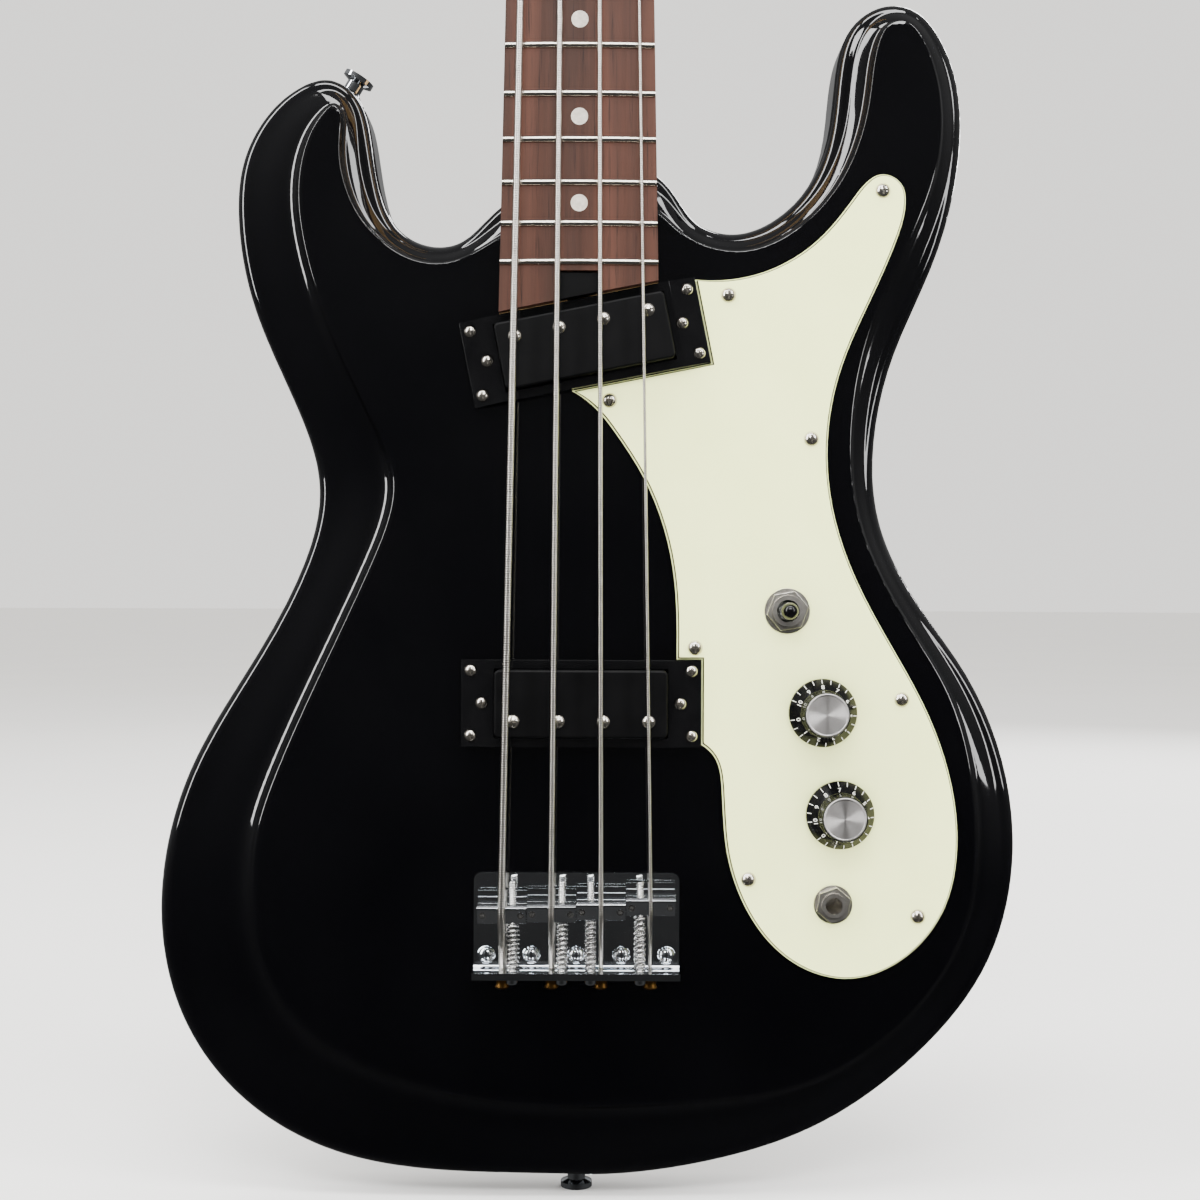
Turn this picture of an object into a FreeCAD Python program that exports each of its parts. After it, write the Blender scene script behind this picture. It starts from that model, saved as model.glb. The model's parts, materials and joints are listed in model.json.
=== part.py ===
"""Four-string, short-scale electric bass guitar with a carved body, in millimetres.

+Z runs up the neck, the front faces -Y and +X is on the viewer's right. The origin is the middle of the
lower strap button's rim. A height, called h, is counted from the flat front of the body towards the viewer.
"""
import FreeCAD
import Part
import Sketcher
import math
import os
from FreeCAD import Placement, Rotation, Vector

SIZES = (
    # Body
    ("body_front", 26.0, "strap button plane to the flat front"),
    ("body_back", 16.0, "strap button plane to the back"),
    ("cove_drop", 5.0, "fall of the cove below the flat front"),
    ("carve_drop", 8.5, "fall of the carved band at its outer side"),
    ("front_round", 6.0, "height of the round between the band and the side wall"),
    ("front_round_inset", 5.0, "how far that round reaches in from the side wall"),
    ("back_round", 8.0, "radius of the back edge"),
    ("ridge_round", 1.3, "width of the rounded ridge of the carve"),
    # Scale, neck and fretboard
    ("saddle_line", 115.0, "origin to the theoretical bridge end of the scale"),
    ("scale_length", 775.0, "nut to the saddle line"),
    ("nut_width", 40.0, "fretboard width at the nut"),
    ("board_width", 59.8, "fretboard width at the last fret"),
    ("board_thickness", 6.0, "fretboard thickness on the centre line"),
    ("board_radius", 400.0, "radius of the fretboard's top"),
    ("neck_rise", 4.0, "top of the neck wood above the flat front"),
    ("neck_depth", 14.5, "neck wood depth at the nut"),
    ("neck_swell", 2.5, "further depth of the neck wood at the heel's end"),
    ("heel_depth", 20.0, "neck wood depth in the heel"),
    ("heel_wedge", 22.0, "length of the slope from the heel to the neck's back"),
    ("heel_nose", 4.0, "depth of that slope where it runs into the neck"),
    ("heel_top", 403.0, "origin to the top of the heel block"),
    ("pocket_fit", 0.1, "clearance round the heel in its pocket"),
    ("end_gap", 0.1, "neck pickup's surround to the end of the pocket"),
    ("fret_width", 2.4, "width of a fret's crown"),
    ("fret_crown", 1.1, "height of a fret's crown"),
    ("tang_width", 0.5, "thickness of a fret's tang"),
    ("tang_depth", 2.0, "depth of a fret's tang"),
    ("slot_fit", 0.05, "clearance round a fret's tang"),
    ("fret_inset", 0.2, "a fret's end inside the fretboard's edge"),
    ("fret_seat", 0.01, "gap under a fret's crown"),
    ("dot_radius", 3.2, "radius of a position marker"),
    ("dot_depth", 2.0, "thickness of a position marker"),
    ("double_dot_spread", 9.0, "the octave's two markers from the centre line"),
    ("nut_thickness", 4.5, "nut along the strings"),
    ("nut_rise", 2.6, "nut above the fretboard"),
    ("nut_fit", 0.12, "clearance beside a string in its slot"),
    ("nut_setback", 0.1, "bend of a string before the nut's far side"),
    ("nut_shelf", 2.5, "neck wood past the nut"),
    ("rod_radius", 2.6, "truss rod"),
    ("rod_channel", 6.0, "width of the truss rod's channel"),
    ("rod_slack", 0.4, "rod below the middle of its channel"),
    ("rod_setback", 2.5, "end of the fretboard to the rod's end"),
    ("rod_top", 30.0, "nut to the upper end of the rod's channel"),
    ("rod_nut", 12.0, "length of the rod's nut"),
    ("rod_socket", 1.5, "radius of that nut's socket"),
    ("rod_socket_depth", 7.0, "that socket"),
    ("rod_anchor", 8.0, "length of the rod's anchor"),
    ("rod_neck", 0.6, "step from the nut's radius to the rod's"),
    ("rod_cover_width", 16.0, "cover of the truss rod's nut"),
    ("rod_cover_length", 9.6, "notch for that cover, along the centre line"),
    ("rod_cover_sink", 1.2, "cover below the fretboard's top"),
    ("rod_access", 9.0, "width of the recess under that cover"),
    ("rod_access_depth", 9.0, "that recess below the top of the neck wood"),
    ("trim_gap", 0.3, "gap round pieces of trim that lie side by side"),
    # Headstock and tuners
    ("head_drop", 6.0, "headstock face below the top of the neck wood"),
    ("head_thickness", 14.0, "headstock"),
    ("head_slope", 26.0, "nut to the end of the slope behind the headstock"),
    ("head_slope_rise", 3.0, "start of that slope above the neck's back"),
    ("tuner_first", 48.0, "nut to the first tuner post"),
    ("tuner_pitch", 40.0, "tuner post to tuner post along the neck"),
    ("post_radius", 4.4, "tuner post where the string winds"),
    ("post_height", 19.0, "tuner post above the headstock face"),
    ("post_gap", 0.2, "clearance between a tuner post and its string"),
    ("bushing_radius", 8.0, "flange of the post's bushing"),
    ("bushing_height", 2.2, "flange of the post's bushing"),
    ("bushing_wall", 1.6, "wall of the post's bushing"),
    ("bushing_end", 3.0, "bushing's lower end above the headstock's back"),
    ("running_fit", 0.05, "radial clearance of a turning shaft"),
    ("tuner_plate_width", 24.0, "tuner plate across the neck"),
    ("tuner_plate_length", 34.0, "tuner plate along the neck"),
    ("tuner_plate_thickness", 1.6, "tuner plate"),
    ("tuner_plate_corner", 2.5, "corner radius of the tuner plate"),
    ("tuner_screw_inset", 3.0, "tuner screw from the plate's edge"),
    ("tuner_ear", 2.0, "thickness of the ears that carry the key's shaft"),
    ("tuner_ear_inset", 1.5, "ear from the plate's edge"),
    ("tuner_ear_half", 4.2, "ear round the shaft's axis"),
    ("gear_radius", 9.0, "tip radius of the tuner's gear"),
    ("gear_teeth", 20.0, "teeth of the tuner's gear"),
    ("gear_thickness", 4.5, "tuner's gear"),
    ("gear_tooth", 1.6, "height of the gear's teeth"),
    ("gear_lift", 0.4, "gear off the tuner plate"),
    ("gear_fit", 0.02, "clearance of the gear on its post"),
    ("post_end", 1.0, "tuner post past its gear"),
    ("worm_radius", 2.6, "worm's core"),
    ("worm_end", 0.4, "clearance between the worm's ends and the plate's ears"),
    ("worm_gap", 0.5, "clearance between the gear's teeth and the worm's core"),
    ("key_shaft_radius", 2.2, "tuner key's shaft"),
    ("key_collar", 1.4, "step from the shaft to the collar at the paddle"),
    ("key_collar_length", 4.0, "that collar"),
    ("key_reach", 29.0, "post axis to the inner end of the key's paddle"),
    ("key_length", 27.0, "key's paddle along its shaft"),
    ("key_width", 24.0, "key's paddle across its shaft"),
    ("key_thickness", 7.0, "key's paddle"),
    # Strings
    ("string_e_radius", 1.3, "E string"),
    ("string_a_radius", 1.05, "A string"),
    ("string_d_radius", 0.82, "D string"),
    ("string_g_radius", 0.57, "G string"),
    ("saddle_spacing", 18.7, "string to string at the bridge"),
    ("nut_spacing", 10.0, "string to string at the nut"),
    ("nut_action", 1.6, "string's underside above the fretboard at the nut"),
    ("saddle_height", 14.4, "string's underside above the flat front at the bridge"),
    ("winding_gap", 0.55, "gap between the turns on a tuner post"),
    ("winding_turns", 2.25, "turns on a tuner post"),
    ("winding_lift", 1.2, "lowest turn above the post's bushing"),
    ("winding_lead", 10.0, "straight run before those turns"),
    ("ball_radius", 2.75, "string's ball end"),
    ("ball_length", 4.5, "string's ball end"),
    ("ball_round", 0.8, "round of the ball end's rims"),
    ("ball_gap", 0.02, "ball end behind the bridge's rear wall"),
    ("tree_distance", 62.0, "nut to the string tree"),
    ("tree_radius", 8.5, "string tree's flange"),
    ("tree_stem", 2.4, "radius of the string tree's stem"),
    ("tree_height", 6.0, "underside of the string tree's flange above the headstock face"),
    ("tree_flange", 2.2, "thickness of the string tree's flange"),
    ("tree_hole", 1.3, "radius of the hole under the string tree"),
    ("tree_hole_depth", 9.0, "that hole"),
    # Bridge
    ("bridge_width", 78.4, "bridge plate across the strings"),
    ("bridge_front", 12.6, "saddle line to the plate's neck-side edge"),
    ("bridge_rear", 26.2, "saddle line to the back of the rear wall"),
    ("bridge_thickness", 2.0, "bridge plate"),
    ("bridge_wall", 2.6, "rear wall's thickness"),
    ("bridge_wall_height", 13.0, "rear wall above the flat front"),
    ("bridge_corner", 3.0, "corner radius of the plate"),
    ("bridge_screw_back", 18.7, "saddle line to the row of bridge screws"),
    ("bridge_screw_pitch", 17.15, "bridge screw to bridge screw"),
    ("saddle_gap", 0.3, "gap between neighbouring saddles"),
    ("saddle_clear", 0.35, "gap between a saddle's ridge and its string"),
    ("saddle_body", 6.2, "saddle behind its ridge"),
    ("saddle_base", 4.2, "saddle's underside above the flat front"),
    ("saddle_step", 2.4, "each of the two steps in front of the ridge"),
    ("saddle_step_rise", 1.3, "height of each of those steps"),
    ("saddle_lip", 0.8, "bevel and flat of the ridge"),
    ("saddle_fall", 2.6, "fall of the saddle's top behind the ridge"),
    ("saddle_bend", 4.6, "ridge to the corner of the string's path"),
    ("intonation_height", 9.2, "intonation screw's axis above the flat front"),
    ("intonation_offset", 3.95, "intonation screw beside its string"),
    ("intonation_radius", 1.45, "intonation screw"),
    ("intonation_end", 11.5, "saddle line to the screw's free end"),
    ("intonation_head", 2.4, "radius of the intonation screw's head"),
    ("intonation_head_height", 2.2, "that head"),
    ("intonation_head_round", 0.8, "round of that head's rim"),
    ("intonation_slot", 0.7, "width of that head's slots"),
    ("intonation_slot_length", 3.6, "those slots"),
    ("intonation_slot_depth", 0.7, "those slots"),
    ("spring_radius", 1.85, "mid-wire radius of an intonation spring"),
    ("spring_wire", 0.4, "radius of its wire"),
    ("spring_turns", 10.0, "turns of an intonation spring"),
    ("grub_radius", 1.25, "saddle height screw"),
    ("grub_inset", 2.0, "saddle height screw from the saddle's end"),
    ("grub_back", 2.9, "saddle's ridge to its height screws"),
    ("grub_sink", 0.6, "height screw below the ridge"),
    ("grub_socket", 0.8, "corner radius of its hexagonal socket"),
    ("grub_socket_depth", 2.0, "that socket"),
    ("anchor_height", 5.4, "string hole in the rear wall above the flat front"),
    ("anchor_hole", 1.7, "radius of that hole"),
    ("anchor_run", 0.8, "string's straight run past the rear wall"),
    # Pickups
    ("neck_pickup_x", 2.3, "middle of the neck pickup"),
    ("neck_pickup_z", 329.7, "origin to the middle of the neck pickup"),
    ("neck_pickup_turn", 11.3, "slant of the neck pickup in degrees"),
    ("bridge_pickup_x", 1.4, "middle of the bridge pickup"),
    ("bridge_pickup_z", 192.3, "origin to the middle of the bridge pickup"),
    ("surround_length", 91.4, "pickup surround"),
    ("surround_width", 33.0, "pickup surround"),
    ("surround_height", 5.2, "pickup surround beside the cover"),
    ("surround_edge", 3.0, "pickup surround at its ends"),
    ("surround_slope", 10.0, "length of the sloping end"),
    ("cover_length", 65.6, "pickup cover"),
    ("cover_width", 25.8, "pickup cover"),
    ("cover_height", 9.6, "pickup cover's top above the flat front"),
    ("cover_depth", 7.0, "pickup cover's rim below the flat front"),
    ("cover_wall", 1.4, "pickup cover"),
    ("cover_round", 2.0, "corner radius of the pickup cover"),
    ("cover_top_round", 1.0, "round along the cover's top edge"),
    ("pole_pitch", 17.1, "pole screw to pole screw"),
    ("pole_offset", 6.6, "row of pole screws from the cover's middle"),
    ("pole_head", 2.45, "pole screw's head radius"),
    ("pole_shank", 1.6, "pole screw's shank radius"),
    ("coil_wall", 2.6, "thickness of the winding round the bobbin"),
    ("bobbin_flange", 1.5, "thickness of the bobbin's flanges"),
    ("bobbin_ear", 1.4, "thickness of the ears for the height screws"),
    ("bobbin_ear_width", 9.0, "those ears"),
    ("bobbin_ear_reach", 4.0, "those ears past the height screws"),
    ("magnet_thickness", 3.0, "magnet under the bobbin"),
    ("magnet_row", 5.0, "magnet from the row of pole screws"),
    ("magnet_end", 3.0, "magnet past the outer pole screws"),
    ("pole_share", 0.5, "height of a pole screw's head as a share of its radius"),
    ("surround_screw_x", 42.0, "surround's corner screws from its middle"),
    ("surround_screw_z", 12.4, "surround's corner screws from its centre line"),
    ("height_screw_x", 37.7, "pickup height screws from the middle"),
    ("corner_seat", 3.2, "seat of a corner screw above the flat front"),
    ("height_seat", 4.1, "seat of a height screw above the flat front"),
    ("height_spring_radius", 2.5, "mid-wire radius of a height spring"),
    ("height_spring_wire", 0.4, "radius of its wire"),
    ("height_spring_turns", 4.0, "turns of a height spring"),
    ("pickup_cavity", 18.0, "depth of a pickup's cavity"),
    ("well_end", 2.0, "cavity past the cover's ends"),
    ("well_side", 1.0, "cavity beside the cover"),
    ("ear_room", 11.0, "width of the rooms for the height screws"),
    ("ear_room_end", 5.0, "those rooms past the height screws"),
    ("wire_channel", 4.0, "radius of the channels for the wires"),
    ("wire_channel_rise", 5.0, "their axis above the cavity's floor"),
    # Pickguard and controls
    ("ply", 0.8, "each of the three plies of the pickguard"),
    ("ply_step", 0.45, "each ply's edge behind the one under it"),
    ("control_cavity", 31.0, "depth of the control cavity"),
    ("switch_x", 79.8, "toggle switch"),
    ("switch_z", 227.8, "toggle switch"),
    ("volume_x", 93.4, "volume control"),
    ("volume_z", 189.1, "volume control"),
    ("tone_x", 100.1, "tone control"),
    ("tone_z", 150.3, "tone control"),
    ("jack_x", 97.7, "output jack"),
    ("jack_z", 116.1, "output jack"),
    ("knob_radius", 13.0, "knob's skirt"),
    ("knob_barrel", 8.9, "knob's barrel"),
    ("knob_base", 0.7, "gap under the knob"),
    ("knob_height", 14.6, "knob from its underside to its top"),
    ("knob_band", 1.6, "upright rim of the knob's skirt"),
    ("knob_flare", 6.0, "height at which the skirt meets the barrel"),
    ("knob_cap", 8.2, "radius of the metal cap"),
    ("knob_cap_thickness", 0.8, "metal cap"),
    ("knob_cap_proud", 0.3, "metal cap above the knob"),
    ("knob_hollow", 7.4, "radius of the hollow in the knob's underside"),
    ("shaft_radius", 3.0, "control shaft"),
    ("shaft_sink", 6.0, "control shaft below the pickguard's top"),
    ("control_bushing", 4.6, "control's threaded bushing"),
    ("control_bushing_height", 4.2, "that bushing above the pickguard"),
    ("pot_radius", 12.0, "potentiometer's can"),
    ("pot_depth", 9.0, "potentiometer's can"),
    ("pot_end", 1.5, "wall behind the potentiometer's shaft"),
    ("control_nut", 6.4, "corner radius of a control's nut"),
    ("control_nut_height", 2.2, "control's nut"),
    ("switch_bushing", 5.9, "toggle switch's bushing"),
    ("switch_bore", 4.3, "opening of that bushing"),
    ("switch_nut", 8.0, "corner radius of the switch's nut"),
    ("switch_washer", 8.7, "switch's washer"),
    ("switch_lever", 1.7, "radius of the switch's lever"),
    ("switch_tip", 3.3, "radius of the lever's tip"),
    ("switch_tip_length", 8.0, "lever's tip"),
    ("switch_rise", 4.6, "switch bushing above the pickguard"),
    ("switch_pivot", 3.0, "lever's pivot below the pickguard's top"),
    ("switch_reach", 9.0, "length of the lever beyond its bushing's height"),
    ("switch_tip_gap", 1.0, "tip above the bushing"),
    ("switch_throat", 8.0, "depth of the bushing's opening"),
    ("switch_box_width", 15.0, "switch's box across"),
    ("switch_box_length", 26.0, "switch's box along the neck"),
    ("switch_box_depth", 18.0, "switch's box below the pickguard"),
    ("jack_sleeve", 4.6, "output jack's sleeve"),
    ("jack_bore", 3.25, "output jack's bore"),
    ("jack_depth", 15.0, "output jack's sleeve below the pickguard"),
    ("jack_block_width", 15.0, "jack's contact block across"),
    ("jack_block_length", 13.0, "jack's contact block along the neck"),
    ("jack_block_height", 4.0, "jack's contact block"),
    ("jack_flange", 3.0, "jack's flange: its width and its thickness"),
    ("jack_end", 1.0, "wall behind the jack's bore"),
    ("jack_proud", 1.0, "jack's sleeve past its nut"),
    ("jack_nut", 6.9, "corner radius of the jack's nut"),
    ("jack_washer", 7.4, "jack's washer"),
    ("washer_thickness", 0.8, "control washers"),
    ("capacitor_thickness", 5.0, "tone capacitor"),
    ("capacitor_length", 12.0, "tone capacitor"),
    ("capacitor_width", 9.0, "tone capacitor"),
    ("capacitor_x", 16.0, "tone capacitor beside the tone control"),
    ("capacitor_z", 14.0, "tone capacitor above the tone control"),
    ("capacitor_sink", 5.0, "tone capacitor below the flat front"),
    ("lead_radius", 0.4, "its lead"),
    ("lead_gap", 0.02, "its lead to the potentiometer's can"),
    # Fasteners, neck plate and strap buttons
    ("guard_screw_head", 2.9, "pickguard screw's head radius"),
    ("surround_screw_head", 2.45, "surround screw's head radius"),
    ("bridge_screw_head", 3.4, "bridge screw's head radius"),
    ("tuner_screw_head", 2.2, "tuner screw's head radius"),
    ("head_share", 0.62, "height of a screw's head as a share of its radius"),
    ("shank_share", 0.5, "screw's shank radius as a share of its head's"),
    ("screw_length", 14.0, "wood screw under its head"),
    ("tuner_screw_length", 11.0, "tuner screw under its head"),
    ("screw_fit", 0.04, "clearance round a screw's shank"),
    ("neck_plate_width", 52.0, "neck plate across the neck"),
    ("neck_plate_length", 30.0, "neck plate along the neck"),
    ("neck_plate_thickness", 2.0, "neck plate"),
    ("neck_plate_z", 363.0, "origin to the middle of the neck plate"),
    ("neck_plate_corner", 5.0, "corner radius of the neck plate"),
    ("neck_bolt_x", 18.0, "neck bolt from the centre line"),
    ("neck_bolt_z", 8.0, "neck bolt from the plate's middle"),
    ("neck_bolt", 2.2, "neck bolt's radius"),
    ("neck_bolt_head", 4.4, "neck bolt's head radius"),
    ("neck_bolt_length", 42.0, "neck bolt"),
    ("bolt_slot", 1.0, "width of a neck bolt's slots"),
    ("bolt_slot_depth", 1.4, "those slots"),
    ("plate_fit", 0.1, "clearance round the neck plate and under its bolts' heads"),
    ("pin_base", 4.8, "strap button's base radius"),
    ("pin_waist", 3.5, "strap button's waist radius"),
    ("pin_rim", 6.2, "strap button's rim radius"),
    ("pin_rim_width", 2.0, "strap button's rim"),
    ("pin_height", 8.5, "strap button from its base to its top"),
    ("pin_seat", 0.5, "depth of the flat seat under a strap button"),
    ("pin_screw", 1.9, "strap button screw's radius"),
    ("pin_screw_length", 20.0, "strap button's screw in the wood"),
    ("pin_screw_tip", 4.0, "point of that screw"),
    ("pin_slot", 0.8, "width of that screw's slots"),
    ("pin_slot_depth", 1.6, "those slots"),
    ("pin_seat_gap", 0.6, "flat seat round a strap button's base"),
)

STRINGS = ("e", "a", "d", "g")
TREE_STRINGS = ("d", "g")
FRET_COUNT = 20
DOT_FRETS = (3, 5, 7, 9, 12, 15, 17, 19)
DOUBLE_DOT_FRET = 12
SADDLE_COMPENSATION = {"e": 0.9, "a": 1.6, "d": 2.5, "g": 4.0}

# Stations round the body: the side wall's x and z, then the x and z of the carve's ridge opposite.
BODY_STATIONS = (
    (0.0, 7.5, 1.0, 38.0),
    (-45.0, 8.6, -44.0, 42.0),
    (-97.0, 17.6, -87.0, 56.0),
    (-131.5, 38.5, -107.0, 70.5),
    (-153.0, 68.0, -117.5, 87.0),
    (-161.6, 101.0, -123.2, 107.0),
    (-160.4, 132.0, -123.4, 133.0),
    (-150.0, 167.0, -118.0, 157.0),
    (-129.6, 203.0, -103.5, 192.0),
    (-108.0, 243.5, -80.5, 242.0),
    (-101.2, 274.2, -70.6, 273.0),
    (-110.4, 307.0, -79.0, 301.0),
    (-127.0, 345.7, -98.0, 343.0),
    (-133.4, 380.0, -107.2, 380.0),
    (-131.4, 402.0, -106.6, 398.5),
    (-122.7, 419.4, -102.6, 411.0),
    (-110.4, 430.6, -98.0, 418.0),
    (-97.6, 434.2, -94.4, 420.6),
    (-87.4, 428.2, -91.8, 417.6),
    (-81.4, 412.0, -92.0, 407.0),
    (-78.0, 392.0, -90.0, 391.0),
    (-72.0, 377.6, -81.4, 374.4),
    (-61.2, 370.0, -66.0, 362.6),
    (-47.4, 370.6, -48.0, 361.2),
    (-36.0, 380.4, -31.5, 369.6),
    (-20.0, 392.0, -15.0, 377.0),
    (5.0, 399.0, 4.0, 383.0),
    (24.0, 400.5, 20.0, 384.0),
    (35.0, 392.6, 31.4, 378.6),
    (45.6, 379.0, 43.0, 369.6),
    (59.4, 374.6, 60.4, 365.4),
    (77.4, 381.2, 83.0, 373.8),
    (91.0, 396.9, 100.8, 393.6),
    (97.2, 416.0, 109.4, 416.0),
    (99.8, 438.6, 112.4, 436.0),
    (104.8, 454.2, 115.0, 447.4),
    (115.4, 463.0, 119.0, 452.8),
    (128.8, 462.8, 125.0, 453.6),
    (140.6, 450.6, 131.6, 446.4),
    (147.6, 429.6, 137.4, 428.6),
    (147.8, 404.0, 137.8, 404.4),
    (138.6, 365.2, 126.0, 369.0),
    (122.6, 327.2, 110.2, 331.4),
    (115.2, 293.0, 104.4, 293.6),
    (117.8, 260.2, 108.8, 258.6),
    (130.0, 234.4, 122.2, 229.8),
    (150.4, 205.2, 141.0, 198.6),
    (165.4, 171.6, 150.8, 166.2),
    (170.2, 132.4, 152.6, 131.0),
    (160.0, 90.4, 144.2, 97.0),
    (130.6, 53.0, 119.0, 65.4),
    (94.4, 27.4, 87.0, 47.0),
    (50.0, 12.6, 47.6, 40.0),
)
# The carve from its ridge to the round at the side wall: share of the way, share of the cove's drop, and
# share of the further drop of the band.
CARVE_PROFILE = (
    (0.05, 0.40, 0.0),
    (0.12, 0.74, 0.0),
    (0.22, 0.95, 0.0),
    (0.34, 1.0, 0.08),
    (0.60, 1.0, 0.42),
    (0.82, 1.0, 0.76),
)
ROUND_STEPS = (0.0, 30.0, 60.0, 90.0)

# Pickguard: its outer curve past the treble horn, from the middle of the neck pickup, then round the
# controls, from the middle of the bridge pickup, and its inner curve back up in the same two parts.
GUARD_HORN = (
    (55.2, 24.6), (66.7, 27.0), (78.1, 32.0), (87.6, 38.7), (95.2, 46.5), (102.1, 55.5), (107.3, 61.9),
    (112.3, 64.9), (117.5, 64.1), (121.3, 60.3), (122.3, 54.5), (119.1, 40.5), (108.7, 16.3),
    (98.1, -8.7), (93.2, -32.3),
)
GUARD_BOUT = (
    (94.8, 80.7), (102.4, 53.5), (117.0, 24.9), (131.0, -0.3), (141.2, -28.7), (143.8, -57.3),
    (139.2, -77.7), (125.2, -95.9), (103.2, -104.9), (81.0, -98.5), (64.2, -79.9), (55.8, -55.9),
    (53.9, -32.3), (52.2, -22.7),
)
GUARD_INNER_LOW = ((36.5, 29.7), (35.8, 43.7), (33.4, 59.3))
GUARD_INNER_HIGH = ((27.9, -62.8), (21.1, -48.3), (12.8, -35.5), (4.3, -24.9))
GUARD_INNER_FOOT = 36.5
GUARD_TIP_ALONG = -8.4
GUARD_CORNER = 1.0
GUARD_SCREWS_HIGH = ((113.4, 58.5), (54.7, 18.4), (9.5, -21.9), (86.5, -36.3))
GUARD_SCREWS_LOW = ((43.4, 21.3), (122.3, 1.8), (64.1, -67.0), (128.7, -80.9))
CONTROL_CAVITY = ((70.0, 246.0), (90.0, 246.0), (117.0, 172.0), (117.0, 97.0), (84.0, 97.0), (76.0, 140.0))
# Headstock outline, from the nut's bass side round the tip, measured from the nut.
HEADSTOCK = (
    (-14.0, -6.0), (-20.4, 8.0), (-25.5, 15.0), (-35.0, 23.5), (-40.0, 36.0), (-38.2, 53.0),
    (-29.0, 88.0), (-19.0, 128.0), (-9.4, 166.0), (-1.5, 184.0), (12.0, 194.0), (28.0, 192.0),
    (38.5, 179.0), (40.0, 160.0), (36.0, 120.0), (31.0, 80.0), (26.0, 40.0), (22.4, 20.0),
    (20.4, 8.0), (14.0, -6.0),
)
FRONT = Rotation(Vector(1, 0, 0), 90)
BACK = Rotation(Vector(1, 0, 0), -90)
UP = Vector(0, 0, 1)
# Bends of a string's path: at the bridge's wall, over its saddle, over the nut, under the string tree
# and at its post.
BEND_WALL, BEND_SADDLE, BEND_NUT, BEND_TREE, BEND_POST = 2.2, 9.0, 14.0, 25.0, 30.0
SWITCH_NUT_TURN, JACK_NUT_TURN = 10.0, 20.0
# The horn's strap button sits halfway between this station of the body and the next.
HORN_STATION = 17
OVER = 1.0  # how far a cutting tool stands past the face that it cuts
THROUGH = 40.0  # a cutting tool that goes right through a piece

doc = FreeCAD.newDocument("bass_guitar")
sheet = doc.addObject("Spreadsheet::Sheet", "Sizes")
for row, (alias, amount_mm, meaning) in enumerate(SIZES, 1):
    sheet.set("A%d" % row, alias)
    sheet.set("B%d" % row, str(amount_mm))
    sheet.setAlias("B%d" % row, alias)
    sheet.set("C%d" % row, meaning)
doc.recompute()
nodes = []


def size(alias):
    """Gives the value of one cell."""
    return float(sheet.get(alias))


def terms(text):
    """Splits a sum such as "knob_base + ply - ply / 2" into signed parts."""
    return text.replace("- ", "+ -").split("+ ")


def amount(text):
    """Works out a sum of cells and numbers."""
    total = 0.0
    for term in terms(text):
        word, _, share = term.strip().partition(" / ")
        sign = -1.0 if word.startswith("-") else 1.0
        word = word.lstrip("-").strip()
        value = size(word) if word[0].isalpha() else float(word)
        total += sign * value / (float(share) if share else 1.0)
    return total


def formula(text):
    """Turns a sum of cells into an expression on the sheet."""
    words = []
    for word in text.split():
        bare = word.lstrip("-")
        prefix = word[: len(word) - len(bare)]
        words.append(prefix + ("Sizes." + bare if bare and bare[0].isalpha() else bare))
    return " ".join(words)


def add(kind, name, **bound):
    """Adds an object whose sizes are bound to the sheet."""
    made = doc.addObject(kind, name)
    for prop, text in bound.items():
        made.setExpression(prop, formula(text))
    return made


def place(made, x, y, z, turn=None):
    """Puts an object at a point, turned if asked."""
    made.Placement = Placement(Vector(x, y, z), turn or Rotation())
    return made


def rod(name, radius, length, x=0.0, y=0.0, z=0.0, turn=None):
    """Makes a round bar that starts at a point and runs along its own Z."""
    return place(add("Part::Cylinder", name, Radius=radius, Height=length), x, y, z, turn)


def block(name, length, width, height, x=0.0, y=0.0, z=0.0):
    """Makes a box that is centred in x and y and starts at height z."""
    made = add("Part::Box", name, Length=length, Width=width, Height=height)
    return place(made, x - amount(length) / 2, y - amount(width) / 2, z)


def fuse(name, shapes):
    """Joins objects into one."""
    made = doc.addObject("Part::MultiFuse", name)
    made.Shapes = shapes
    return made


def cut(name, base, tools):
    """Cuts objects out of a base."""
    made = doc.addObject("Part::Cut", name)
    made.Base = base
    made.Tool = tools[0] if len(tools) == 1 else fuse(name + "_tools", tools)
    return made


def shape_feature(name, shape):
    """Holds a shape that was worked out from the sheet's sizes."""
    made = doc.addObject("Part::Feature", name)
    made.Shape = shape
    return made


def front(x, z, height=0.0, turn=0.0):
    """Gives the place of a piece on the front, whose own Z points at the viewer and own Y up the neck."""
    spot = Vector(x, -(size("body_front") + height), z)
    return Placement(spot, FRONT.multiply(Rotation(UP, turn)))


def node(label, pieces):
    """Gathers placed copies of prototypes as one named sub-part. Each piece is (prototype, placement)."""
    links = []
    for index, (prototype, placement) in enumerate(pieces):
        link = doc.addObject("App::Link", "%s_copy_%d" % (label, index))
        link.LinkedObject = prototype
        link.LinkTransform = True
        link.Placement = placement
        links.append(link)
    made = doc.addObject("Part::Compound", label)
    made.Links = links
    made.Label = label
    nodes.append(made)
    return made


def own_node(made, label):
    """Names one finished object as a sub-part."""
    made.Label = label
    nodes.append(made)
    return made


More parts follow.
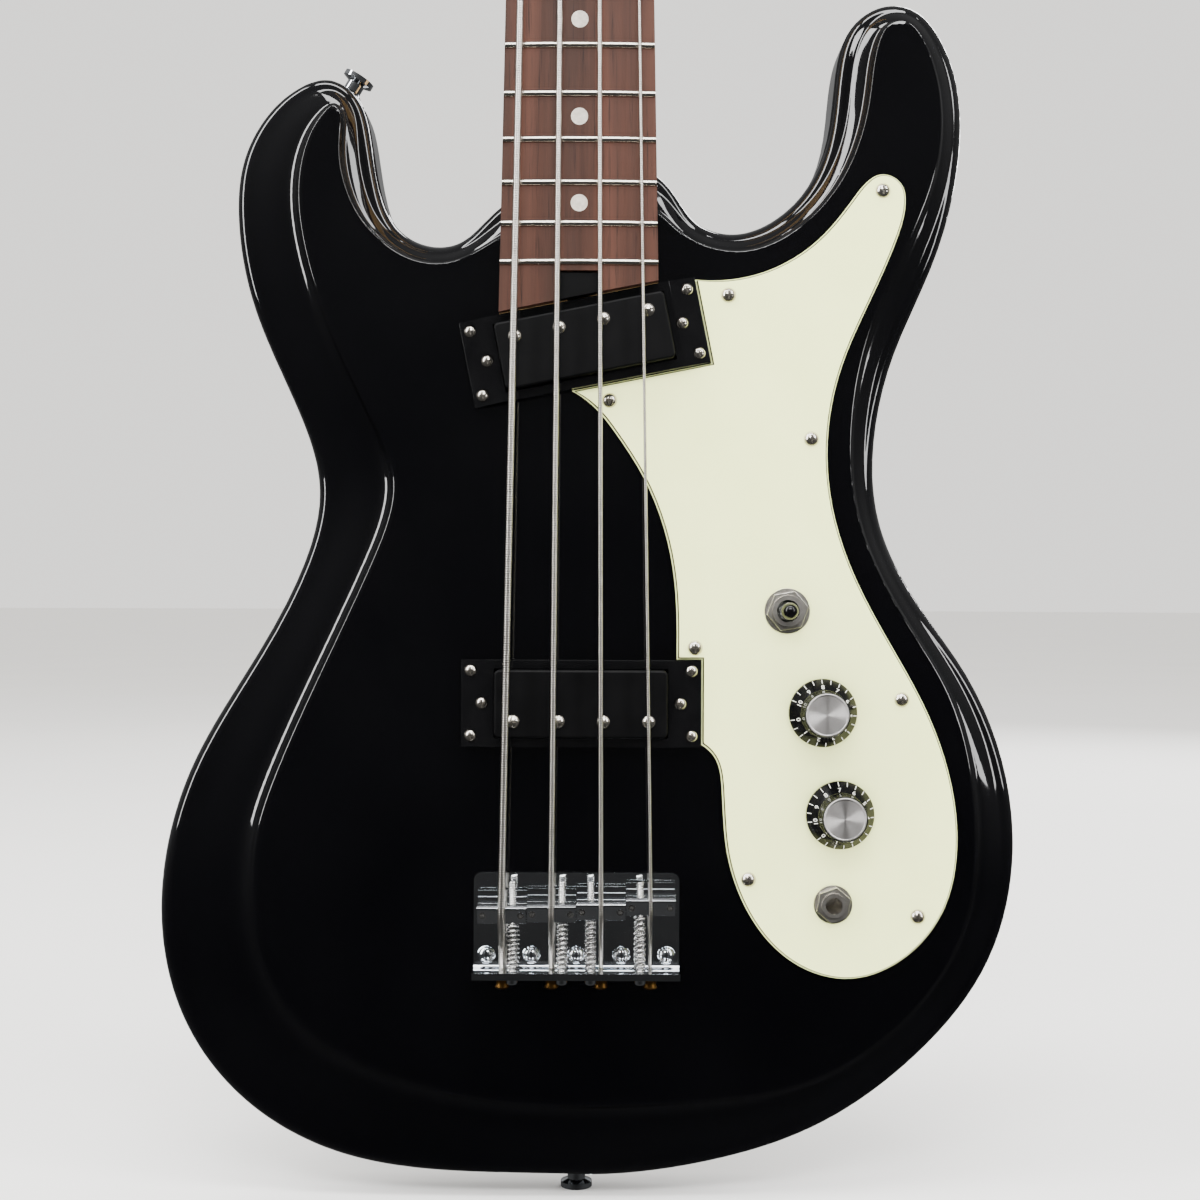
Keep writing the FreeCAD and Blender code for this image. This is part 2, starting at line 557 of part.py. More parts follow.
def sketch_polygon(body, name, role, corners):
    """Draws a closed polygon on an origin plane, with every corner bound to the sheet."""
    sketch = body.newObject("Sketcher::SketchObject", name)
    plane = next(item for item in body.Origin.OriginFeatures if item.Role == role)
    sketch.AttachmentSupport = (plane, "")
    sketch.MapMode = "FlatFace"
    spots = [Vector(amount(x), amount(y), 0) for x, y in corners]
    count = len(spots)
    for index in range(count):
        sketch.addGeometry(Part.LineSegment(spots[index], spots[(index + 1) % count]), False)
    for index in range(count):
        sketch.addConstraint(Sketcher.Constraint("Coincident", index, 2, (index + 1) % count, 1))
    for index, (x, y) in enumerate(corners):
        for kind, text, axis in (("DistanceX", x, -2), ("DistanceY", y, -1)):
            if text == "0":
                sketch.addConstraint(Sketcher.Constraint("PointOnObject", index, 1, axis))
            else:
                rule = Sketcher.Constraint(kind, -1, 1, index, 1, amount(text))
                number = sketch.addConstraint(rule)
                sketch.setExpression("Constraints[%d]" % number, formula(text))
    return sketch


def turned(name, corners):
    """Turns a profile of (radius, height) corners about Z."""
    body = doc.addObject("PartDesign::Body", name)
    sketch = sketch_polygon(body, name + "_profile", "XZ_Plane", corners)
    turn = body.newObject("PartDesign::Revolution", name + "_turn")
    turn.Profile = sketch
    turn.ReferenceAxis = (sketch, ["V_Axis"])
    turn.Angle = 360.0
    return body


def padded(name, role, corners, length, fillet=None, along=None):
    """Pads a polygon to both sides of an origin plane and rounds the edges along one direction."""
    body = doc.addObject("PartDesign::Body", name)
    sketch = sketch_polygon(body, name + "_outline", role, corners)
    pad = body.newObject("PartDesign::Pad", name + "_pad")
    pad.Profile = sketch
    pad.setExpression("Length", formula(length))
    pad.Midplane = True
    if fillet:
        doc.recompute()
        names = []
        for index, edge in enumerate(pad.Shape.Edges, 1):
            step = edge.lastVertex().Point.sub(edge.firstVertex().Point)
            if step.Length > 0 and abs(step.dot(along)) / step.Length > 0.999:
                names.append("Edge%d" % index)
        rounding = body.newObject("PartDesign::Fillet", name + "_corners")
        rounding.Base = (pad, names)
        rounding.setExpression("Radius", formula(fillet))
    return body


def hexagon(name, corner, height, bore):
    """Makes a hexagonal nut with a round bore, standing on z = 0."""
    nut = add("Part::Prism", name + "_hex", Circumradius=corner, Height=height)
    nut.Polygon = 6
    return cut(name, nut, [rod(name + "_bore", bore, height)])


def ring(name, outer, inner, height):
    """Makes a flat ring standing on z = 0."""
    return cut(name, rod(name + "_disc", outer, height), [rod(name + "_hole", inner, height)])


def wood_screw(name, head, length="screw_length"):
    """Makes a domed cross-head wood screw: the head stands on z = 0 and the shank points down."""
    radius = size(head)
    dome = radius * size("head_share")
    shank = radius * size("shank_share")
    ball = (radius * radius + dome * dome) / (2 * dome)
    cap = doc.addObject("Part::Sphere", name + "_head")
    cap.setExpression("Radius", "Sizes.{0} * (1 / Sizes.head_share + Sizes.head_share) / 2".format(head))
    cap.Angle1 = math.degrees(math.asin((ball - dome) / ball))
    cap.Angle2 = 90.0
    place(cap, 0, 0, dome - ball)
    stem = doc.addObject("Part::Cylinder", name + "_shank")
    stem.setExpression("Radius", "Sizes.{0} * Sizes.shank_share".format(head))
    stem.setExpression("Height", "Sizes.{0} - Sizes.{1}".format(length, head))
    place(stem, 0, 0, -(size(length) - radius))
    tip = doc.addObject("Part::Cone", name + "_tip")
    tip.setExpression("Radius2", "Sizes.{0} * Sizes.shank_share".format(head))
    tip.Radius1 = shank / 6
    tip.setExpression("Height", "Sizes." + head)
    place(tip, 0, 0, -size(length))
    arms = []
    for index, turn in enumerate((0.0, 90.0)):
        arm = doc.addObject("Part::Box", "%s_slot_%d" % (name, index))
        arm.setExpression("Length", "Sizes.{0} * 1.1".format(head))
        arm.setExpression("Width", "Sizes.{0} * 0.24".format(head))
        arm.setExpression("Height", "Sizes.{0}".format(head))
        quarter = Rotation(UP, turn)
        corner = quarter.multVec(Vector(-radius * 0.55, -radius * 0.12, 0))
        place(arm, corner.x, corner.y, dome * 0.35, quarter)
        arms.append(arm)
    return cut(name, fuse(name + "_solid", [cap, stem, tip]), arms)


def screw_hole(head, x, z):
    """Gives the hole in the front of the body for one wood screw."""
    radius = size(head) * size("shank_share") + size("screw_fit")
    depth = size("screw_length") + size("trim_gap")
    return Part.makeCylinder(radius, depth, Vector(x, -size("body_front"), z), Vector(0, 1, 0))


def prism(outline, low, high):
    """Raises a closed plan of (x, z) points from height low to height high above the flat front."""
    base = -(size("body_front") + low)
    corners = [Vector(x, base, z) for x, z in outline]
    face = Part.Face(Part.makePolygon(corners + corners[:1]))
    return face.extrude(Vector(0, low - high, 0))


def smooth(points):
    """Draws one open curve through points."""
    curve = Part.BSplineCurve()
    curve.interpolate(Points=points)
    return curve.toShape()


# Where things are along the neck

def nut_z():
    """Gives the nut's fretboard-side face."""
    return size("saddle_line") + size("scale_length")


def fret_z(number):
    """Gives the height of a fret by the twelfth root of two."""
    return nut_z() - size("scale_length") * (1 - 2 ** (-number / 12.0))


def board_half(z):
    """Gives half the fretboard's width at a height."""
    last = fret_z(FRET_COUNT)
    slope = (size("board_width") - size("nut_width")) / 2 / (nut_z() - last)
    return size("nut_width") / 2 + (nut_z() - z) * slope


def neck_surround_point(along, across):
    """Turns a point of the neck pickup's own frame into plan coordinates."""
    turn = math.radians(size("neck_pickup_turn"))
    x = size("neck_pickup_x") + along * math.cos(turn) - across * math.sin(turn)
    z = size("neck_pickup_z") + along * math.sin(turn) + across * math.cos(turn)
    return x, z


def from_neck_pickup(points):
    """Turns points that are measured from the middle of the neck pickup into plan coordinates."""
    return [(size("neck_pickup_x") + x, size("neck_pickup_z") + z) for x, z in points]


def from_bridge_pickup(points):
    """Turns points that are measured from the middle of the bridge pickup into plan coordinates."""
    return [(size("bridge_pickup_x") + x, size("bridge_pickup_z") + z) for x, z in points]


def board_end_z(x, gap):
    """Gives the slanted lower end of the fretboard, which follows the neck pickup's surround."""
    turn = math.radians(size("neck_pickup_turn"))
    start_x, start_z = neck_surround_point(0.0, size("surround_width") / 2 + gap)
    return start_z + (x - start_x) * math.tan(turn)


def board_end_corner(side, gap, grow):
    """Gives a corner of the slanted end: side is -1 or 1, and grow widens the plan."""
    x = side * size("board_width") / 2
    for _ in range(4):
        x = side * (board_half(board_end_z(x, gap)) + grow)
    return x, board_end_z(x, gap)


def board_plan(top, gap, grow):
    """Gives the plan of the fretboard or heel from the slanted end to a height."""
    half = board_half(top) + grow
    return [board_end_corner(-1, gap, grow), board_end_corner(1, gap, grow), (half, top), (-half, top)]


def string_x(name, spacing):
    """Gives a string's place across the neck for a spacing."""
    return (STRINGS.index(name) - 1.5) * size(spacing)


def crown_drop(x):
    """Gives how far the fretboard's curve falls at x."""
    return x * x / (2 * size("board_radius"))


def board_top():
    """Gives the height of the fretboard's top on the centre line."""
    return size("neck_rise") + size("board_thickness")


def saddle_z(name):
    """Gives the ridge of one saddle."""
    return size("saddle_line") + SADDLE_COMPENSATION[name]


def intonation_x(name):
    """Gives the intonation screw's place: beside its string, towards the middle."""
    x = string_x(name, "saddle_spacing")
    return x - math.copysign(size("intonation_offset"), x)


# Swept tubes

def arc_towards(start, heading, end):
    """Draws the arc that leaves a point along a heading and ends at another point."""
    chord = end.sub(start)
    length = chord.Length
    line = Vector(chord).multiply(1 / length)
    side = heading.sub(Vector(line).multiply(heading.dot(line)))
    if side.Length < 1e-9:
        return Part.LineSegment(start, end).toShape()
    angle = math.atan2(side.Length, heading.dot(line))
    side.normalize()
    middle = start.add(Vector(chord).multiply(0.5)).add(side.multiply(length / 2 * math.tan(angle / 2)))
    return Part.Arc(start, middle, end).toShape()


def biarc(start, leave, end, arrive):
    """Joins two points and headings with two arcs that meet smoothly."""
    span = end.sub(start)
    both = leave.add(arrive)
    square = 2 * (1 - leave.dot(arrive))
    linear = span.dot(both)
    reach = (-linear + math.sqrt(linear * linear + square * span.dot(span))) / square
    first = start.add(Vector(leave).multiply(reach))
    second = end.sub(Vector(arrive).multiply(reach))
    meet = first.add(second).multiply(0.5)
    heading = second.sub(first).normalize()
    return [arc_towards(start, leave, meet), arc_towards(meet, heading, end)]


def helix(centre, axis, outward, radius, pitch, turns, hand=1):
    """Gives quarter-turn points and headings of a helix that starts on the outward side."""
    across = axis.cross(outward).multiply(hand)
    steps = int(round(turns * 4))
    points, headings = [], []
    for step in range(steps + 1):
        angle = step * math.pi / 2
        spoke = Vector(outward).multiply(math.cos(angle)).add(Vector(across).multiply(math.sin(angle)))
        swing = Vector(across).multiply(math.cos(angle)).sub(Vector(outward).multiply(math.sin(angle)))
        rise = Vector(axis).multiply(pitch * step / 4)
        points.append(centre.add(spoke.multiply(radius)).add(rise))
        headings.append(swing.multiply(2 * math.pi * radius).add(Vector(axis).multiply(pitch)).normalize())
    return points, headings


def helix_edges(points, headings):
    """Joins the points of a helix with biarcs of a quarter turn."""
    edges = []
    for index in range(len(points) - 1):
        edges += biarc(points[index], headings[index], points[index + 1], headings[index + 1])
    return edges


def route_edges(points, radii):
    """Joins points with straight runs and tangent arcs."""
    edges = []
    here = points[0]
    for index, radius in enumerate(radii, 1):
        corner = points[index]
        arrive = corner.sub(points[index - 1]).normalize()
        leave = points[index + 1].sub(corner).normalize()
        reach = radius * math.tan(arrive.getAngle(leave) / 2)
        start = corner.sub(Vector(arrive).multiply(reach))
        end = corner.add(Vector(leave).multiply(reach))
        edges.append(Part.LineSegment(here, start).toShape())
        edges.append(arc_towards(start, arrive, end))
        here = end
    edges.append(Part.LineSegment(here, points[-1]).toShape())
    return edges


def tube(edges, radius):
    """Sweeps a round section along edges."""
    path = Part.Wire(edges)
    first = edges[0]
    begin = first.firstVertex(True).Point
    heading = first.tangentAt(first.FirstParameter)
    profile = Part.Wire([Part.makeCircle(radius, begin, heading)])
    solid = path.makePipeShell([profile], True, False)
    expected = math.pi * radius * radius * path.Length
    if abs(solid.Volume - expected) > 0.02 * expected:
        raise ValueError("tube of %.3f mm3 is not its section times its length" % solid.Volume)
    return solid


def report_gap(label, points, radius, far):
    """Prints the least gap of a winding to itself, on points more than far steps apart."""
    least = min(
        points[low].sub(points[high]).Length
        for low in range(len(points))
        for high in range(low + far, len(points))
    )
    print("%s: least gap to itself %.2f mm" % (label, least - 2 * radius))


def sampled(centre, axis, outward, radius, pitch, turns, hand=1, per_turn=48):
    """Gives points along a helix for the gap test."""
    across = axis.cross(outward).multiply(hand)
    points = []
    for step in range(int(turns * per_turn) + 1):
        angle = 2 * math.pi * step / per_turn
        spoke = Vector(outward).multiply(math.cos(angle)).add(Vector(across).multiply(math.sin(angle)))
        rise = Vector(axis).multiply(pitch * step / per_turn)
        points.append(centre.add(spoke.multiply(radius)).add(rise))
    return points


def spring(label, start, axis, outward, radius, wire, length, turns):
    """Makes a compression spring of one tube whose ends run straight for one wire diameter."""
    pitch = (length - 2 * wire) / turns
    centre = start.add(Vector(axis).multiply(wire))
    points, headings = helix(centre, axis, outward, radius, pitch, turns)
    lead = points[0].sub(Vector(headings[0]).multiply(2 * wire))
    tail = points[-1].add(Vector(headings[-1]).multiply(2 * wire))
    edges = [Part.LineSegment(lead, points[0]).toShape()]
    edges += helix_edges(points, headings)
    edges.append(Part.LineSegment(points[-1], tail).toShape())
    report_gap(label, sampled(centre, axis, outward, radius, pitch, turns), wire, 24)
    return tube(edges, wire)


# Body

def station_points(share=None, inset=None, depth=0.0):
    """Gives one closed row of points round the body: a share of the way from ridge to wall, or an inset
    from the wall, at a distance behind the flat front."""
    row = []
    for edge_x, edge_z, rim_x, rim_z in BODY_STATIONS:
        edge = Vector(edge_x, 0, edge_z)
        inward = Vector(rim_x, 0, rim_z).sub(edge)
        width = inward.Length
        inward.normalize()
        if share is None:
            distance = min(inset, 0.4 * width) if inset > 0 and depth < size("body_front") else inset
        else:
            reach = min(size("front_round_inset"), 0.4 * width)
            distance = width + (reach - width) * share
        spot = edge.add(inward.multiply(distance))
        row.append(Vector(spot.x, depth - size("body_front"), spot.z))
    return row


def station_knots():
    """Gives the distance from station to station along the side wall, all the way round."""
    outline = station_points(inset=0.0)
    knots = [0.0]
    for here, there in zip(outline, outline[1:] + outline[:1]):
        knots.append(knots[-1] + there.sub(here).Length)
    return knots


def closed_curve(points):
    """Draws one closed curve; all rows share their parameters, so that lofts run straight across them."""
    curve = Part.BSplineCurve()
    curve.interpolate(Points=points, PeriodicFlag=True, Parameters=station_knots())
    return curve


def body_blank():
    """Lofts the carved front, the side wall and the rounded back, and closes them into one solid."""
    cove = size("cove_drop")
    band = size("carve_drop") - cove
    thickness = size("body_front") + size("body_back")
    ridge = size("ridge_round")
    front_rows = [station_points(share=-ridge / 20.0, depth=0.0)]
    front_rows.append(station_points(share=0.0, depth=ridge / 4))
    for share, cove_share, band_share in CARVE_PROFILE:
        front_rows.append(station_points(share=share, depth=cove * cove_share + band * band_share))
    for angle in ROUND_STEPS:
        turn = math.radians(angle)
        inset = size("front_round_inset") * (1 - math.sin(turn))
        depth = size("carve_drop") + size("front_round") * (1 - math.cos(turn))
        front_rows.append(station_points(inset=inset, depth=depth))
    back_rows = []
    for angle in ROUND_STEPS:
        turn = math.radians(angle)
        inset = size("back_round") * (1 - math.cos(turn))
        depth = thickness - size("back_round") * (1 - math.sin(turn))
        back_rows.append(station_points(inset=inset, depth=depth))
    front_wires = [Part.Wire([closed_curve(row).toShape()]) for row in front_rows]
    back_wires = [Part.Wire([closed_curve(row).toShape()]) for row in back_rows]
    faces = list(Part.makeLoft(front_wires, False, False).Faces)
    faces += Part.makeLoft([front_wires[-1], back_wires[0]], False, True).Faces
    faces += Part.makeLoft(back_wires, False, False).Faces
    faces += [Part.Face(front_wires[0]), Part.Face(back_wires[-1])]
    shell = Part.makeShell(faces)
    shell.sewShape()
    solid = Part.Solid(shell)
    if solid.Volume < 0:
        solid.reverse()
    return solid


def horn_pin():
    """Gives the seat of the upper strap button and its outward direction, on the bass-side horn's wall."""
    curve = closed_curve(station_points(inset=0.0, depth=size("body_front")))
    knots = station_knots()
    where = (knots[HORN_STATION] + knots[HORN_STATION + 1]) / 2
    seat = curve.value(where)
    along = curve.tangent(where)[0]
    outward = Vector(along.z, 0, -along.x)
    if outward.z < 0:
        outward = outward.negative()
    return seat, outward.normalize()


def pin_spots():
    """Gives the base and the outward direction of each strap button."""
    seat, outward = horn_pin()
    upper = seat.sub(Vector(outward).multiply(size("pin_seat")))
    lower = Vector(0, 0, size("pin_height") - size("pin_rim_width") / 2)
    return [(lower, Vector(0, 0, -1)), (upper, outward)]


def pickup_cavity_cuts(x, z, turn):
    """Gives the cavity of one pickup: the well and the side rooms for its height screws."""
    depth = size("pickup_cavity")
    half = size("cover_length") / 2 + size("well_end")
    side = size("cover_width") / 2 + size("well_side")
    well = Part.makeBox(2 * half, 2 * side, depth + OVER, Vector(-half, -side, -depth))
    reach = size("height_screw_x") + size("ear_room_end")
    room = size("ear_room")
    rooms = Part.makeBox(2 * reach, room, depth + OVER, Vector(-reach, -room / 2, -depth))
    cavity = well.fuse(rooms)
    cavity.Placement = front(x, z, 0.0, turn)
    return cavity


def surround_screw_spots():
    """Gives the four corner screws of each surround, in plan."""
    spots = []
    for x in (-size("surround_screw_x"), size("surround_screw_x")):
        for z in (-size("surround_screw_z"), size("surround_screw_z")):
            spots.append(neck_surround_point(x, z))
            spots.append((size("bridge_pickup_x") + x, size("bridge_pickup_z") + z))
    return spots


def bridge_screw_spots():
    """Gives the row of bridge screws, in plan."""
    z = size("saddle_line") - size("bridge_screw_back")
    return [(step * size("bridge_screw_pitch"), z) for step in (-2, -1, 0, 1, 2)]


def neck_bolt_spots():
    """Gives the four neck bolts, in plan."""
    middle = size("neck_plate_z")
    across = size("neck_bolt_x")
    along = size("neck_bolt_z")
    return [(side * across, middle + row * along) for side in (-1, 1) for row in (-1, 1)]


def neck_bolt_hole():
    """Gives the hole of one neck bolt from the back face forwards, at x = z = 0."""
    radius = size("neck_bolt") + size("screw_fit")
    length = size("neck_bolt_length") + size("trim_gap")
    return Part.makeCylinder(radius, length, Vector(0, size("body_back"), 0), Vector(0, -1, 0))


def rounded_plate(width, length, thickness, corner):
    """Makes a plate with round corners, centred in x and y and standing on z = 0."""
    plate = Part.makeBox(width, length, thickness, Vector(-width / 2, -length / 2, 0))
    uprights = [edge for edge in plate.Edges if abs(edge.tangentAt(edge.FirstParameter).z) > 0.999]
    return plate.makeFillet(corner, uprights)


def guard_screw_spots():
    """Gives the pickguard's screws, in plan."""
    return from_neck_pickup(GUARD_SCREWS_HIGH) + from_bridge_pickup(GUARD_SCREWS_LOW)


def make_body():
    """Cuts the pocket, cavities, channels, seats and screw holes into the carved blank."""
    depth = size("heel_depth") - size("neck_rise")
    pocket = board_plan(size("heel_top") + THROUGH / 2, size("end_gap"), size("pocket_fit"))
    bridge = (size("bridge_pickup_x"), size("bridge_pickup_z"))
    tools = [
        prism(pocket, -depth, THROUGH),
        pickup_cavity_cuts(size("neck_pickup_x"), size("neck_pickup_z"), size("neck_pickup_turn")),
        pickup_cavity_cuts(*bridge, 0.0),
        prism(CONTROL_CAVITY, -size("control_cavity"), THROUGH),
    ]
    channel_y = -size("body_front") + size("pickup_cavity") - size("wire_channel_rise")
    start = Vector(bridge[0], channel_y, bridge[1])
    reach = size("volume_x") - bridge[0]
    rise = size("neck_pickup_z") - bridge[1]
    tools.append(Part.makeCylinder(size("wire_channel"), reach, start, Vector(1, 0, 0)))
    tools.append(Part.makeCylinder(size("wire_channel"), rise, start, UP))
    for head, spots in (
        ("guard_screw_head", guard_screw_spots()),
        ("surround_screw_head", surround_screw_spots()),
        ("bridge_screw_head", bridge_screw_spots()),
    ):
        tools += [screw_hole(head, x, z) for x, z in spots]
    tools += [neck_bolt_hole().translated(Vector(x, 0, z)) for x, z in neck_bolt_spots()]
    recess = rounded_plate(
        size("neck_plate_width") + 2 * size("plate_fit"),
        size("neck_plate_length") + 2 * size("plate_fit"),
        size("neck_plate_thickness") + OVER,
        size("neck_plate_corner"),
    )
    spot = Vector(0, size("body_back") - size("neck_plate_thickness"), size("neck_plate_z"))
    recess.Placement = Placement(spot, BACK)
    tools.append(recess)
    for base, outward in pin_spots():
        seat = size("pin_base") + size("pin_seat_gap")
        tools.append(Part.makeCylinder(seat, size("pin_height"), base, outward))
        hole = size("pin_screw") + size("screw_fit")
        depth = size("pin_screw_length") + 2 * size("pin_screw_tip")
        tools.append(Part.makeCylinder(hole, depth, base, outward.negative()))
    return body_blank().cut(tools)


own_node(shape_feature("body_shape", make_body()), "body")


# Neck, fretboard, frets, markers, nut and truss rod

def neck_section(z, half, depth):
    """Draws a neck section: a flat top and a half-oval back, in two quarters."""
    top = -(size("body_front") + size("neck_rise"))
    middle = Vector(0, top, z)
    if half > depth:
        oval = Part.Ellipse(Vector(half, top, z), Vector(0, top + depth, z), middle)
        start = 0.0
    else:
        oval = Part.Ellipse(Vector(0, top + depth, z), Vector(-half, top, z), middle)
        start = -math.pi / 2
    first = Part.ArcOfEllipse(oval, start, start + math.pi / 2).toShape()
    second = Part.ArcOfEllipse(oval, start + math.pi / 2, start + math.pi).toShape()
    flat = Part.LineSegment(Vector(-half, top, z), Vector(half, top, z)).toShape()
    return Part.Wire([first, second, flat])


def make_heel():
    """Makes the square heel in its pocket and the wedge that leads from it into the neck's back."""
    heel = size("heel_top")
    rise = size("neck_rise")
    block_plan = board_plan(heel, size("end_gap") + size("pocket_fit"), 0.0)
    square = prism(block_plan, rise - size("heel_depth"), rise)
    y_top = -(size("body_front") + rise)
    half = board_half(heel + size("heel_wedge")) - size("trim_gap")
    far = heel + size("heel_wedge")
    side = [
        Vector(-half, y_top + OVER, heel - OVER),
        Vector(-half, y_top + size("heel_depth"), heel - OVER),
        Vector(-half, y_top + size("heel_depth"), heel),
        Vector(-half, y_top + size("heel_nose"), far),
        Vector(-half, y_top + OVER, far),
    ]
    wedge = Part.Face(Part.makePolygon(side + side[:1])).extrude(Vector(2 * half, 0, 0))
    return square, wedge


def headstock_front():
    """Gives the height of the headstock's face."""
    return size("neck_rise") - size("head_drop")


def make_headstock():
    """Makes the headstock: a plate whose back slopes into the neck, and a ramp down to its face."""
    top = nut_z()
    y_top = -(size("body_front") + size("neck_rise"))
    y_face = y_top + size("head_drop")
    y_back = y_face + size("head_thickness")
    outline = [Vector(x, y_face, top + z) for x, z in HEADSTOCK]
    foot = Part.LineSegment(outline[-1], outline[0]).toShape()
    plate = Part.Face(Part.Wire([smooth(outline), foot])).extrude(Vector(0, size("head_thickness"), 0))
    wide = max(abs(x) for x, _ in HEADSTOCK) + OVER
    y_start = y_top + size("neck_depth") - size("head_slope_rise")
    low_z = outline[0].z - OVER
    slope = [
        Vector(-wide, y_start, outline[0].z),
        Vector(-wide, y_back, top + size("head_slope")),
        Vector(-wide, y_back + OVER, top + size("head_slope")),
        Vector(-wide, y_back + OVER, low_z),
        Vector(-wide, y_start, low_z),
    ]
    wedge = Part.Face(Part.makePolygon(slope + slope[:1])).extrude(Vector(2 * wide, 0, 0))
    half = size("nut_width") / 2 - size("fret_inset")
    shelf = top + nut_shelf()
    ramp = 3 * size("head_drop")
    high = Vector(-half, y_top, shelf)
    low = Vector(-half, y_face, shelf + ramp)
    middle = Vector(-half, y_face - size("head_drop") * 0.36, shelf + ramp * 0.4)
    deep = y_face + OVER
    under = [low, Vector(-half, deep, shelf + ramp), Vector(-half, deep, shelf), high]
    edges = [Part.Arc(high, middle, low).toShape()] + Part.makePolygon(under).Edges
    slide = Part.Face(Part.Wire(edges)).extrude(Vector(2 * half, 0, 0))
    return plate.cut(wedge), slide


def nut_shelf():
    """Gives how far the top of the neck wood runs past the fretboard."""
    return size("nut_thickness") + size("nut_shelf")


def make_neck():
    """Joins the shaft, the heel and the headstock, then cuts the rod channel and the holes."""
    top = nut_z()
    heel = size("heel_top")
    slim = size("neck_depth")
    last = top + nut_shelf()
    shaft = Part.makeLoft(
        [
            neck_section(heel, board_half(heel), slim + size("neck_swell")),
            neck_section(last, board_half(last), slim),
        ],
        True,
        True,
    )
    square, wedge = make_heel()
    plate, slide = make_headstock()
    solid = shaft.fuse([square, wedge, plate, slide]).removeSplitter()
    y_top = -(size("body_front") + size("neck_rise"))
    y_face = y_top + size("head_drop")
    channel = size("rod_channel")
    start = board_end_z(-board_half(heel), 0.0) - OVER
    length = top - size("rod_top") - start
    tools = [Part.makeBox(channel, channel + 2 * OVER, length, Vector(-channel / 2, y_top - OVER, start))]
    half = size("rod_access") / 2
    high = board_end_z(0.0, 0.0) + size("rod_cover_length") - size("rod_setback")
    access = [(-half, start), (half, start), (half, high), (-half, high)]
    rise = size("neck_rise")
    tools.append(prism(access, rise - size("rod_access_depth"), rise + OVER))
    for x, z in neck_bolt_spots():
        tools.append(neck_bolt_hole().translated(Vector(x, 0, z)))
    bore = bushing_bore() + size("bushing_wall") + size("screw_fit")
    reach = size("head_thickness") + 2 * OVER
    radius = size("tuner_screw_head") * size("shank_share") + size("screw_fit")
    for name in STRINGS:
        x, z = post_spot(name)
        tools.append(Part.makeCylinder(bore, reach, Vector(x, y_face - OVER, z), Vector(0, 1, 0)))
        for screw_x, screw_z in tuner_screw_spots(name):
            back = Vector(screw_x, y_face + size("head_thickness"), screw_z)
            tools.append(Part.makeCylinder(radius, tuner_screw_length(), back, Vector(0, -1, 0)))
    x, z = tree_spot()
    face = Vector(x, y_face, z)
    tools.append(Part.makeCylinder(size("tree_hole"), size("tree_hole_depth"), face, Vector(0, 1, 0)))
    return solid.cut(tools)


def rod_cover_plan(gap):
    """Gives the plan of the notch over the truss rod's nut, shrunk by a gap."""
    half = size("rod_cover_width") / 2 - gap
    top = board_end_z(0.0, 0.0) + size("rod_cover_length") - gap
    return [
        (-half, board_end_z(-half, size("end_gap")) + gap),
        (half, board_end_z(half, size("end_gap")) + gap),
        (half, top),
        (-half, top),
    ]


def post_spot(name):
    """Gives a tuner post's axis in plan: the string runs straight past its inner side."""
    order = STRINGS.index(name)
    offset = size("post_radius") + size("post_gap") + size("string_%s_radius" % name)
    x = string_x(name, "nut_spacing") - offset
    return x, nut_z() + size("tuner_first") + order * size("tuner_pitch")


def bushing_bore():
    """Gives the bore of a post's bushing."""
    return size("post_radius") + size("running_fit")


def worm_drop():
    """Gives how far the worm's axis lies below the post's."""
    return size("gear_radius") + size("worm_gap") + size("worm_radius")


def tuner_screw_spots(name):
    """Gives the four screws of one tuner plate, in plan."""
    x, z = post_spot(name)
    middle = z - worm_drop() / 2
    across = size("tuner_plate_width") / 2 - size("tuner_screw_inset")
    along = size("tuner_plate_length") / 2 - size("tuner_screw_inset")
    return [(x + i * across, middle + k * along) for i in (-1, 1) for k in (-1, 1)]


def tuner_screw_length():
    """Gives the depth of a tuner screw's hole in the headstock."""
    return size("tuner_screw_length") - size("tuner_plate_thickness") + size("trim_gap")


def tree_spot():
    """Gives the string tree's place, between the D and G strings."""
    x = (string_x("d", "nut_spacing") + string_x("g", "nut_spacing")) / 2
    return x, nut_z() + size("tree_distance")


def board_axis():
    """Gives the axis of the fretboard's curve."""
    return Vector(0, -(size("body_front") + board_top()) + size("board_radius"), 0)


def round_board(z, corners, past=0.0):
    """Sweeps a closed section of edges about the axis of the fretboard's curve, past a fret's ends."""
    axis = board_axis()
    half = board_half(z) - size("fret_inset")
    reach = math.degrees(math.asin(half / size("board_radius"))) + past
    face = Part.Face(Part.Wire(corners))
    face.rotate(axis, UP, -reach)
    return face.revolve(axis, UP, 2 * reach)


def make_fret(number):
    """Makes one fret: an arched crown and the tang under it."""
    z = fret_z(number)
    surface = board_axis().y - size("board_radius")
    base = surface - size("fret_seat")
    deep = surface + size("tang_depth")
    crown = size("fret_width") / 2
    tang = size("tang_width") / 2
    peak = Vector(0, base - size("fret_crown"), z)
    arch = Part.Arc(Vector(0, base, z - crown), peak, Vector(0, base, z + crown)).toShape()
    under = [(base, crown), (base, tang), (deep, tang), (deep, -tang), (base, -tang), (base, -crown)]
    line = Part.makePolygon([Vector(0, y, z + offset) for y, offset in under])
    return round_board(z, [arch] + line.Edges)


def fret_slot(number):
    """Gives the slot for one fret's tang, right across the board."""
    z = fret_z(number)
    surface = board_axis().y - size("board_radius")
    half = size("tang_width") / 2 + size("slot_fit")
    deep = surface + size("tang_depth") + size("slot_fit")
    proud = surface - OVER
    around = [(deep, -half), (deep, half), (proud, half), (proud, -half), (deep, -half)]
    return round_board(z, Part.makePolygon([Vector(0, y, z + offset) for y, offset in around]).Edges, OVER)


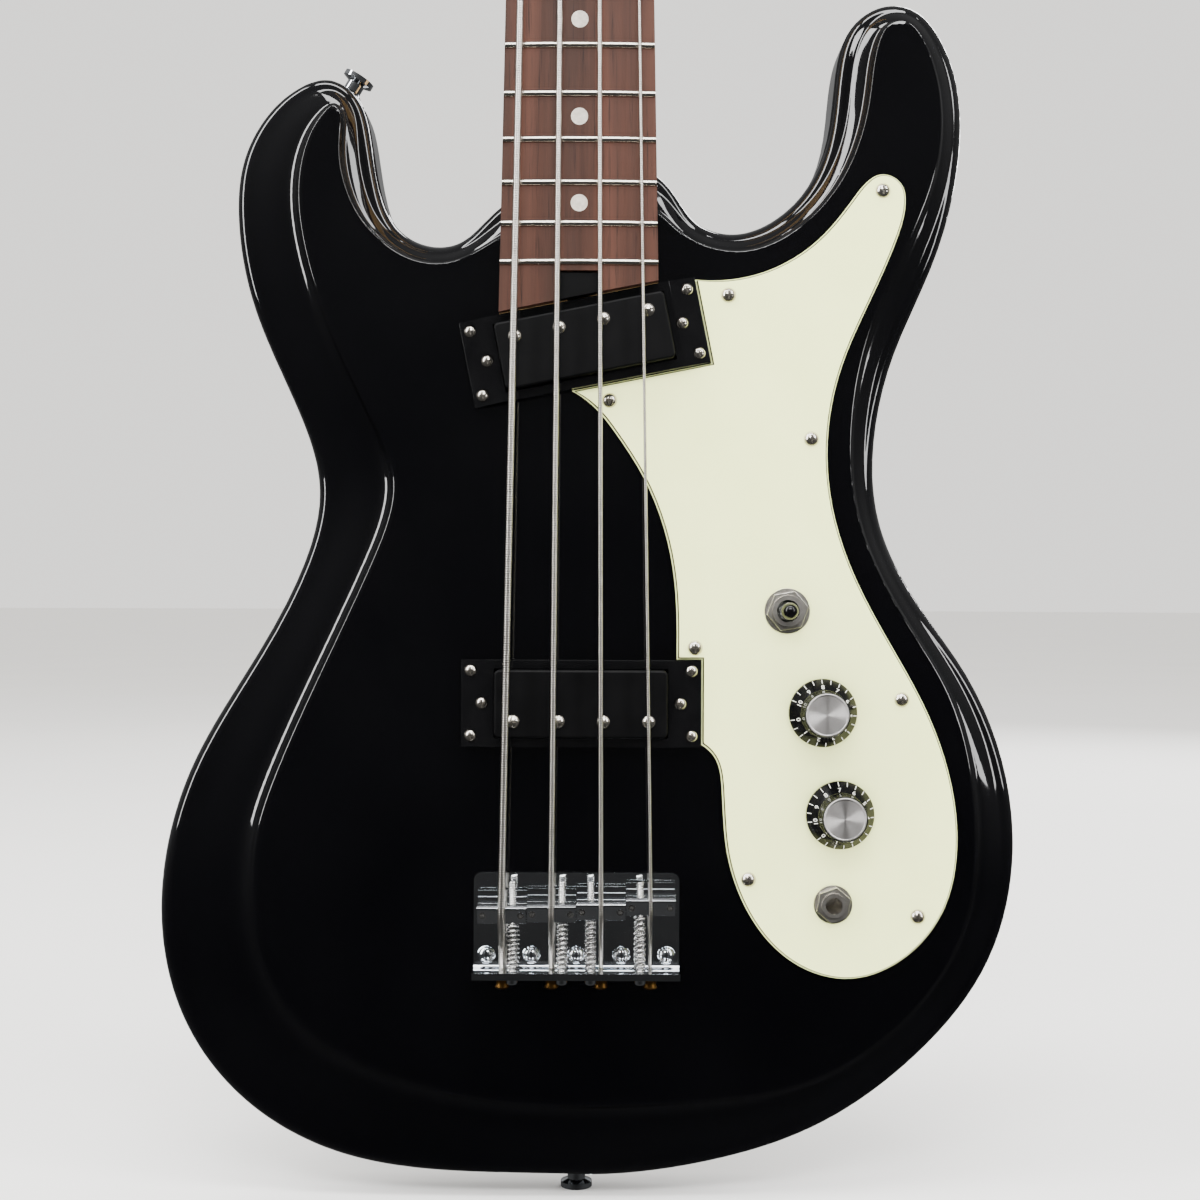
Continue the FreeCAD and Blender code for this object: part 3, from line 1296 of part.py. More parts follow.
def dot_tools():
    """Gives the drilled rounds of the position markers."""
    depth = size("dot_depth")
    spread = size("double_dot_spread")
    y = -(size("body_front") + board_top() - depth)
    tools = []
    for number in DOT_FRETS:
        z = (fret_z(number) + fret_z(number - 1)) / 2
        for x in (-spread, spread) if number == DOUBLE_DOT_FRET else (0.0,):
            spot = Vector(x, y, z)
            tools.append(Part.makeCylinder(size("dot_radius"), depth + OVER, spot, Vector(0, -1, 0)))
    return tools


def make_fretboard():
    """Makes the board with its curved top, and gives the plain board, the slotted board and the dots."""
    low = size("neck_rise")
    plan = board_plan(nut_z(), size("end_gap") + size("trim_gap"), 0.0)
    plain = prism(plan, low, board_top() + OVER)
    start = board_axis().add(Vector(0, 0, size("saddle_line")))
    curve = Part.makeCylinder(size("board_radius"), size("scale_length") + THROUGH, start, UP)
    plain = plain.common(curve)
    plain = plain.cut(prism(rod_cover_plan(-size("trim_gap")), low - OVER, board_top() + OVER))
    dots = [plain.common(tool) for tool in dot_tools()]
    slots = [fret_slot(number) for number in range(1, FRET_COUNT + 1)]
    return plain.cut(dot_tools() + slots), dots


def make_nut():
    """Makes the nut with a slot for each string."""
    z = nut_z()
    half = size("nut_width") / 2
    far = z + size("nut_thickness")
    plan = [(-half, z), (half, z), (half, far), (-half, far)]
    solid = prism(plan, size("neck_rise"), board_top() + size("nut_rise"))
    for name in STRINGS:
        x = string_x(name, "nut_spacing")
        radius = size("string_%s_radius" % name)
        low = board_top() + size("nut_action") - crown_drop(x) - size("nut_fit")
        wide = radius + size("nut_fit")
        slot = [(x - wide, z - OVER), (x + wide, z - OVER), (x + wide, far + OVER), (x - wide, far + OVER)]
        solid = solid.cut(prism(slot, low, THROUGH))
    return solid


def make_truss_rod():
    """Makes the truss rod with its round nut at the body end and a square anchor at the head end."""
    y = -(size("body_front") + size("neck_rise")) + size("rod_channel") / 2 + size("rod_slack")
    low = board_end_z(0.0, size("end_gap")) + size("rod_setback")
    high = nut_z() - size("rod_top") - 2 * OVER
    start = Vector(0, y, low)
    bar = Part.makeCylinder(size("rod_radius") - size("rod_neck"), high - low, start, UP)
    nut = Part.makeCylinder(size("rod_radius"), size("rod_nut"), start, UP)
    nut = nut.cut(Part.makeCylinder(size("rod_socket"), size("rod_socket_depth"), start, UP))
    side = 2 * size("rod_radius")
    anchor_low = high - size("rod_anchor")
    anchor = Part.makeBox(side, side, size("rod_anchor"), Vector(-side / 2, y - side / 2, anchor_low))
    return bar.fuse([nut, anchor]).removeSplitter()


own_node(shape_feature("neck_shape", make_neck()), "neck")
board_shape, dot_shapes = make_fretboard()
own_node(shape_feature("fretboard_shape", board_shape), "fretboard")
fret_shapes = [make_fret(number) for number in range(1, FRET_COUNT + 1)]
own_node(shape_feature("frets_shape", Part.makeCompound(fret_shapes)), "frets")
own_node(shape_feature("fret_markers_shape", Part.makeCompound(dot_shapes)), "fret_markers")
own_node(shape_feature("nut_shape", make_nut()), "nut")
own_node(shape_feature("truss_rod_shape", make_truss_rod()), "truss_rod")
cover_top = board_top() - size("rod_cover_sink")
cover_shape = prism(rod_cover_plan(size("trim_gap")), size("neck_rise"), cover_top)
own_node(shape_feature("truss_rod_cover_shape", cover_shape), "truss_rod_cover")


# Pickguard

def moved_in(points, shrink):
    """Moves the inner points of a run that goes clockwise round the pickguard towards its inside."""
    moved = [points[0]]
    for before, here, after in zip(points, points[1:], points[2:]):
        along = (after[0] - before[0], after[1] - before[1])
        step = shrink / math.hypot(*along)
        moved.append((here[0] + along[1] * step, here[1] - along[0] * step))
    return moved + [points[-1]]


def guard_wire(shrink):
    """Draws the pickguard's outline, with every edge moved inwards by shrink."""
    gap = size("trim_gap")
    half_length = size("surround_length") / 2 + gap + shrink
    half_width = size("surround_width") / 2 + gap
    start = neck_surround_point(half_length, half_width - GUARD_CORNER - shrink)
    corner = neck_surround_point(half_length, -half_width - shrink)
    tip = neck_surround_point(GUARD_TIP_ALONG + 2 * shrink, -half_width - shrink)
    side = size("bridge_pickup_x") + half_length
    low = size("bridge_pickup_z") - half_width + GUARD_CORNER + shrink
    high = size("bridge_pickup_z") + half_width + shrink
    foot = (size("bridge_pickup_x") + GUARD_INNER_FOOT + shrink, high)
    curve = from_neck_pickup(GUARD_HORN) + from_bridge_pickup(GUARD_BOUT)
    outer = moved_in([start] + curve + [(side, low)], shrink)
    curve = from_bridge_pickup(GUARD_INNER_LOW) + from_neck_pickup(GUARD_INNER_HIGH)
    inner = moved_in([foot] + curve + [tip], shrink)

    def spot(point):
        return Vector(point[0], -size("body_front"), point[1])

    edges = [
        smooth([spot(point) for point in outer]),
        Part.LineSegment(spot((side, low)), spot((side, high))).toShape(),
        Part.LineSegment(spot((side, high)), spot(foot)).toShape(),
        smooth([spot(point) for point in inner]),
        Part.LineSegment(spot(tip), spot(corner)).toShape(),
        Part.LineSegment(spot(corner), spot(start)).toShape(),
    ]
    return Part.Wire(edges)


def guard_ply(order):
    """Makes one ply of the pickguard, with its holes. Ply 0 lies on the body."""
    low = order * size("ply")
    face = Part.Face(guard_wire(order * size("ply_step")))
    ply = face.extrude(Vector(0, -size("ply"), 0))
    ply.translate(Vector(0, -low, 0))
    shank = size("guard_screw_head") * size("shank_share")
    holes = [(x, z, shank) for x, z in guard_screw_spots()]
    holes += [
        (size("switch_x"), size("switch_z"), size("switch_bushing")),
        (size("volume_x"), size("volume_z"), size("control_bushing")),
        (size("tone_x"), size("tone_z"), size("control_bushing")),
        (size("jack_x"), size("jack_z"), size("jack_sleeve")),
    ]
    drills = []
    for x, z, radius in holes:
        start = Vector(x, OVER - size("body_front"), z)
        drills.append(Part.makeCylinder(radius + size("screw_fit"), THROUGH, start, Vector(0, -1, 0)))
    return ply.cut(drills)


guard_top = 3 * size("ply")
face_plies = Part.makeCompound([guard_ply(0), guard_ply(2)])
own_node(shape_feature("pickguard_shape", face_plies), "pickguard")
own_node(shape_feature("pickguard_core_shape", guard_ply(1)), "pickguard_core")
guard_screw = wood_screw("guard_screw", "guard_screw_head")
node("pickguard_screws", [(guard_screw, front(x, z, guard_top)) for x, z in guard_screw_spots()])


# Pickups

surround_side = (
    ("-surround_length / 2", "0"),
    ("surround_length / 2", "0"),
    ("surround_length / 2", "surround_edge"),
    ("surround_length / 2 - surround_slope", "surround_height"),
    ("-surround_length / 2 + surround_slope", "surround_height"),
    ("-surround_length / 2", "surround_edge"),
)
surround_blank = padded(
    "surround_blank", "XZ_Plane", surround_side, "surround_width", "trim_gap", Vector(0, 1, 0)
)
opening = block(
    "surround_opening",
    "cover_length + trim_gap + trim_gap",
    "cover_width + trim_gap + trim_gap",
    "surround_height + 2",
    z=-1.0,
)
surround_holes = []
for side in (-1, 1):
    spots = [(size("surround_screw_x"), row * size("surround_screw_z"), "corner_seat") for row in (-1, 1)]
    spots.append((size("height_screw_x"), 0.0, "height_seat"))
    for x, y, seat in spots:
        hole = doc.addObject("Part::Cylinder", "surround_hole")
        hole.setExpression("Radius", "Sizes.surround_screw_head * Sizes.shank_share + Sizes.screw_fit")
        hole.setExpression("Height", "Sizes.surround_height + 2")
        surround_holes.append(place(hole, side * x, y, -1.0))
        rise = size(seat)
        wide = "surround_screw_head + screw_fit"
        surround_holes.append(rod("surround_seat", wide, "surround_height", side * x, y, rise))
surround = cut("surround", surround_blank, [opening] + surround_holes)


def rounded_cover(length, width, low, high, corner, top_round):
    """Makes a closed box with round upright corners and a rounded top edge."""
    solid = rounded_plate(length, width, high - low, corner)
    solid.translate(Vector(0, 0, low))
    rim = [edge for edge in solid.Edges if edge.BoundBox.ZMin > high - 1e-6]
    return solid.makeFillet(top_round, rim)


def pole_spots(side):
    """Gives the pole screws in the pickup's own frame; side says which long edge they are near."""
    return [(step * size("pole_pitch"), side * size("pole_offset")) for step in (-1.5, -0.5, 0.5, 1.5)]


def make_cover(side):
    """Makes the hollow cover of a pickup with its four pole holes."""
    wall = size("cover_wall")
    outer = rounded_cover(
        size("cover_length"),
        size("cover_width"),
        -size("cover_depth"),
        size("cover_height"),
        size("cover_round"),
        size("cover_top_round"),
    )
    inner = Part.makeBox(
        size("cover_length") - 2 * wall,
        size("cover_width") - 2 * wall,
        size("cover_height") - wall + size("cover_depth") + 1,
        Vector(-size("cover_length") / 2 + wall, -size("cover_width") / 2 + wall, -size("cover_depth") - 1),
    )
    solid = outer.cut(inner)
    for x, y in pole_spots(side):
        radius = size("pole_shank") + size("screw_fit")
        solid = solid.cut(Part.makeCylinder(radius, THROUGH, Vector(x, y, 0)))
    return solid


def inside_cover(gap):
    """Gives the length and width inside a pickup's cover, less a gap all round."""
    step = 2 * (size("cover_wall") + gap)
    return size("cover_length") - step, size("cover_width") - step


def slab(length, width, low, high):
    """Makes a box that is centred in x and y, between two heights."""
    return Part.makeBox(length, width, high - low, Vector(-length / 2, -width / 2, low))


def make_bobbin(side):
    """Makes the bobbin: two flanges, a core for the winding, pole holes, and ears for the height screws."""
    length, width = inside_cover(size("trim_gap"))
    flange = size("bobbin_flange")
    ear = size("bobbin_ear")
    low = -size("cover_depth")
    high = size("cover_height") - size("cover_wall") - size("pocket_fit")
    foot = slab(length, width, low, low + flange)
    top = slab(length, width, high - flange, high)
    core = slab(length - 2 * size("coil_wall"), width - 2 * size("coil_wall"), low, high)
    reach = size("height_screw_x") + size("bobbin_ear_reach")
    bar = slab(2 * reach, size("bobbin_ear_width"), low - ear, low)
    inner = slab(length - 2 * flange, size("bobbin_ear_width"), low - ear, low)
    ears = bar.cut(inner)
    solid = foot.fuse([top, core] + ears.Solids).removeSplitter()
    holes = [(x, y, size("pole_shank")) for x, y in pole_spots(side)]
    shank = size("surround_screw_head") * size("shank_share")
    holes += [(row * size("height_screw_x"), 0.0, shank) for row in (-1, 1)]
    for x, y, radius in holes:
        bottom = Vector(x, y, -THROUGH / 2)
        solid = solid.cut(Part.makeCylinder(radius + size("screw_fit"), THROUGH, bottom))
    return solid


def make_coil():
    """Makes the winding as a ring round the bobbin's core."""
    gap = size("pocket_fit")
    length, width = inside_cover(2 * size("trim_gap"))
    core_length, core_width = inside_cover(size("trim_gap") + size("coil_wall") - gap / 2)
    low = -size("cover_depth") + size("bobbin_flange") + gap
    high = size("cover_height") - size("cover_wall") - size("bobbin_flange") - 2 * gap
    outer = slab(length, width, low, high)
    uprights = [edge for edge in outer.Edges if abs(edge.tangentAt(edge.FirstParameter).z) > 0.999]
    outer = outer.makeFillet(size("coil_wall") * 0.7, uprights)
    return outer.cut(slab(core_length, core_width, low - OVER, high + OVER))


pole_dome = size("pole_head") * size("pole_share")
pole_ball = (size("pole_head") ** 2 + pole_dome ** 2) / (2 * pole_dome)
pole_cap = doc.addObject("Part::Sphere", "pole_cap")
pole_cap.Radius = pole_ball
pole_cap.Angle1 = math.degrees(math.asin((pole_ball - pole_dome) / pole_ball))
pole_cap.Angle2 = 90.0
place(pole_cap, 0, 0, pole_dome - pole_ball)
pole_length = "cover_height + cover_depth"
pole_stem = rod("pole_stem", "pole_shank", pole_length, z=-amount(pole_length))
slot_length = "pole_head + pole_head + screw_fit"
pole_slot = block("pole_slot", slot_length, "pole_head / 4", "pole_head", z=pole_dome * 0.4)
pole_screw = cut("pole_screw", fuse("pole_solid", [pole_cap, pole_stem]), [pole_slot])
surround_screw = wood_screw("surround_screw", "surround_screw_head")

neck_spot = (size("neck_pickup_x"), size("neck_pickup_z"), size("neck_pickup_turn"))
bridge_spot = (size("bridge_pickup_x"), size("bridge_pickup_z"), 0.0)
pickups = (("neck", neck_spot, 1.0), ("bridge", bridge_spot, -1.0))


def on_pickup(spot, x, y, height):
    """Gives a place on a pickup from its own coordinates."""
    turn = math.radians(spot[2])
    plan_x = spot[0] + x * math.cos(turn) - y * math.sin(turn)
    plan_z = spot[1] + x * math.sin(turn) + y * math.cos(turn)
    return front(plan_x, plan_z, height, spot[2])


def make_height_spring(index):
    """Makes the spring between the surround's underside and the pickup's ear, standing on z = 0."""
    length = size("cover_depth") - 2 * size("trim_gap")
    return spring(
        "height spring %d" % index,
        Vector(0, 0, -size("cover_depth") + size("trim_gap")),
        UP,
        Vector(1, 0, 0),
        size("height_spring_radius"),
        size("height_spring_wire"),
        length,
        size("height_spring_turns"),
    )


pole_pieces, corner_pieces, height_pieces, height_springs = [], [], [], []
bobbins, coils, magnets = [], [], []
height_spring = shape_feature("height_spring", make_height_spring(1))
magnet_length = "pole_pitch + pole_pitch + pole_pitch + magnet_end + magnet_end"
magnet = block("magnet", magnet_length, "magnet_row - 1", "magnet_thickness")
coil = shape_feature("coil", make_coil())
for name, spot, side in pickups:
    node(name + "_pickup_surround", [(surround, front(*spot[:2], 0.0, spot[2]))])
    cover = shape_feature(name + "_cover", make_cover(side))
    node(name + "_pickup_cover", [(cover, front(*spot[:2], 0.0, spot[2]))])
    bobbin = shape_feature(name + "_bobbin", make_bobbin(side))
    bobbins.append((bobbin, front(*spot[:2], 0.0, spot[2])))
    coils.append((coil, front(*spot[:2], 0.0, spot[2])))
    under = -size("cover_depth") - size("magnet_thickness")
    for row in (-1, 1):
        y = side * size("pole_offset") + row * size("magnet_row")
        magnets.append((magnet, on_pickup(spot, 0.0, y, under)))
    for x, y in pole_spots(side):
        pole_pieces.append((pole_screw, on_pickup(spot, x, y, size("cover_height"))))
    for x in (-size("surround_screw_x"), size("surround_screw_x")):
        for y in (-size("surround_screw_z"), size("surround_screw_z")):
            corner_pieces.append((surround_screw, on_pickup(spot, x, y, size("corner_seat"))))
    for x in (-size("height_screw_x"), size("height_screw_x")):
        height_pieces.append((surround_screw, on_pickup(spot, x, 0.0, size("height_seat"))))
        height_springs.append((height_spring, on_pickup(spot, x, 0.0, 0.0)))
node("pole_screws", pole_pieces)
node("surround_screws", corner_pieces)
node("pickup_height_screws", height_pieces)
node("pickup_height_springs", height_springs)
node("pickup_bobbins", bobbins)
node("pickup_coils", coils)
node("pickup_magnets", magnets)


# Bridge

def make_bridge_plate():
    """Makes the bent plate: a flat base with round front corners, the rear wall and their holes."""
    half = size("bridge_width") / 2
    low = size("saddle_line") - size("bridge_rear")
    high = size("saddle_line") + size("bridge_front")
    base = prism([(-half, low), (half, low), (half, high), (-half, high)], 0.0, size("bridge_thickness"))
    ends = [
        edge
        for edge in base.Edges
        if abs(edge.tangentAt(edge.FirstParameter).y) > 0.999 and edge.BoundBox.ZMin > high - OVER
    ]
    base = base.makeFillet(size("bridge_corner"), ends)
    wall_top = low + size("bridge_wall")
    wall = prism(
        [(-half, low), (half, low), (half, wall_top), (-half, wall_top)], 0.0, size("bridge_wall_height")
    )
    solid = base.fuse(wall).removeSplitter()
    inner = (wall_top, -size("body_front") - size("bridge_thickness"))
    outer = (low, -size("body_front"))
    bends = []
    for edge in solid.Edges:
        box = edge.BoundBox
        along = abs(edge.tangentAt(edge.FirstParameter).x) > 0.999 and edge.Length > half
        if along and any(math.hypot(box.ZMin - z, box.YMin - y) < 1e-6 for z, y in (inner, outer)):
            bends.append(edge)
    solid = solid.makeFillet(size("bridge_thickness") * 0.7, bends)
    screw_bore = size("intonation_radius") + size("running_fit")
    for name in STRINGS:
        for x, height, radius in (
            (string_x(name, "saddle_spacing"), size("anchor_height"), size("anchor_hole")),
            (intonation_x(name), size("intonation_height"), screw_bore),
        ):
            hole = Vector(x, -(size("body_front") + height), low - OVER)
            solid = solid.cut(Part.makeCylinder(radius, size("bridge_wall") + 2 * OVER, hole, UP))
    lift = Vector(0, -2 * size("bridge_thickness"), 0)
    for x, z in bridge_screw_spots():
        solid = solid.cut(screw_hole("bridge_screw_head", x, z).translated(lift))
    return solid


def saddle_top(name):
    """Gives the height of a saddle's ridge, just under its string."""
    return size("saddle_height") - crown_drop(string_x(name, "saddle_spacing")) - size("saddle_clear")


def make_saddle(name):
    """Makes a stepped saddle: two low steps towards the neck, a ridge, and a body that falls away."""
    z = saddle_z(name)
    top = saddle_top(name)
    low = size("saddle_base")
    step = size("saddle_step")
    width = size("saddle_spacing") - size("saddle_gap")
    middle = string_x(name, "saddle_spacing")
    lip = size("saddle_lip")
    rise = size("saddle_step_rise")
    rear = z - size("saddle_body")
    outline = [
        (rear, low),
        (z + lip + 2 * step, low),
        (z + lip + 2 * step, low + rise),
        (z + lip + step, low + rise),
        (z + lip + step, low + 2 * rise),
        (z + lip, low + 2 * rise),
        (z + lip, top - lip),
        (z, top),
        (z - lip, top),
        (rear, top - size("saddle_fall")),
    ]
    y = -size("body_front")
    corners = [Vector(middle - width / 2, y - h, spot) for spot, h in outline]
    solid = Part.Face(Part.makePolygon(corners + corners[:1])).extrude(Vector(width, 0, 0))
    radius = size("intonation_radius") + size("running_fit")
    bore = Vector(intonation_x(name), y - size("intonation_height"), rear - OVER)
    solid = solid.cut(Part.makeCylinder(radius, THROUGH, bore, UP))
    radius = size("grub_radius") + size("screw_fit")
    for x in grub_spots(name):
        spot = Vector(x, y, grub_z(name))
        solid = solid.cut(Part.makeCylinder(radius, THROUGH, spot, Vector(0, -1, 0)))
    return solid


def grub_spots(name):
    """Gives the two height screws of a saddle across the strings."""
    reach = (size("saddle_spacing") - size("saddle_gap")) / 2 - size("grub_inset")
    middle = string_x(name, "saddle_spacing")
    return [middle - reach, middle + reach]


def grub_z(name):
    """Gives the height screws' place along the strings."""
    return saddle_z(name) - size("grub_back")


def make_grub(name, x):
    """Makes one saddle height screw with its hexagonal socket, standing on the bridge plate."""
    low = size("bridge_thickness") + size("running_fit")
    high = saddle_top(name) - size("grub_sink")
    base = Vector(x, -(size("body_front") + low), grub_z(name))
    pin = Part.makeCylinder(size("grub_radius"), high - low, base, Vector(0, -1, 0))
    reach = size("grub_socket")
    socket = []
    for corner in range(6):
        angle = math.radians(60 * corner)
        socket.append((x + reach * math.cos(angle), grub_z(name) + reach * math.sin(angle)))
    return pin.cut(prism(socket, high - size("grub_socket_depth"), THROUGH))


def make_intonation_screw(name):
    """Makes an intonation screw: a domed head behind the rear wall and a shank through the saddle."""
    seat = size("saddle_line") - size("bridge_rear") - size("running_fit")
    tall = size("intonation_head_height")
    axis = Vector(intonation_x(name), -(size("body_front") + size("intonation_height")), 0)
    length = size("saddle_line") + size("intonation_end") - seat
    shank = Part.makeCylinder(size("intonation_radius"), length, axis.add(Vector(0, 0, seat)), UP)
    head = Part.makeCylinder(size("intonation_head"), tall, axis.add(Vector(0, 0, seat - tall)), UP)
    rim = [edge for edge in head.Edges if edge.BoundBox.ZMax < seat - tall / 2]
    head = head.makeFillet(size("intonation_head_round"), rim)
    wide = size("intonation_slot")
    long = size("intonation_slot_length")
    deep = size("intonation_slot_depth")
    slots = []
    for turn in (0.0, 90.0):
        arm = slab(wide, long, -OVER, deep)
        arm.rotate(Vector(), UP, turn)
        arm.translate(axis.add(Vector(0, 0, seat - tall)))
        slots.append(arm)
    return shank.fuse(head).removeSplitter().cut(slots[0].fuse(slots[1]))


def make_intonation_spring(name):
    """Makes the spring between the rear wall and the saddle."""
    low = size("saddle_line") - size("bridge_rear") + size("bridge_wall") + size("trim_gap")
    high = saddle_z(name) - size("saddle_body") - size("trim_gap")
    start = Vector(intonation_x(name), -(size("body_front") + size("intonation_height")), low)
    return spring(
        "intonation spring " + name,
        start,
        UP,
        Vector(1, 0, 0),
        size("spring_radius"),
        size("spring_wire"),
        high - low,
        size("spring_turns"),
    )


own_node(shape_feature("bridge_plate_shape", make_bridge_plate()), "bridge_plate")
bridge_screw = wood_screw("bridge_screw", "bridge_screw_head")
bridge_seat = size("bridge_thickness")
node("bridge_screws", [(bridge_screw, front(x, z, bridge_seat)) for x, z in bridge_screw_spots()])
for name in STRINGS:
    pieces = [make_saddle(name)] + [make_grub(name, x) for x in grub_spots(name)]
    own_node(shape_feature("saddle_%s_shape" % name, Part.makeCompound(pieces)), "saddle_" + name)
    screw_shape = make_intonation_screw(name)
    own_node(shape_feature("intonation_screw_%s_shape" % name, screw_shape), "intonation_screw_" + name)
springs = Part.makeCompound([make_intonation_spring(name) for name in STRINGS])
own_node(shape_feature("intonation_springs_shape", springs), "intonation_springs")


# Strings

def winding_start(name):
    """Gives where a string meets its post: height, winding radius and pitch."""
    radius = size("string_%s_radius" % name)
    pitch = 2 * radius + size("winding_gap")
    turns = size("winding_turns")
    low = headstock_front() + size("bushing_height") + size("winding_lift") + radius
    return low + pitch * turns, size("post_radius") + size("post_gap") + radius, pitch, turns


def string_route(name):
    """Gives the corner points of a string from its ball end to the run into its post, and their radii."""
    radius = size("string_%s_radius" % name)
    x_saddle = string_x(name, "saddle_spacing")
    x_nut = string_x(name, "nut_spacing")
    front_y = size("body_front")
    top = size("saddle_height") - crown_drop(x_saddle) + radius
    nut_height = board_top() + size("nut_action") - crown_drop(x_nut) + radius
    wall = size("saddle_line") - size("bridge_rear")
    anchor_y = -(front_y + size("anchor_height"))
    anchor = Vector(x_saddle, anchor_y, wall - size("ball_gap"))
    leave = Vector(x_saddle, anchor_y, wall + size("bridge_wall") + size("anchor_run"))
    bend = Vector(x_saddle, -(front_y + top), saddle_z(name) - size("saddle_bend"))
    nut = Vector(x_nut, -(front_y + nut_height), nut_z() + size("nut_thickness") - size("nut_setback"))
    height, reach, pitch, turns = winding_start(name)
    post_x, post_z = post_spot(name)
    meet = Vector(post_x + reach, -(front_y + height), post_z)
    slope = Vector(0, pitch, 2 * math.pi * reach).normalize()
    before = meet.sub(Vector(slope).multiply(size("winding_lead")))
    points = [anchor, leave, bend, nut]
    radii = [BEND_WALL, BEND_SADDLE, BEND_NUT]
    if name in TREE_STRINGS:
        under = headstock_front() + size("tree_height") - size("trim_gap") - radius
        for side in (-1, 1):
            z = tree_spot()[1] + side * size("tree_radius")
            share = (z - nut.z) / (before.z - nut.z)
            points.append(Vector(x_nut + (before.x - x_nut) * share, -(front_y + under), z))
            radii.append(BEND_TREE)
    points.append(before)
    radii.append(BEND_POST)
    return points + [meet], radii


def make_string(name):
    """Sweeps one string from its ball end over the saddle and the nut, and round its post."""
    radius = size("string_%s_radius" % name)
    points, radii = string_route(name)
    height, reach, pitch, turns = winding_start(name)
    post_x, post_z = post_spot(name)
    centre = Vector(post_x, -(size("body_front") + height), post_z)
    inward = Vector(0, 1, 0)
    outward = Vector(1, 0, 0)
    marks, headings = helix(centre, inward, outward, reach, pitch, turns, -1)
    edges = route_edges(points, radii) + helix_edges(marks, headings)
    tail = marks[-1].add(Vector(headings[-1]).multiply(2 * radius))
    edges.append(Part.LineSegment(marks[-1], tail).toShape())
    turn_points = sampled(centre, inward, outward, reach, pitch, turns, -1)
    report_gap("winding of string " + name, turn_points, radius, 24)
    core = tube(edges, radius)
    ball_start = points[0].sub(Vector(0, 0, size("ball_length")))
    ball = Part.makeCylinder(size("ball_radius"), size("ball_length"), ball_start, UP)
    rims = [edge for edge in ball.Edges if edge.Curve.TypeId == "Part::GeomCircle"]
    ball = ball.makeFillet(size("ball_round"), rims)
    return Part.makeCompound([core, ball])


for name in STRINGS:
    own_node(shape_feature("string_%s_shape" % name, make_string(name)), "string_" + name)


# Tuners, in a frame whose Z points at the viewer and starts on the headstock's face

def on_head(x, z, height=0.0):
    """Gives a place on the headstock's face."""
    return front(x, z, headstock_front() + height)


back_level = -size("head_thickness")
bushing_body = turned(
    "bushing",
    (
        ("post_radius + running_fit", "bushing_height"),
        ("bushing_radius - bushing_wall", "bushing_height"),
        ("bushing_radius", "bushing_height / 2"),
        ("bushing_radius", "0"),
        ("post_radius + running_fit + bushing_wall", "0"),
        ("post_radius + running_fit + bushing_wall", "-head_thickness + bushing_end"),
        ("post_radius + running_fit", "-head_thickness + bushing_end"),
    ),
)
post_blank = turned(
    "post_blank",
    (
        ("0", "post_height"),
        ("post_radius - bushing_wall / 4", "post_height"),
        ("post_radius", "post_height - bushing_wall / 4"),
        ("post_radius", "-head_thickness - tuner_plate_thickness - gear_thickness - post_end"),
        ("0", "-head_thickness - tuner_plate_thickness - gear_thickness - post_end"),
    ),
)
slot_length = "post_radius + post_radius + 2"
slot_level = size("post_height") - size("post_radius")
post_slot = block("post_slot", slot_length, "post_radius / 1.6", "post_radius + 1", z=slot_level)
post = cut("post", post_blank, [post_slot])


def make_gear():
    """Makes the toothed wheel on the post's lower end, with a bore that grips the post."""
    tip = size("gear_radius")
    root = tip - size("gear_tooth")
    teeth = int(size("gear_teeth"))
    corners = []
    for tooth in range(teeth):
        for share, radius in ((-0.25, root), (-0.12, tip), (0.12, tip), (0.25, root)):
            angle = 2 * math.pi * (tooth + share) / teeth
            corners.append(Vector(radius * math.cos(angle), radius * math.sin(angle), 0))
    thick = Vector(0, 0, -size("gear_thickness"))
    wheel = Part.Face(Part.makePolygon(corners + corners[:1])).extrude(thick)
    bore = size("post_radius") + size("gear_fit")
    return wheel.cut(Part.makeCylinder(bore, THROUGH, Vector(0, 0, -THROUGH / 2)))


def key_axis():
    """Gives the height of the key's shaft."""
    return back_level - size("tuner_plate_thickness") - size("gear_lift") - size("gear_thickness") / 2


def make_tuner_plate():
    """Makes the plate behind the headstock with two ears that carry the key's shaft."""
    thick = size("tuner_plate_thickness")
    width = size("tuner_plate_width")
    length = size("tuner_plate_length")
    drop = worm_drop()
    plate = rounded_plate(width, length, thick, size("tuner_plate_corner"))
    plate.translate(Vector(0, -drop / 2, back_level - thick))
    half = size("tuner_ear_half")
    ear_low = key_axis() - half
    ear_place = width / 2 - size("tuner_ear_inset") - size("tuner_ear") / 2
    ears = []
    for side in (-1, 1):
        ear = slab(size("tuner_ear"), 2 * half, ear_low, back_level - thick)
        ears.append(ear.translated(Vector(side * ear_place, -drop, 0)))
    solid = plate.fuse(ears)
    run = Vector(-width, -drop, key_axis())
    bore = size("key_shaft_radius") + size("running_fit")
    solid = solid.cut(Part.makeCylinder(bore, 2 * width, run, Vector(1, 0, 0)))
    across = width / 2 - size("tuner_screw_inset")
    along = length / 2 - size("tuner_screw_inset")
    shank = size("tuner_screw_head") * size("shank_share") + size("screw_fit")
    holes = [(i * across, k * along - drop / 2, shank) for i in (-1, 1) for k in (-1, 1)]
    holes.append((0.0, 0.0, bushing_bore()))
    for x, y, radius in holes:
        bottom = Vector(x, y, back_level - THROUGH / 2)
        solid = solid.cut(Part.makeCylinder(radius, THROUGH, bottom))
    return solid


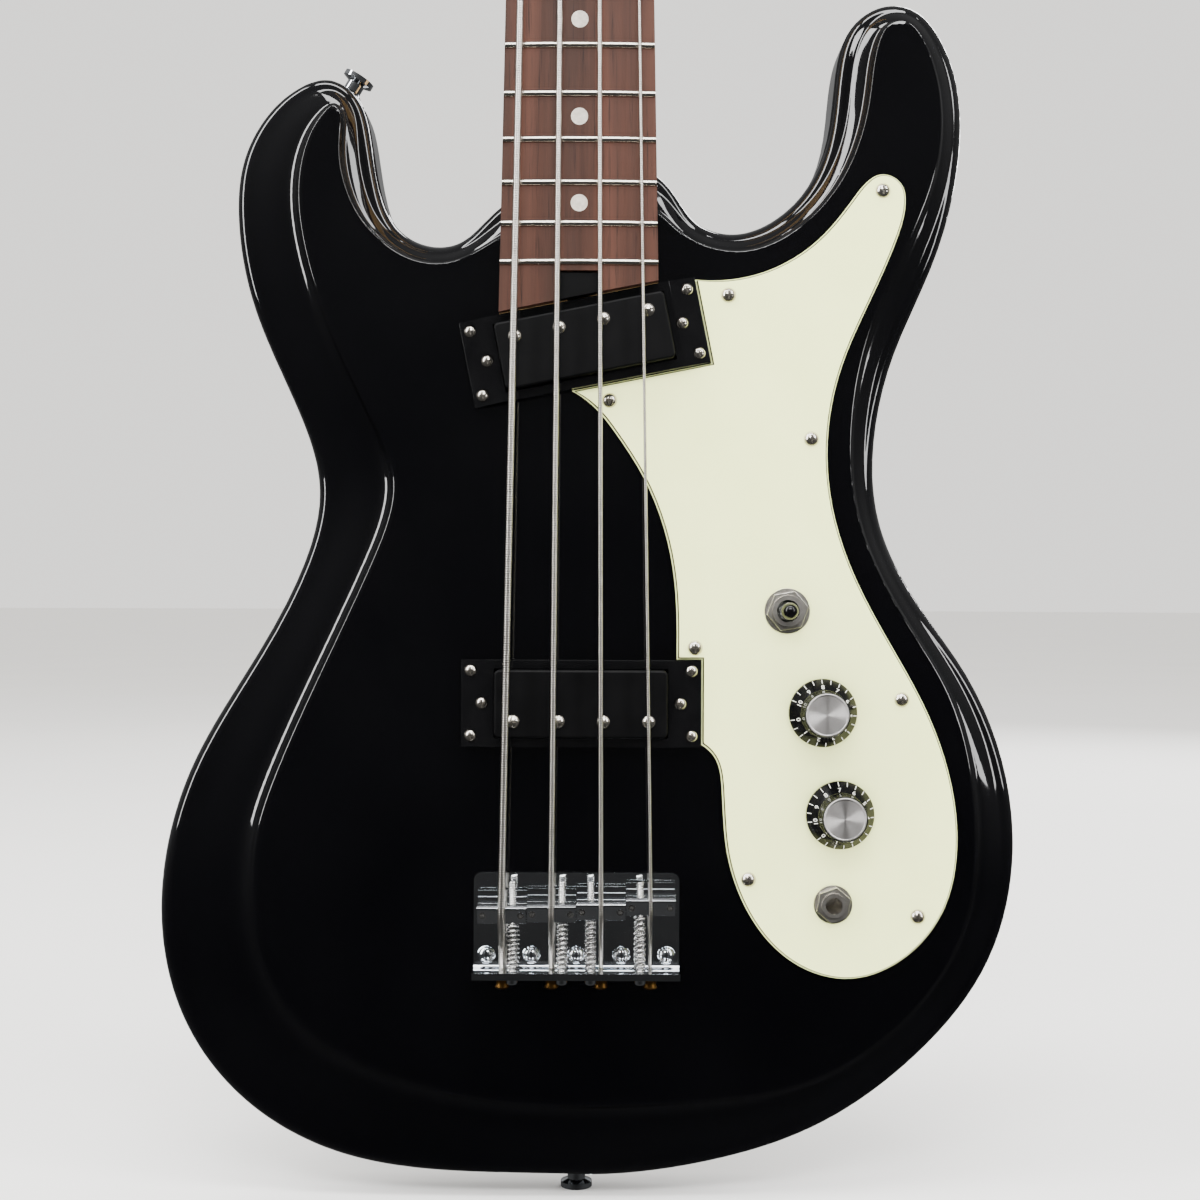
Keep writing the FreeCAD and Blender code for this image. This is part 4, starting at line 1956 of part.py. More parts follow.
ALONG_KEY = Rotation(Vector(0, 1, 0), -90)
key_line = (-worm_drop(), key_axis())
key_end = size("tuner_plate_width") / 2 - size("trim_gap")
worm_ear = size("tuner_ear_inset") + size("tuner_ear") + size("worm_end")
worm_end = size("tuner_plate_width") / 2 - worm_ear
half_worm = "tuner_plate_width / 2 - tuner_ear_inset - tuner_ear - worm_end"
worm_length = half_worm + " + " + half_worm
key_shaft = rod(
    "key_shaft", "key_shaft_radius", "tuner_plate_width / 2 + key_reach + 2", key_end, *key_line, ALONG_KEY
)
worm = rod("worm", "worm_radius", worm_length, worm_end, *key_line, ALONG_KEY)
collar_x = size("key_collar_length") - OVER - size("key_reach")
collar = rod(
    "key_collar", "key_shaft_radius + key_collar", "key_collar_length", collar_x, *key_line, ALONG_KEY
)
paddle = add(
    "Part::Ellipsoid",
    "key_paddle",
    Radius1="key_thickness / 2",
    Radius2="key_length / 2",
    Radius3="key_width / 2",
)
place(paddle, -size("key_reach") - size("key_length") / 2, *key_line, Rotation(UP, 180))
key = fuse("key", [key_shaft, worm, collar, paddle])
gear = shape_feature("gear", make_gear())
tuner_plate = shape_feature("tuner_plate", make_tuner_plate())
gear_level = back_level - size("tuner_plate_thickness") - size("gear_lift")
plates, bushings, screws = [], [], []
tuner_screw = wood_screw("tuner_screw", "tuner_screw_head", "tuner_screw_length")
for name in STRINGS:
    x, z = post_spot(name)
    plates.append((tuner_plate, on_head(x, z)))
    bushings.append((bushing_body, on_head(x, z)))
    node("tuner_post_" + name, [(post, on_head(x, z)), (gear, on_head(x, z, gear_level))])
    node("tuner_key_" + name, [(key, on_head(x, z))])
    for screw_x, screw_z in tuner_screw_spots(name):
        level = headstock_front() - size("head_thickness") - size("tuner_plate_thickness")
        spot = Vector(screw_x, -(size("body_front") + level), screw_z)
        screws.append((tuner_screw, Placement(spot, BACK)))
node("tuner_plates", plates)
node("tuner_bushings", bushings)


# String tree, neck plate, neck bolts and strap buttons

tree_body = turned(
    "tree",
    (
        ("0", "0"),
        ("tree_stem", "0"),
        ("tree_stem", "tree_height"),
        ("tree_radius", "tree_height"),
        ("tree_radius", "tree_height + tree_flange / 2"),
        ("tree_radius - tree_flange / 2", "tree_height + tree_flange"),
        ("0", "tree_height + tree_flange"),
    ),
)
node("string_tree", [(tree_body, on_head(*tree_spot()))])
plate_shape = rounded_plate(
    size("neck_plate_width"),
    size("neck_plate_length"),
    size("neck_plate_thickness"),
    size("neck_plate_corner"),
)
sink_low = size("neck_bolt") + size("plate_fit")
sink_high = size("neck_bolt_head") + size("plate_fit")
for x, z in neck_bolt_spots():
    sink = Part.makeCone(sink_low, sink_high, size("neck_plate_thickness"))
    sink.translate(Vector(x, size("neck_plate_z") - z, 0))
    plate_shape = plate_shape.cut(sink)
neck_plate = shape_feature("neck_plate_blank", plate_shape)
back_seat = size("body_back") - size("neck_plate_thickness")
node("neck_plate", [(neck_plate, Placement(Vector(0, back_seat, size("neck_plate_z")), BACK))])
bolt_body = turned(
    "neck_bolt_blank",
    (
        ("0", "0"),
        ("neck_bolt_head", "0"),
        ("neck_bolt", "-neck_plate_thickness"),
        ("neck_bolt", "-neck_bolt_length"),
        ("0", "-neck_bolt_length"),
    ),
)
slot_level = -size("bolt_slot_depth")
slot_height = "bolt_slot_depth + bolt_slot"
bolt_slot = block("bolt_slot", "neck_bolt_head + bolt_slot", "bolt_slot", slot_height, z=slot_level)
bolt_cross = block("bolt_cross", "bolt_slot", "neck_bolt_head + bolt_slot", slot_height, z=slot_level)
neck_bolt = cut("neck_bolt_piece", bolt_body, [bolt_slot, bolt_cross])
node(
    "neck_bolts",
    [(neck_bolt, Placement(Vector(x, size("body_back"), z), BACK)) for x, z in neck_bolt_spots()],
)
pin_body = turned(
    "pin",
    (
        ("pin_screw + screw_fit", "0"),
        ("pin_base", "0"),
        ("pin_base", "pin_rim_width / 2"),
        ("pin_waist", "pin_rim_width"),
        ("pin_waist", "pin_height - pin_rim_width - pin_rim_width / 2"),
        ("pin_rim", "pin_height - pin_rim_width"),
        ("pin_rim", "pin_height"),
        ("pin_screw + pin_screw", "pin_height"),
        ("pin_screw + screw_fit", "pin_height - pin_rim_width"),
    ),
)
pin_screw_body = turned(
    "pin_screw_blank",
    (
        ("0", "pin_height - trim_gap"),
        ("pin_screw + pin_screw - trim_gap - trim_gap", "pin_height - trim_gap"),
        ("pin_screw", "pin_height - pin_rim_width - trim_gap"),
        ("pin_screw", "-pin_screw_length"),
        ("0", "-pin_screw_length - pin_screw_tip"),
    ),
)
slot_level = size("pin_height") - size("pin_slot_depth")
slot_length = "pin_screw + pin_screw"
slot_height = "pin_slot_depth + pin_slot"
pin_slot = block("pin_slot_along", slot_length, "pin_slot", slot_height, z=slot_level)
pin_cross = block("pin_slot_across", "pin_slot", slot_length, slot_height, z=slot_level)
pin_screw = cut("pin_screw_piece", pin_screw_body, [pin_slot, pin_cross])
pin_pieces = []
for base, outward in pin_spots():
    stand = Placement(base, Rotation(UP, outward))
    pin_pieces += [(pin_body, stand), (pin_screw, stand)]
node("strap_buttons", pin_pieces)


# Knobs, controls, switch and jack

knob_body = turned(
    "knob",
    (
        ("knob_hollow", "knob_base"),
        ("knob_radius", "knob_base"),
        ("knob_radius", "knob_base + knob_band"),
        ("knob_barrel + knob_band", "knob_base + knob_flare - knob_band"),
        ("knob_barrel", "knob_base + knob_flare"),
        ("knob_barrel - knob_base / 2", "knob_base + knob_height"),
        ("knob_cap", "knob_base + knob_height"),
        ("knob_cap", "knob_base + knob_height - knob_cap_thickness"),
        ("shaft_radius", "knob_base + knob_height - knob_cap_thickness"),
        ("shaft_radius", "knob_base + control_bushing_height + 1"),
        ("knob_hollow", "knob_base + control_bushing_height + 1"),
    ),
)
cap_body = turned(
    "cap",
    (
        ("0", "knob_base + knob_height - knob_cap_thickness"),
        ("knob_cap", "knob_base + knob_height - knob_cap_thickness"),
        ("knob_cap", "knob_base + knob_height"),
        ("knob_cap - knob_cap_proud", "knob_base + knob_height + knob_cap_proud"),
        ("0", "knob_base + knob_height + knob_cap_proud"),
    ),
)
shaft_length = "knob_base + knob_height - knob_cap_thickness + shaft_sink"
shaft = rod("control_shaft", "shaft_radius", shaft_length, z=-size("shaft_sink"))
control_spots = []
for name in ("volume", "tone"):
    spot = front(size(name + "_x"), size(name + "_z"), guard_top)
    control_spots.append(spot)
    node(name + "_knob", [(knob_body, spot), (cap_body, spot), (shaft, spot)])
can = rod("pot_can", "pot_radius", "pot_depth", z=-amount("pot_depth + ply + ply + ply"))
bushing_rod = rod(
    "pot_bushing", "control_bushing", "control_bushing_height + ply + ply + ply + 1", z=-guard_top - 1
)
bore_level = size("pot_end") - guard_top - size("pot_depth")
shaft_bore = rod("pot_bore", "shaft_radius + running_fit", "pot_depth + knob_height", z=bore_level)
pot = cut("pot", fuse("pot_solid", [can, bushing_rod]), [shaft_bore])
node("potentiometers", [(pot, spot) for spot in control_spots])
nut_height = "control_nut_height"
on_bushing = "switch_bushing + screw_fit"
on_sleeve = "jack_sleeve + screw_fit"
control_nut = hexagon("control_nut_piece", "control_nut", nut_height, "control_bushing + screw_fit")
switch_nut = hexagon("switch_nut_piece", "switch_nut", nut_height, on_bushing)
switch_washer = ring("switch_washer_piece", "switch_washer", on_bushing, "washer_thickness")
jack_nut = hexagon("jack_nut_piece", "jack_nut", nut_height, on_sleeve)
jack_washer = ring("jack_washer_piece", "jack_washer", on_sleeve, "washer_thickness")
thin = size("washer_thickness")
switch_at = (size("switch_x"), size("switch_z"))
jack_at = (size("jack_x"), size("jack_z"))
node(
    "control_nuts",
    [(control_nut, spot) for spot in control_spots]
    + [
        (switch_washer, front(*switch_at, guard_top)),
        (switch_nut, front(*switch_at, guard_top + thin, SWITCH_NUT_TURN)),
        (jack_washer, front(*jack_at, guard_top)),
        (jack_nut, front(*jack_at, guard_top + thin, JACK_NUT_TURN)),
    ],
)
box_level = -size("switch_box_depth") - guard_top
switch_box = block(
    "switch_box", "switch_box_width", "switch_box_length", "switch_box_depth", z=box_level
)
switch_tube = rod("switch_tube", "switch_bushing", "switch_rise + ply + ply + ply + 1", z=-guard_top - 1)
throat_length = "switch_throat + switch_rise + 1"
switch_throat = rod("switch_opening", "switch_bore", throat_length, z=-size("switch_throat"))
switch_solid = cut("switch_solid", fuse("switch_frame", [switch_box, switch_tube]), [switch_throat])
node("switch_body", [(switch_solid, front(*switch_at, guard_top))])
pivot = -size("switch_pivot")
lever_length = "switch_rise + switch_reach"
lever_rod = rod("lever_rod", "switch_lever", lever_length, z=pivot)
lever_ball = add("Part::Sphere", "lever_ball", Radius="switch_bore - running_fit - running_fit")
place(lever_ball, 0, 0, pivot)
lever = fuse("lever", [lever_rod, lever_ball])
tip = add(
    "Part::Ellipsoid",
    "lever_tip",
    Radius1="switch_tip_length / 2",
    Radius2="switch_tip",
    Radius3="switch_tip",
)
place(tip, 0, 0, amount("switch_rise + switch_tip_gap + switch_tip_length / 2"))
tip_bore = rod("tip_bore", "switch_lever + screw_fit", lever_length, z=pivot)
tip_piece = cut("tip_piece", tip, [tip_bore])
switch_seat = front(*switch_at, guard_top)
node("switch_lever", [(lever, switch_seat), (tip_piece, switch_seat)])
sleeve_length = "jack_depth + control_nut_height + washer_thickness + jack_proud"
jack_tube = rod("jack_tube", "jack_sleeve", sleeve_length, z=-size("jack_depth"))
block_level = -size("jack_depth") - size("jack_block_height")
jack_block = block(
    "jack_contacts", "jack_block_width", "jack_block_length", "jack_block_height", z=block_level
)
flange_level = -guard_top - size("jack_flange")
jack_flange = rod("jack_collar", "jack_sleeve + jack_flange", "jack_flange", z=flange_level)
jack_hole = rod("jack_hole", "jack_bore", sleeve_length, z=size("jack_end") - size("jack_depth"))
jack = cut("jack", fuse("jack_solid", [jack_tube, jack_block, jack_flange]), [jack_hole])
node("output_jack", [(jack, front(*jack_at, guard_top))])
bead = add(
    "Part::Ellipsoid",
    "capacitor_bead",
    Radius1="capacitor_thickness / 2",
    Radius2="capacitor_length / 2",
    Radius3="capacitor_width / 2",
)
lead_run = Vector(size("capacitor_x"), -size("capacitor_z"), 0)
lead = add("Part::Cylinder", "capacitor_lead", Radius="lead_radius")
lead.Height = lead_run.Length - size("pot_radius") - size("lead_gap")
place(lead, 0, 0, 0, Rotation(UP, lead_run))
capacitor = fuse("capacitor", [bead, lead])
capacitor_at = (size("tone_x") - size("capacitor_x"), size("tone_z") + size("capacitor_z"))
node("tone_capacitor", [(capacitor, front(*capacitor_at, -size("capacitor_sink")))])
node("tuner_screws", screws)

doc.recompute()
os.makedirs("parts", exist_ok=True)
failed = [item.Name for item in doc.Objects if "Invalid" in item.State or "Error" in item.State]
if failed:
    raise RuntimeError("failed objects: " + ", ".join(failed))
for item in nodes:
    if item.Shape.isNull() or not item.Shape.isValid():
        raise RuntimeError("bad shape: " + item.Label)
for item in nodes:
    solids = item.Shape.Solids
    whole = solids[0] if len(solids) == 1 else Part.makeCompound(solids)
    whole.exportStep("parts/%s.step" % item.Label)
print("%d sub-parts, %d solids" % (len(nodes), sum(len(item.Shape.Solids) for item in nodes)))
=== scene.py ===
"""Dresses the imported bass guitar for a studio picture.

The CAD nodes keep their places. Here their surfaces get smooth shading and real finishes, the wound wire gets
its full form, and the dial marks, the light and the camera are added. Sizes are in millimetres unless a name
says otherwise, and MM turns them into the scene's metres.
"""
import json
import logging
import math
from contextlib import contextmanager
from dataclasses import dataclass
from enum import Enum
from functools import lru_cache
from typing import Any, Callable, Iterator, Sequence

import bmesh
import bpy
import numpy as np
from mathutils import Matrix, Vector
from mathutils.bvhtree import BVHTree
from mathutils.interpolate import poly_3d_calc

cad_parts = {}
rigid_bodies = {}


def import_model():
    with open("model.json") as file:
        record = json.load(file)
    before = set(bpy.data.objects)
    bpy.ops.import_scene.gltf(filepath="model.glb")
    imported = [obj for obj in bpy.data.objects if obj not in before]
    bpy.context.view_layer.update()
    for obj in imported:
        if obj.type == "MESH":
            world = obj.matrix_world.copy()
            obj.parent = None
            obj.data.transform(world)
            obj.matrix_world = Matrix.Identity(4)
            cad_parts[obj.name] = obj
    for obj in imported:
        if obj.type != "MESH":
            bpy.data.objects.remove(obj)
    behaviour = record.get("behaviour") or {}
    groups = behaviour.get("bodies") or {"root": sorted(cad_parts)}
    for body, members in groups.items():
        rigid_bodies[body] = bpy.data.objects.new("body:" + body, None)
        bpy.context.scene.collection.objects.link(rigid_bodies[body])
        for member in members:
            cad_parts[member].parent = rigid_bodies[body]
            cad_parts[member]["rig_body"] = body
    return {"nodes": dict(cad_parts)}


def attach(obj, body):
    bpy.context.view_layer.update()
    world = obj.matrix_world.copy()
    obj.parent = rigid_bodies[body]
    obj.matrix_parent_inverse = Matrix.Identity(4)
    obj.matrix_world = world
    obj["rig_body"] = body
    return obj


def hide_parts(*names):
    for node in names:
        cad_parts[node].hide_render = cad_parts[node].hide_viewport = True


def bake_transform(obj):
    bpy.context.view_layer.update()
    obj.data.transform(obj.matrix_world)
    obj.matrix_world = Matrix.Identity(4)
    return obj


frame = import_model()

LOG = logging.getLogger("bass_guitar")
MM = 0.001
MICRON = 1e-6
ROOT = "instrument"
STRINGS = ("e", "a", "d", "g")
BODY_FRONT = 26.0
GUARD_TOP = 2.4
FACING_VIEWER = (math.pi / 2, 0.0, 0.0)

# What the bridge and the strings share.
STRING_SPACING = 18.7
SADDLE_LINE = 115.0
RIDGE_LEADS = (0.9, 1.6, 2.5, 4.0)
BRIDGE_REAR = 26.2
BRIDGE_WALL = 2.6

# Corners nearer than this are one, in metres. Those of a CAD node lie a little further apart.
WELD = 1e-7
NODE_WELD = 1e-6

# An edge sharper than its angle, in degrees, stays sharp: on threads, on cut pieces, on turned ones, on
# moulded or wound ones, and on wire.
THREAD_ANGLE = 20.0
CUT_ANGLE = 32.0
TURNED_ANGLE = 40.0
MOULDED_ANGLE = 50.0
WIRE_ANGLE = 60.0

# Faces flatter than the first angle are joined, and edges sharper than the second get a round, in degrees.
FLAT_ANGLE = 0.3
ROUND_ANGLE = 35.0

# How finely round things are divided.
WIRE_SIDES = 10
COIL_STEPS = 20
THREAD_STEPS = 16
BALL_STEPS = 24
KNOB_STEPS = 72

Object = bpy.types.Object
Tree = bpy.types.NodeTree
Socket = bpy.types.NodeSocket
Section = tuple[tuple[float, float], ...]


def at(x: float, height: float, z: float) -> Vector:
    """Gives a point of the scene.

    Args:
        x: Millimetres to the viewer's right.
        height: Millimetres above the flat front of the body.
        z: Millimetres up the neck.

    Returns:
        The point in metres.
    """
    return Vector((x, -(BODY_FRONT + height), z)) * MM


def across(order: int, spacing: float) -> float:
    """Gives a string's x for a spacing."""
    return (order - (len(STRINGS) - 1) / 2) * spacing


def linear(code: str) -> tuple[float, float, float, float]:
    """Turns an sRGB hex colour into linear light.

    Args:
        code: A hash and six hex digits.

    Returns:
        Red, green, blue and full alpha.
    """
    parts = [int(code[start : start + 2], 16) / 255 for start in (1, 3, 5)]
    light = [part / 12.92 if part <= 0.04045 else ((part + 0.055) / 1.055) ** 2.4 for part in parts]
    return (light[0], light[1], light[2], 1.0)


def per_metre(size: float) -> float:
    """Gives the scale of a pattern whose grains are so many millimetres wide."""
    return 1 / (size * MM)


def add_node(
    tree: Tree, kind: str, settings: dict[Any, Any], links: dict[Any, Any] | None = None
) -> bpy.types.Node:
    """Adds a node with its settings and links.

    Args:
        tree: The tree that gets the node.
        kind: Blender's name of the node's type.
        settings: Values by input name, input number or property; "ramp" holds (place, colour) stops.
        links: Output sockets by the input that they feed.

    Returns:
        The node.
    """
    made = tree.nodes.new(kind)
    for key, value in settings.items():
        if key == "ramp":
            stops = made.color_ramp.elements
            while len(stops) < len(value):
                stops.new(0.5)
            for stop, (place, colour) in zip(stops, value):
                stop.position = place
                stop.color = linear(colour)
        elif isinstance(key, int) or key in made.inputs:
            made.inputs[key].default_value = value
        else:
            setattr(made, key, value)
    for key, socket in (links or {}).items():
        tree.links.new(socket, made.inputs[key])
    return made


class Slot(Enum):
    """The record's material slots."""

    BLACK_GLOSS = "black_gloss"
    MAPLE = "maple"
    ROSEWOOD = "rosewood"
    NICKEL = "nickel"
    PEARL = "pearl"
    BONE = "bone"
    STEEL = "steel"
    BLACK_PLASTIC = "black_plastic"
    BLACK_SATIN = "black_satin"
    MINT_PLASTIC = "mint_plastic"
    COPPER = "copper"
    MAGNET_STEEL = "magnet_steel"
    CHROME = "chrome"
    STRING_STEEL = "string_steel"
    GREEN_CAPACITOR = "green_capacitor"


@dataclass(frozen=True)
class Finish:
    """A finish whose colour drifts between two tones in soft patches.

    Fields:
        name: The real material's name.
        slot: The record's slot; not used.
        colour: Its main tone.
        drift: The tone that it drifts to.
        roughness: Its middle roughness.
        wander: How far the roughness strays to either side.
        patch: The patches' width.
        grain: The width of the surface's own grain.
        grain_depth: The grain's depth in micrometres.
        metallic: 1 for a metal.
        coat: Weight of a clear coat.
        specular: Specular level.
        coat_roughness: Roughness of the clear coat.
        span: Where in the noise the main tone ends and the other starts.
        sheen_patch: The width of the patches of roughness, as a share of the others.
    """

    name: str
    slot: Slot
    colour: str
    drift: str
    roughness: float
    wander: float = 0.03
    patch: float = 12.0
    grain: float = 0.8
    grain_depth: float = 2.0
    metallic: float = 0.0
    coat: float = 0.0
    specular: float = 0.5
    coat_roughness: float = 0.02
    span: tuple[float, float] = (0.3, 0.75)
    sheen_patch: float = 0.6

    def make(self) -> bpy.types.Material:
        """Makes the material with its shader, colour, roughness and relief.

        Returns:
            The material.
        """
        material = bpy.data.materials.new(self.name)
        material.use_nodes = True
        tree = material.node_tree
        shader = tree.nodes["Principled BSDF"]
        for socket, value in (
            ("Metallic", self.metallic),
            ("Coat Weight", self.coat),
            ("Coat Roughness", self.coat_roughness),
            ("Specular IOR Level", self.specular),
        ):
            shader.inputs[socket].default_value = value
        place = add_node(tree, "ShaderNodeTexCoord", {}).outputs["Object"]
        tree.links.new(self.tone(tree, place), shader.inputs["Base Color"])
        tree.links.new(self.sheen(tree, place), shader.inputs["Roughness"])
        relief = add_node(
            tree,
            "ShaderNodeBump",
            {"Strength": 1.0, "Distance": self.grain_depth * MICRON},
            {"Height": self.relief(tree, place)},
        )
        tree.links.new(relief.outputs["Normal"], shader.inputs["Normal"])
        self.extras(tree, shader)
        return material

    def tone(self, tree: Tree, place: Socket) -> Socket:
        """Gives the colour: two tones in soft patches.

        Args:
            tree: The material's tree.
            place: Object coordinates.

        Returns:
            The colour.
        """
        noise = add_node(
            tree, "ShaderNodeTexNoise", {"Scale": per_metre(self.patch), "Detail": 3.0}, {"Vector": place}
        )
        stops = tuple(zip(self.span, (self.colour, self.drift)))
        ramp = add_node(tree, "ShaderNodeValToRGB", {"ramp": stops}, {"Fac": noise.outputs["Fac"]})
        return ramp.outputs["Color"]

    def sheen(self, tree: Tree, place: Socket) -> Socket:
        """Gives the roughness, which strays a little from patch to patch.

        Args:
            tree: The material's tree.
            place: Object coordinates.

        Returns:
            The roughness.
        """
        patch = self.patch * self.sheen_patch
        noise = add_node(
            tree, "ShaderNodeTexNoise", {"Scale": per_metre(patch), "Detail": 4.0}, {"Vector": place}
        )
        span = add_node(
            tree,
            "ShaderNodeMapRange",
            {"To Min": self.roughness - self.wander, "To Max": self.roughness + self.wander},
            {"Value": noise.outputs["Fac"]},
        )
        return span.outputs["Result"]

    def relief(self, tree: Tree, place: Socket) -> Socket:
        """Gives the height of the surface's grain.

        Args:
            tree: The material's tree.
            place: Object coordinates.

        Returns:
            The height.
        """
        noise = add_node(
            tree, "ShaderNodeTexNoise", {"Scale": per_metre(self.grain), "Detail": 2.0}, {"Vector": place}
        )
        return noise.outputs["Fac"]

    def extras(self, tree: Tree, shader: bpy.types.Node) -> None:
        """Leaves room for what one finish has beyond the others."""


@dataclass(frozen=True)
class Timber(Finish):
    """Wood with grain that runs up the neck.

    Fields:
        streak: The width of a grain line.
        stretch: How much longer than wide a grain line is.
        pore: The tone of the pores and dark lines.
        band: The width of a band of one tone, in grain lines.
        line: The width of a pore, in grain lines.
        band_span: Where in the noise the darker tone ends and the lighter starts.
        pore_span: Where in the noise a pore starts and where it is darkest.
    """

    streak: float = 1.6
    stretch: float = 40.0
    pore: str = "#2A1A14"
    band: float = 3.2
    line: float = 0.5
    band_span: tuple[float, float] = (0.34, 0.66)
    pore_span: tuple[float, float] = (0.56, 0.72)

    def along(self, tree: Tree, place: Socket, width: float) -> bpy.types.Node:
        """Gives noise that is drawn out along the grain.

        Args:
            tree: The material's tree.
            place: Object coordinates.
            width: A grain line's width.

        Returns:
            The noise.
        """
        wide = per_metre(width)
        laid = add_node(
            tree, "ShaderNodeMapping", {"Scale": (wide, wide, wide / self.stretch)}, {"Vector": place}
        )
        return add_node(
            tree,
            "ShaderNodeTexNoise",
            {"Scale": 1.0, "Detail": 5.0, "Roughness": 0.62, "Distortion": 0.4},
            {"Vector": laid.outputs["Vector"]},
        )

    def tone(self, tree: Tree, place: Socket) -> Socket:
        """Gives broad bands of two tones with dark pores over them.

        Args:
            tree: The material's tree.
            place: Object coordinates.

        Returns:
            The colour.
        """
        bands = self.along(tree, place, self.streak * self.band)
        ground = add_node(
            tree,
            "ShaderNodeValToRGB",
            {"ramp": tuple(zip(self.band_span, (self.drift, self.colour)))},
            {"Fac": bands.outputs["Fac"]},
        )
        lines = self.along(tree, place, self.streak * self.line)
        start, darkest = self.pore_span
        pores = add_node(
            tree,
            "ShaderNodeMapRange",
            {"From Min": start, "From Max": darkest},
            {"Value": lines.outputs["Fac"]},
        )
        # A colour mix has its factor at 0, its colours at 6 and 7, and its result at 2.
        mixed = add_node(
            tree,
            "ShaderNodeMix",
            {"data_type": "RGBA", 7: linear(self.pore)},
            {0: pores.outputs["Result"], 6: ground.outputs["Color"]},
        )
        return mixed.outputs[2]

    def relief(self, tree: Tree, place: Socket) -> Socket:
        """Gives the fine grooves of the open grain."""
        return self.along(tree, place, self.grain).outputs["Fac"]


@dataclass(frozen=True)
class WoundWire(Finish):
    """Wire wound round a core, with a ridge at each turn.

    Fields:
        pitch: The distance from turn to turn.
    """

    pitch: float = 1.0

    def relief(self, tree: Tree, place: Socket) -> Socket:
        """Gives one ridge a turn; a wave's own period is pi / 10 at scale 1.

        Args:
            tree: The material's tree.
            place: Object coordinates.

        Returns:
            The height.
        """
        wave = add_node(
            tree,
            "ShaderNodeTexWave",
            {"bands_direction": "Z", "Scale": math.pi / 10 * per_metre(self.pitch), "Distortion": 0.0},
            {"Vector": place},
        )
        return wave.outputs["Fac"]


@dataclass(frozen=True)
class SpunMetal(Finish):
    """Metal faced on a lathe, whose fine rings draw light out into spokes.

    Fields:
        draw: How strongly they draw it out.
    """

    draw: float = 0.9

    def extras(self, tree: Tree, shader: bpy.types.Node) -> None:
        """Turns the gloss round the axis that faces the viewer.

        Args:
            tree: The material's tree.
            shader: Its shader.
        """
        shader.inputs["Anisotropic"].default_value = self.draw
        round_axis = add_node(tree, "ShaderNodeTangent", {"direction_type": "RADIAL", "axis": "Y"})
        tree.links.new(round_axis.outputs["Tangent"], shader.inputs["Tangent"])


# Polyester: sprayed, flatted and buffed, so almost a mirror with a faint waviness from the spray.
BLACK_POLYESTER = Finish(
    "Black polyester lacquer",
    Slot.BLACK_GLOSS,
    "#010102",
    "#030304",
    0.05,
    wander=0.02,
    patch=60.0,
    grain=14.0,
    grain_depth=0.3,
    coat=0.3,
)
# Mint sheet: pressed vinyl, with the soft shine of a matt calender and a faint drift in colour.
MINT_VINYL = Finish(
    "Mint vinyl sheet", Slot.MINT_PLASTIC, "#F8FFB2", "#F1FAAA", 0.3, patch=30.0, grain=1.2, grain_depth=2.0
)
# The sheet's black middle ply, which shows as a thin line round the edge.
BLACK_VINYL = Finish("Black vinyl sheet", Slot.BLACK_PLASTIC, "#0B0C0C", "#131414", 0.35, patch=8.0)
# Rosewood: planed and oiled, with open pores that show as short dark lines up the neck.
OILED_ROSEWOOD = Timber(
    "Oiled rosewood",
    Slot.ROSEWOOD,
    "#482A1F",
    "#331E16",
    0.5,
    wander=0.07,
    grain=0.35,
    grain_depth=60.0,
    streak=2.0,
    stretch=30.0,
    pore="#1C100C",
    specular=0.22,
)
# Maple: sanded and given a thin satin lacquer, pale with faint honey lines.
SATIN_MAPLE = Timber(
    "Satin maple",
    Slot.MAPLE,
    "#D8B582",
    "#C79F69",
    0.38,
    wander=0.04,
    grain=0.5,
    grain_depth=10.0,
    streak=2.6,
    stretch=70.0,
    pore="#B48A56",
    coat=0.2,
)
# Chrome: plated over polished steel, a cool mirror with a little handling haze.
CHROME = Finish(
    "Chrome plate",
    Slot.CHROME,
    "#DCDFE2",
    "#CDD1D5",
    0.07,
    wander=0.03,
    patch=9.0,
    grain_depth=0.6,
    metallic=1.0,
)
# Nickel: warmer and softer than chrome.
NICKEL = Finish(
    "Nickel plate",
    Slot.NICKEL,
    "#DDD7CD",
    "#CCC5B9",
    0.24,
    wander=0.05,
    patch=4.0,
    grain_depth=0.8,
    metallic=1.0,
)
# Brushed nickel: faced and rubbed, so that flat rings and nuts stay bright from every side.
BRUSHED_NICKEL = Finish(
    "Brushed nickel", Slot.NICKEL, "#E4E0D9", "#D2CDC4", 0.34, wander=0.06, patch=2.0, grain=0.3, metallic=1.0
)
# Bright steel: turned and left bare, with a fine tool grain.
BRIGHT_STEEL = Finish(
    "Bright steel", Slot.STEEL, "#C2C1BF", "#ADACA9", 0.26, wander=0.06, patch=4.0, grain=0.4, metallic=1.0
)
# Cast magnet: dull and grainy.
CAST_MAGNET = Finish(
    "Cast magnet", Slot.MAGNET_STEEL, "#77777A", "#5E5E61", 0.55, grain=0.6, grain_depth=40.0, metallic=1.0
)
# Round-wound string: the wrap's ridges break the shine. Real wraps are about 0.4 mm apart, which is too fine
# for the picture, so they are drawn at 0.9 mm.
ROUND_WOUND = WoundWire(
    "Round-wound steel",
    Slot.STRING_STEEL,
    "#CFCAC3",
    "#B9B3AB",
    0.3,
    wander=0.05,
    patch=6.0,
    grain_depth=55.0,
    metallic=1.0,
    pitch=0.9,
)
# Brass ball end. Its colour is brass made far darker than bright brass: painted shade for the place behind
# the bridge wall where it sits.
SHADE_DARKENED_BRASS = Finish("Turned brass", Slot.STRING_STEEL, "#8E6A38", "#70512A", 0.42, patch=3.0, metallic=1.0)
# Enamelled copper: hair-fine wire in many layers, drawn as rows 0.5 mm apart so that they show.
ENAMELLED_COPPER = WoundWire(
    "Enamelled copper", Slot.COPPER, "#9A4A22", "#7C3516", 0.3, grain_depth=90.0, metallic=1.0, pitch=0.5
)
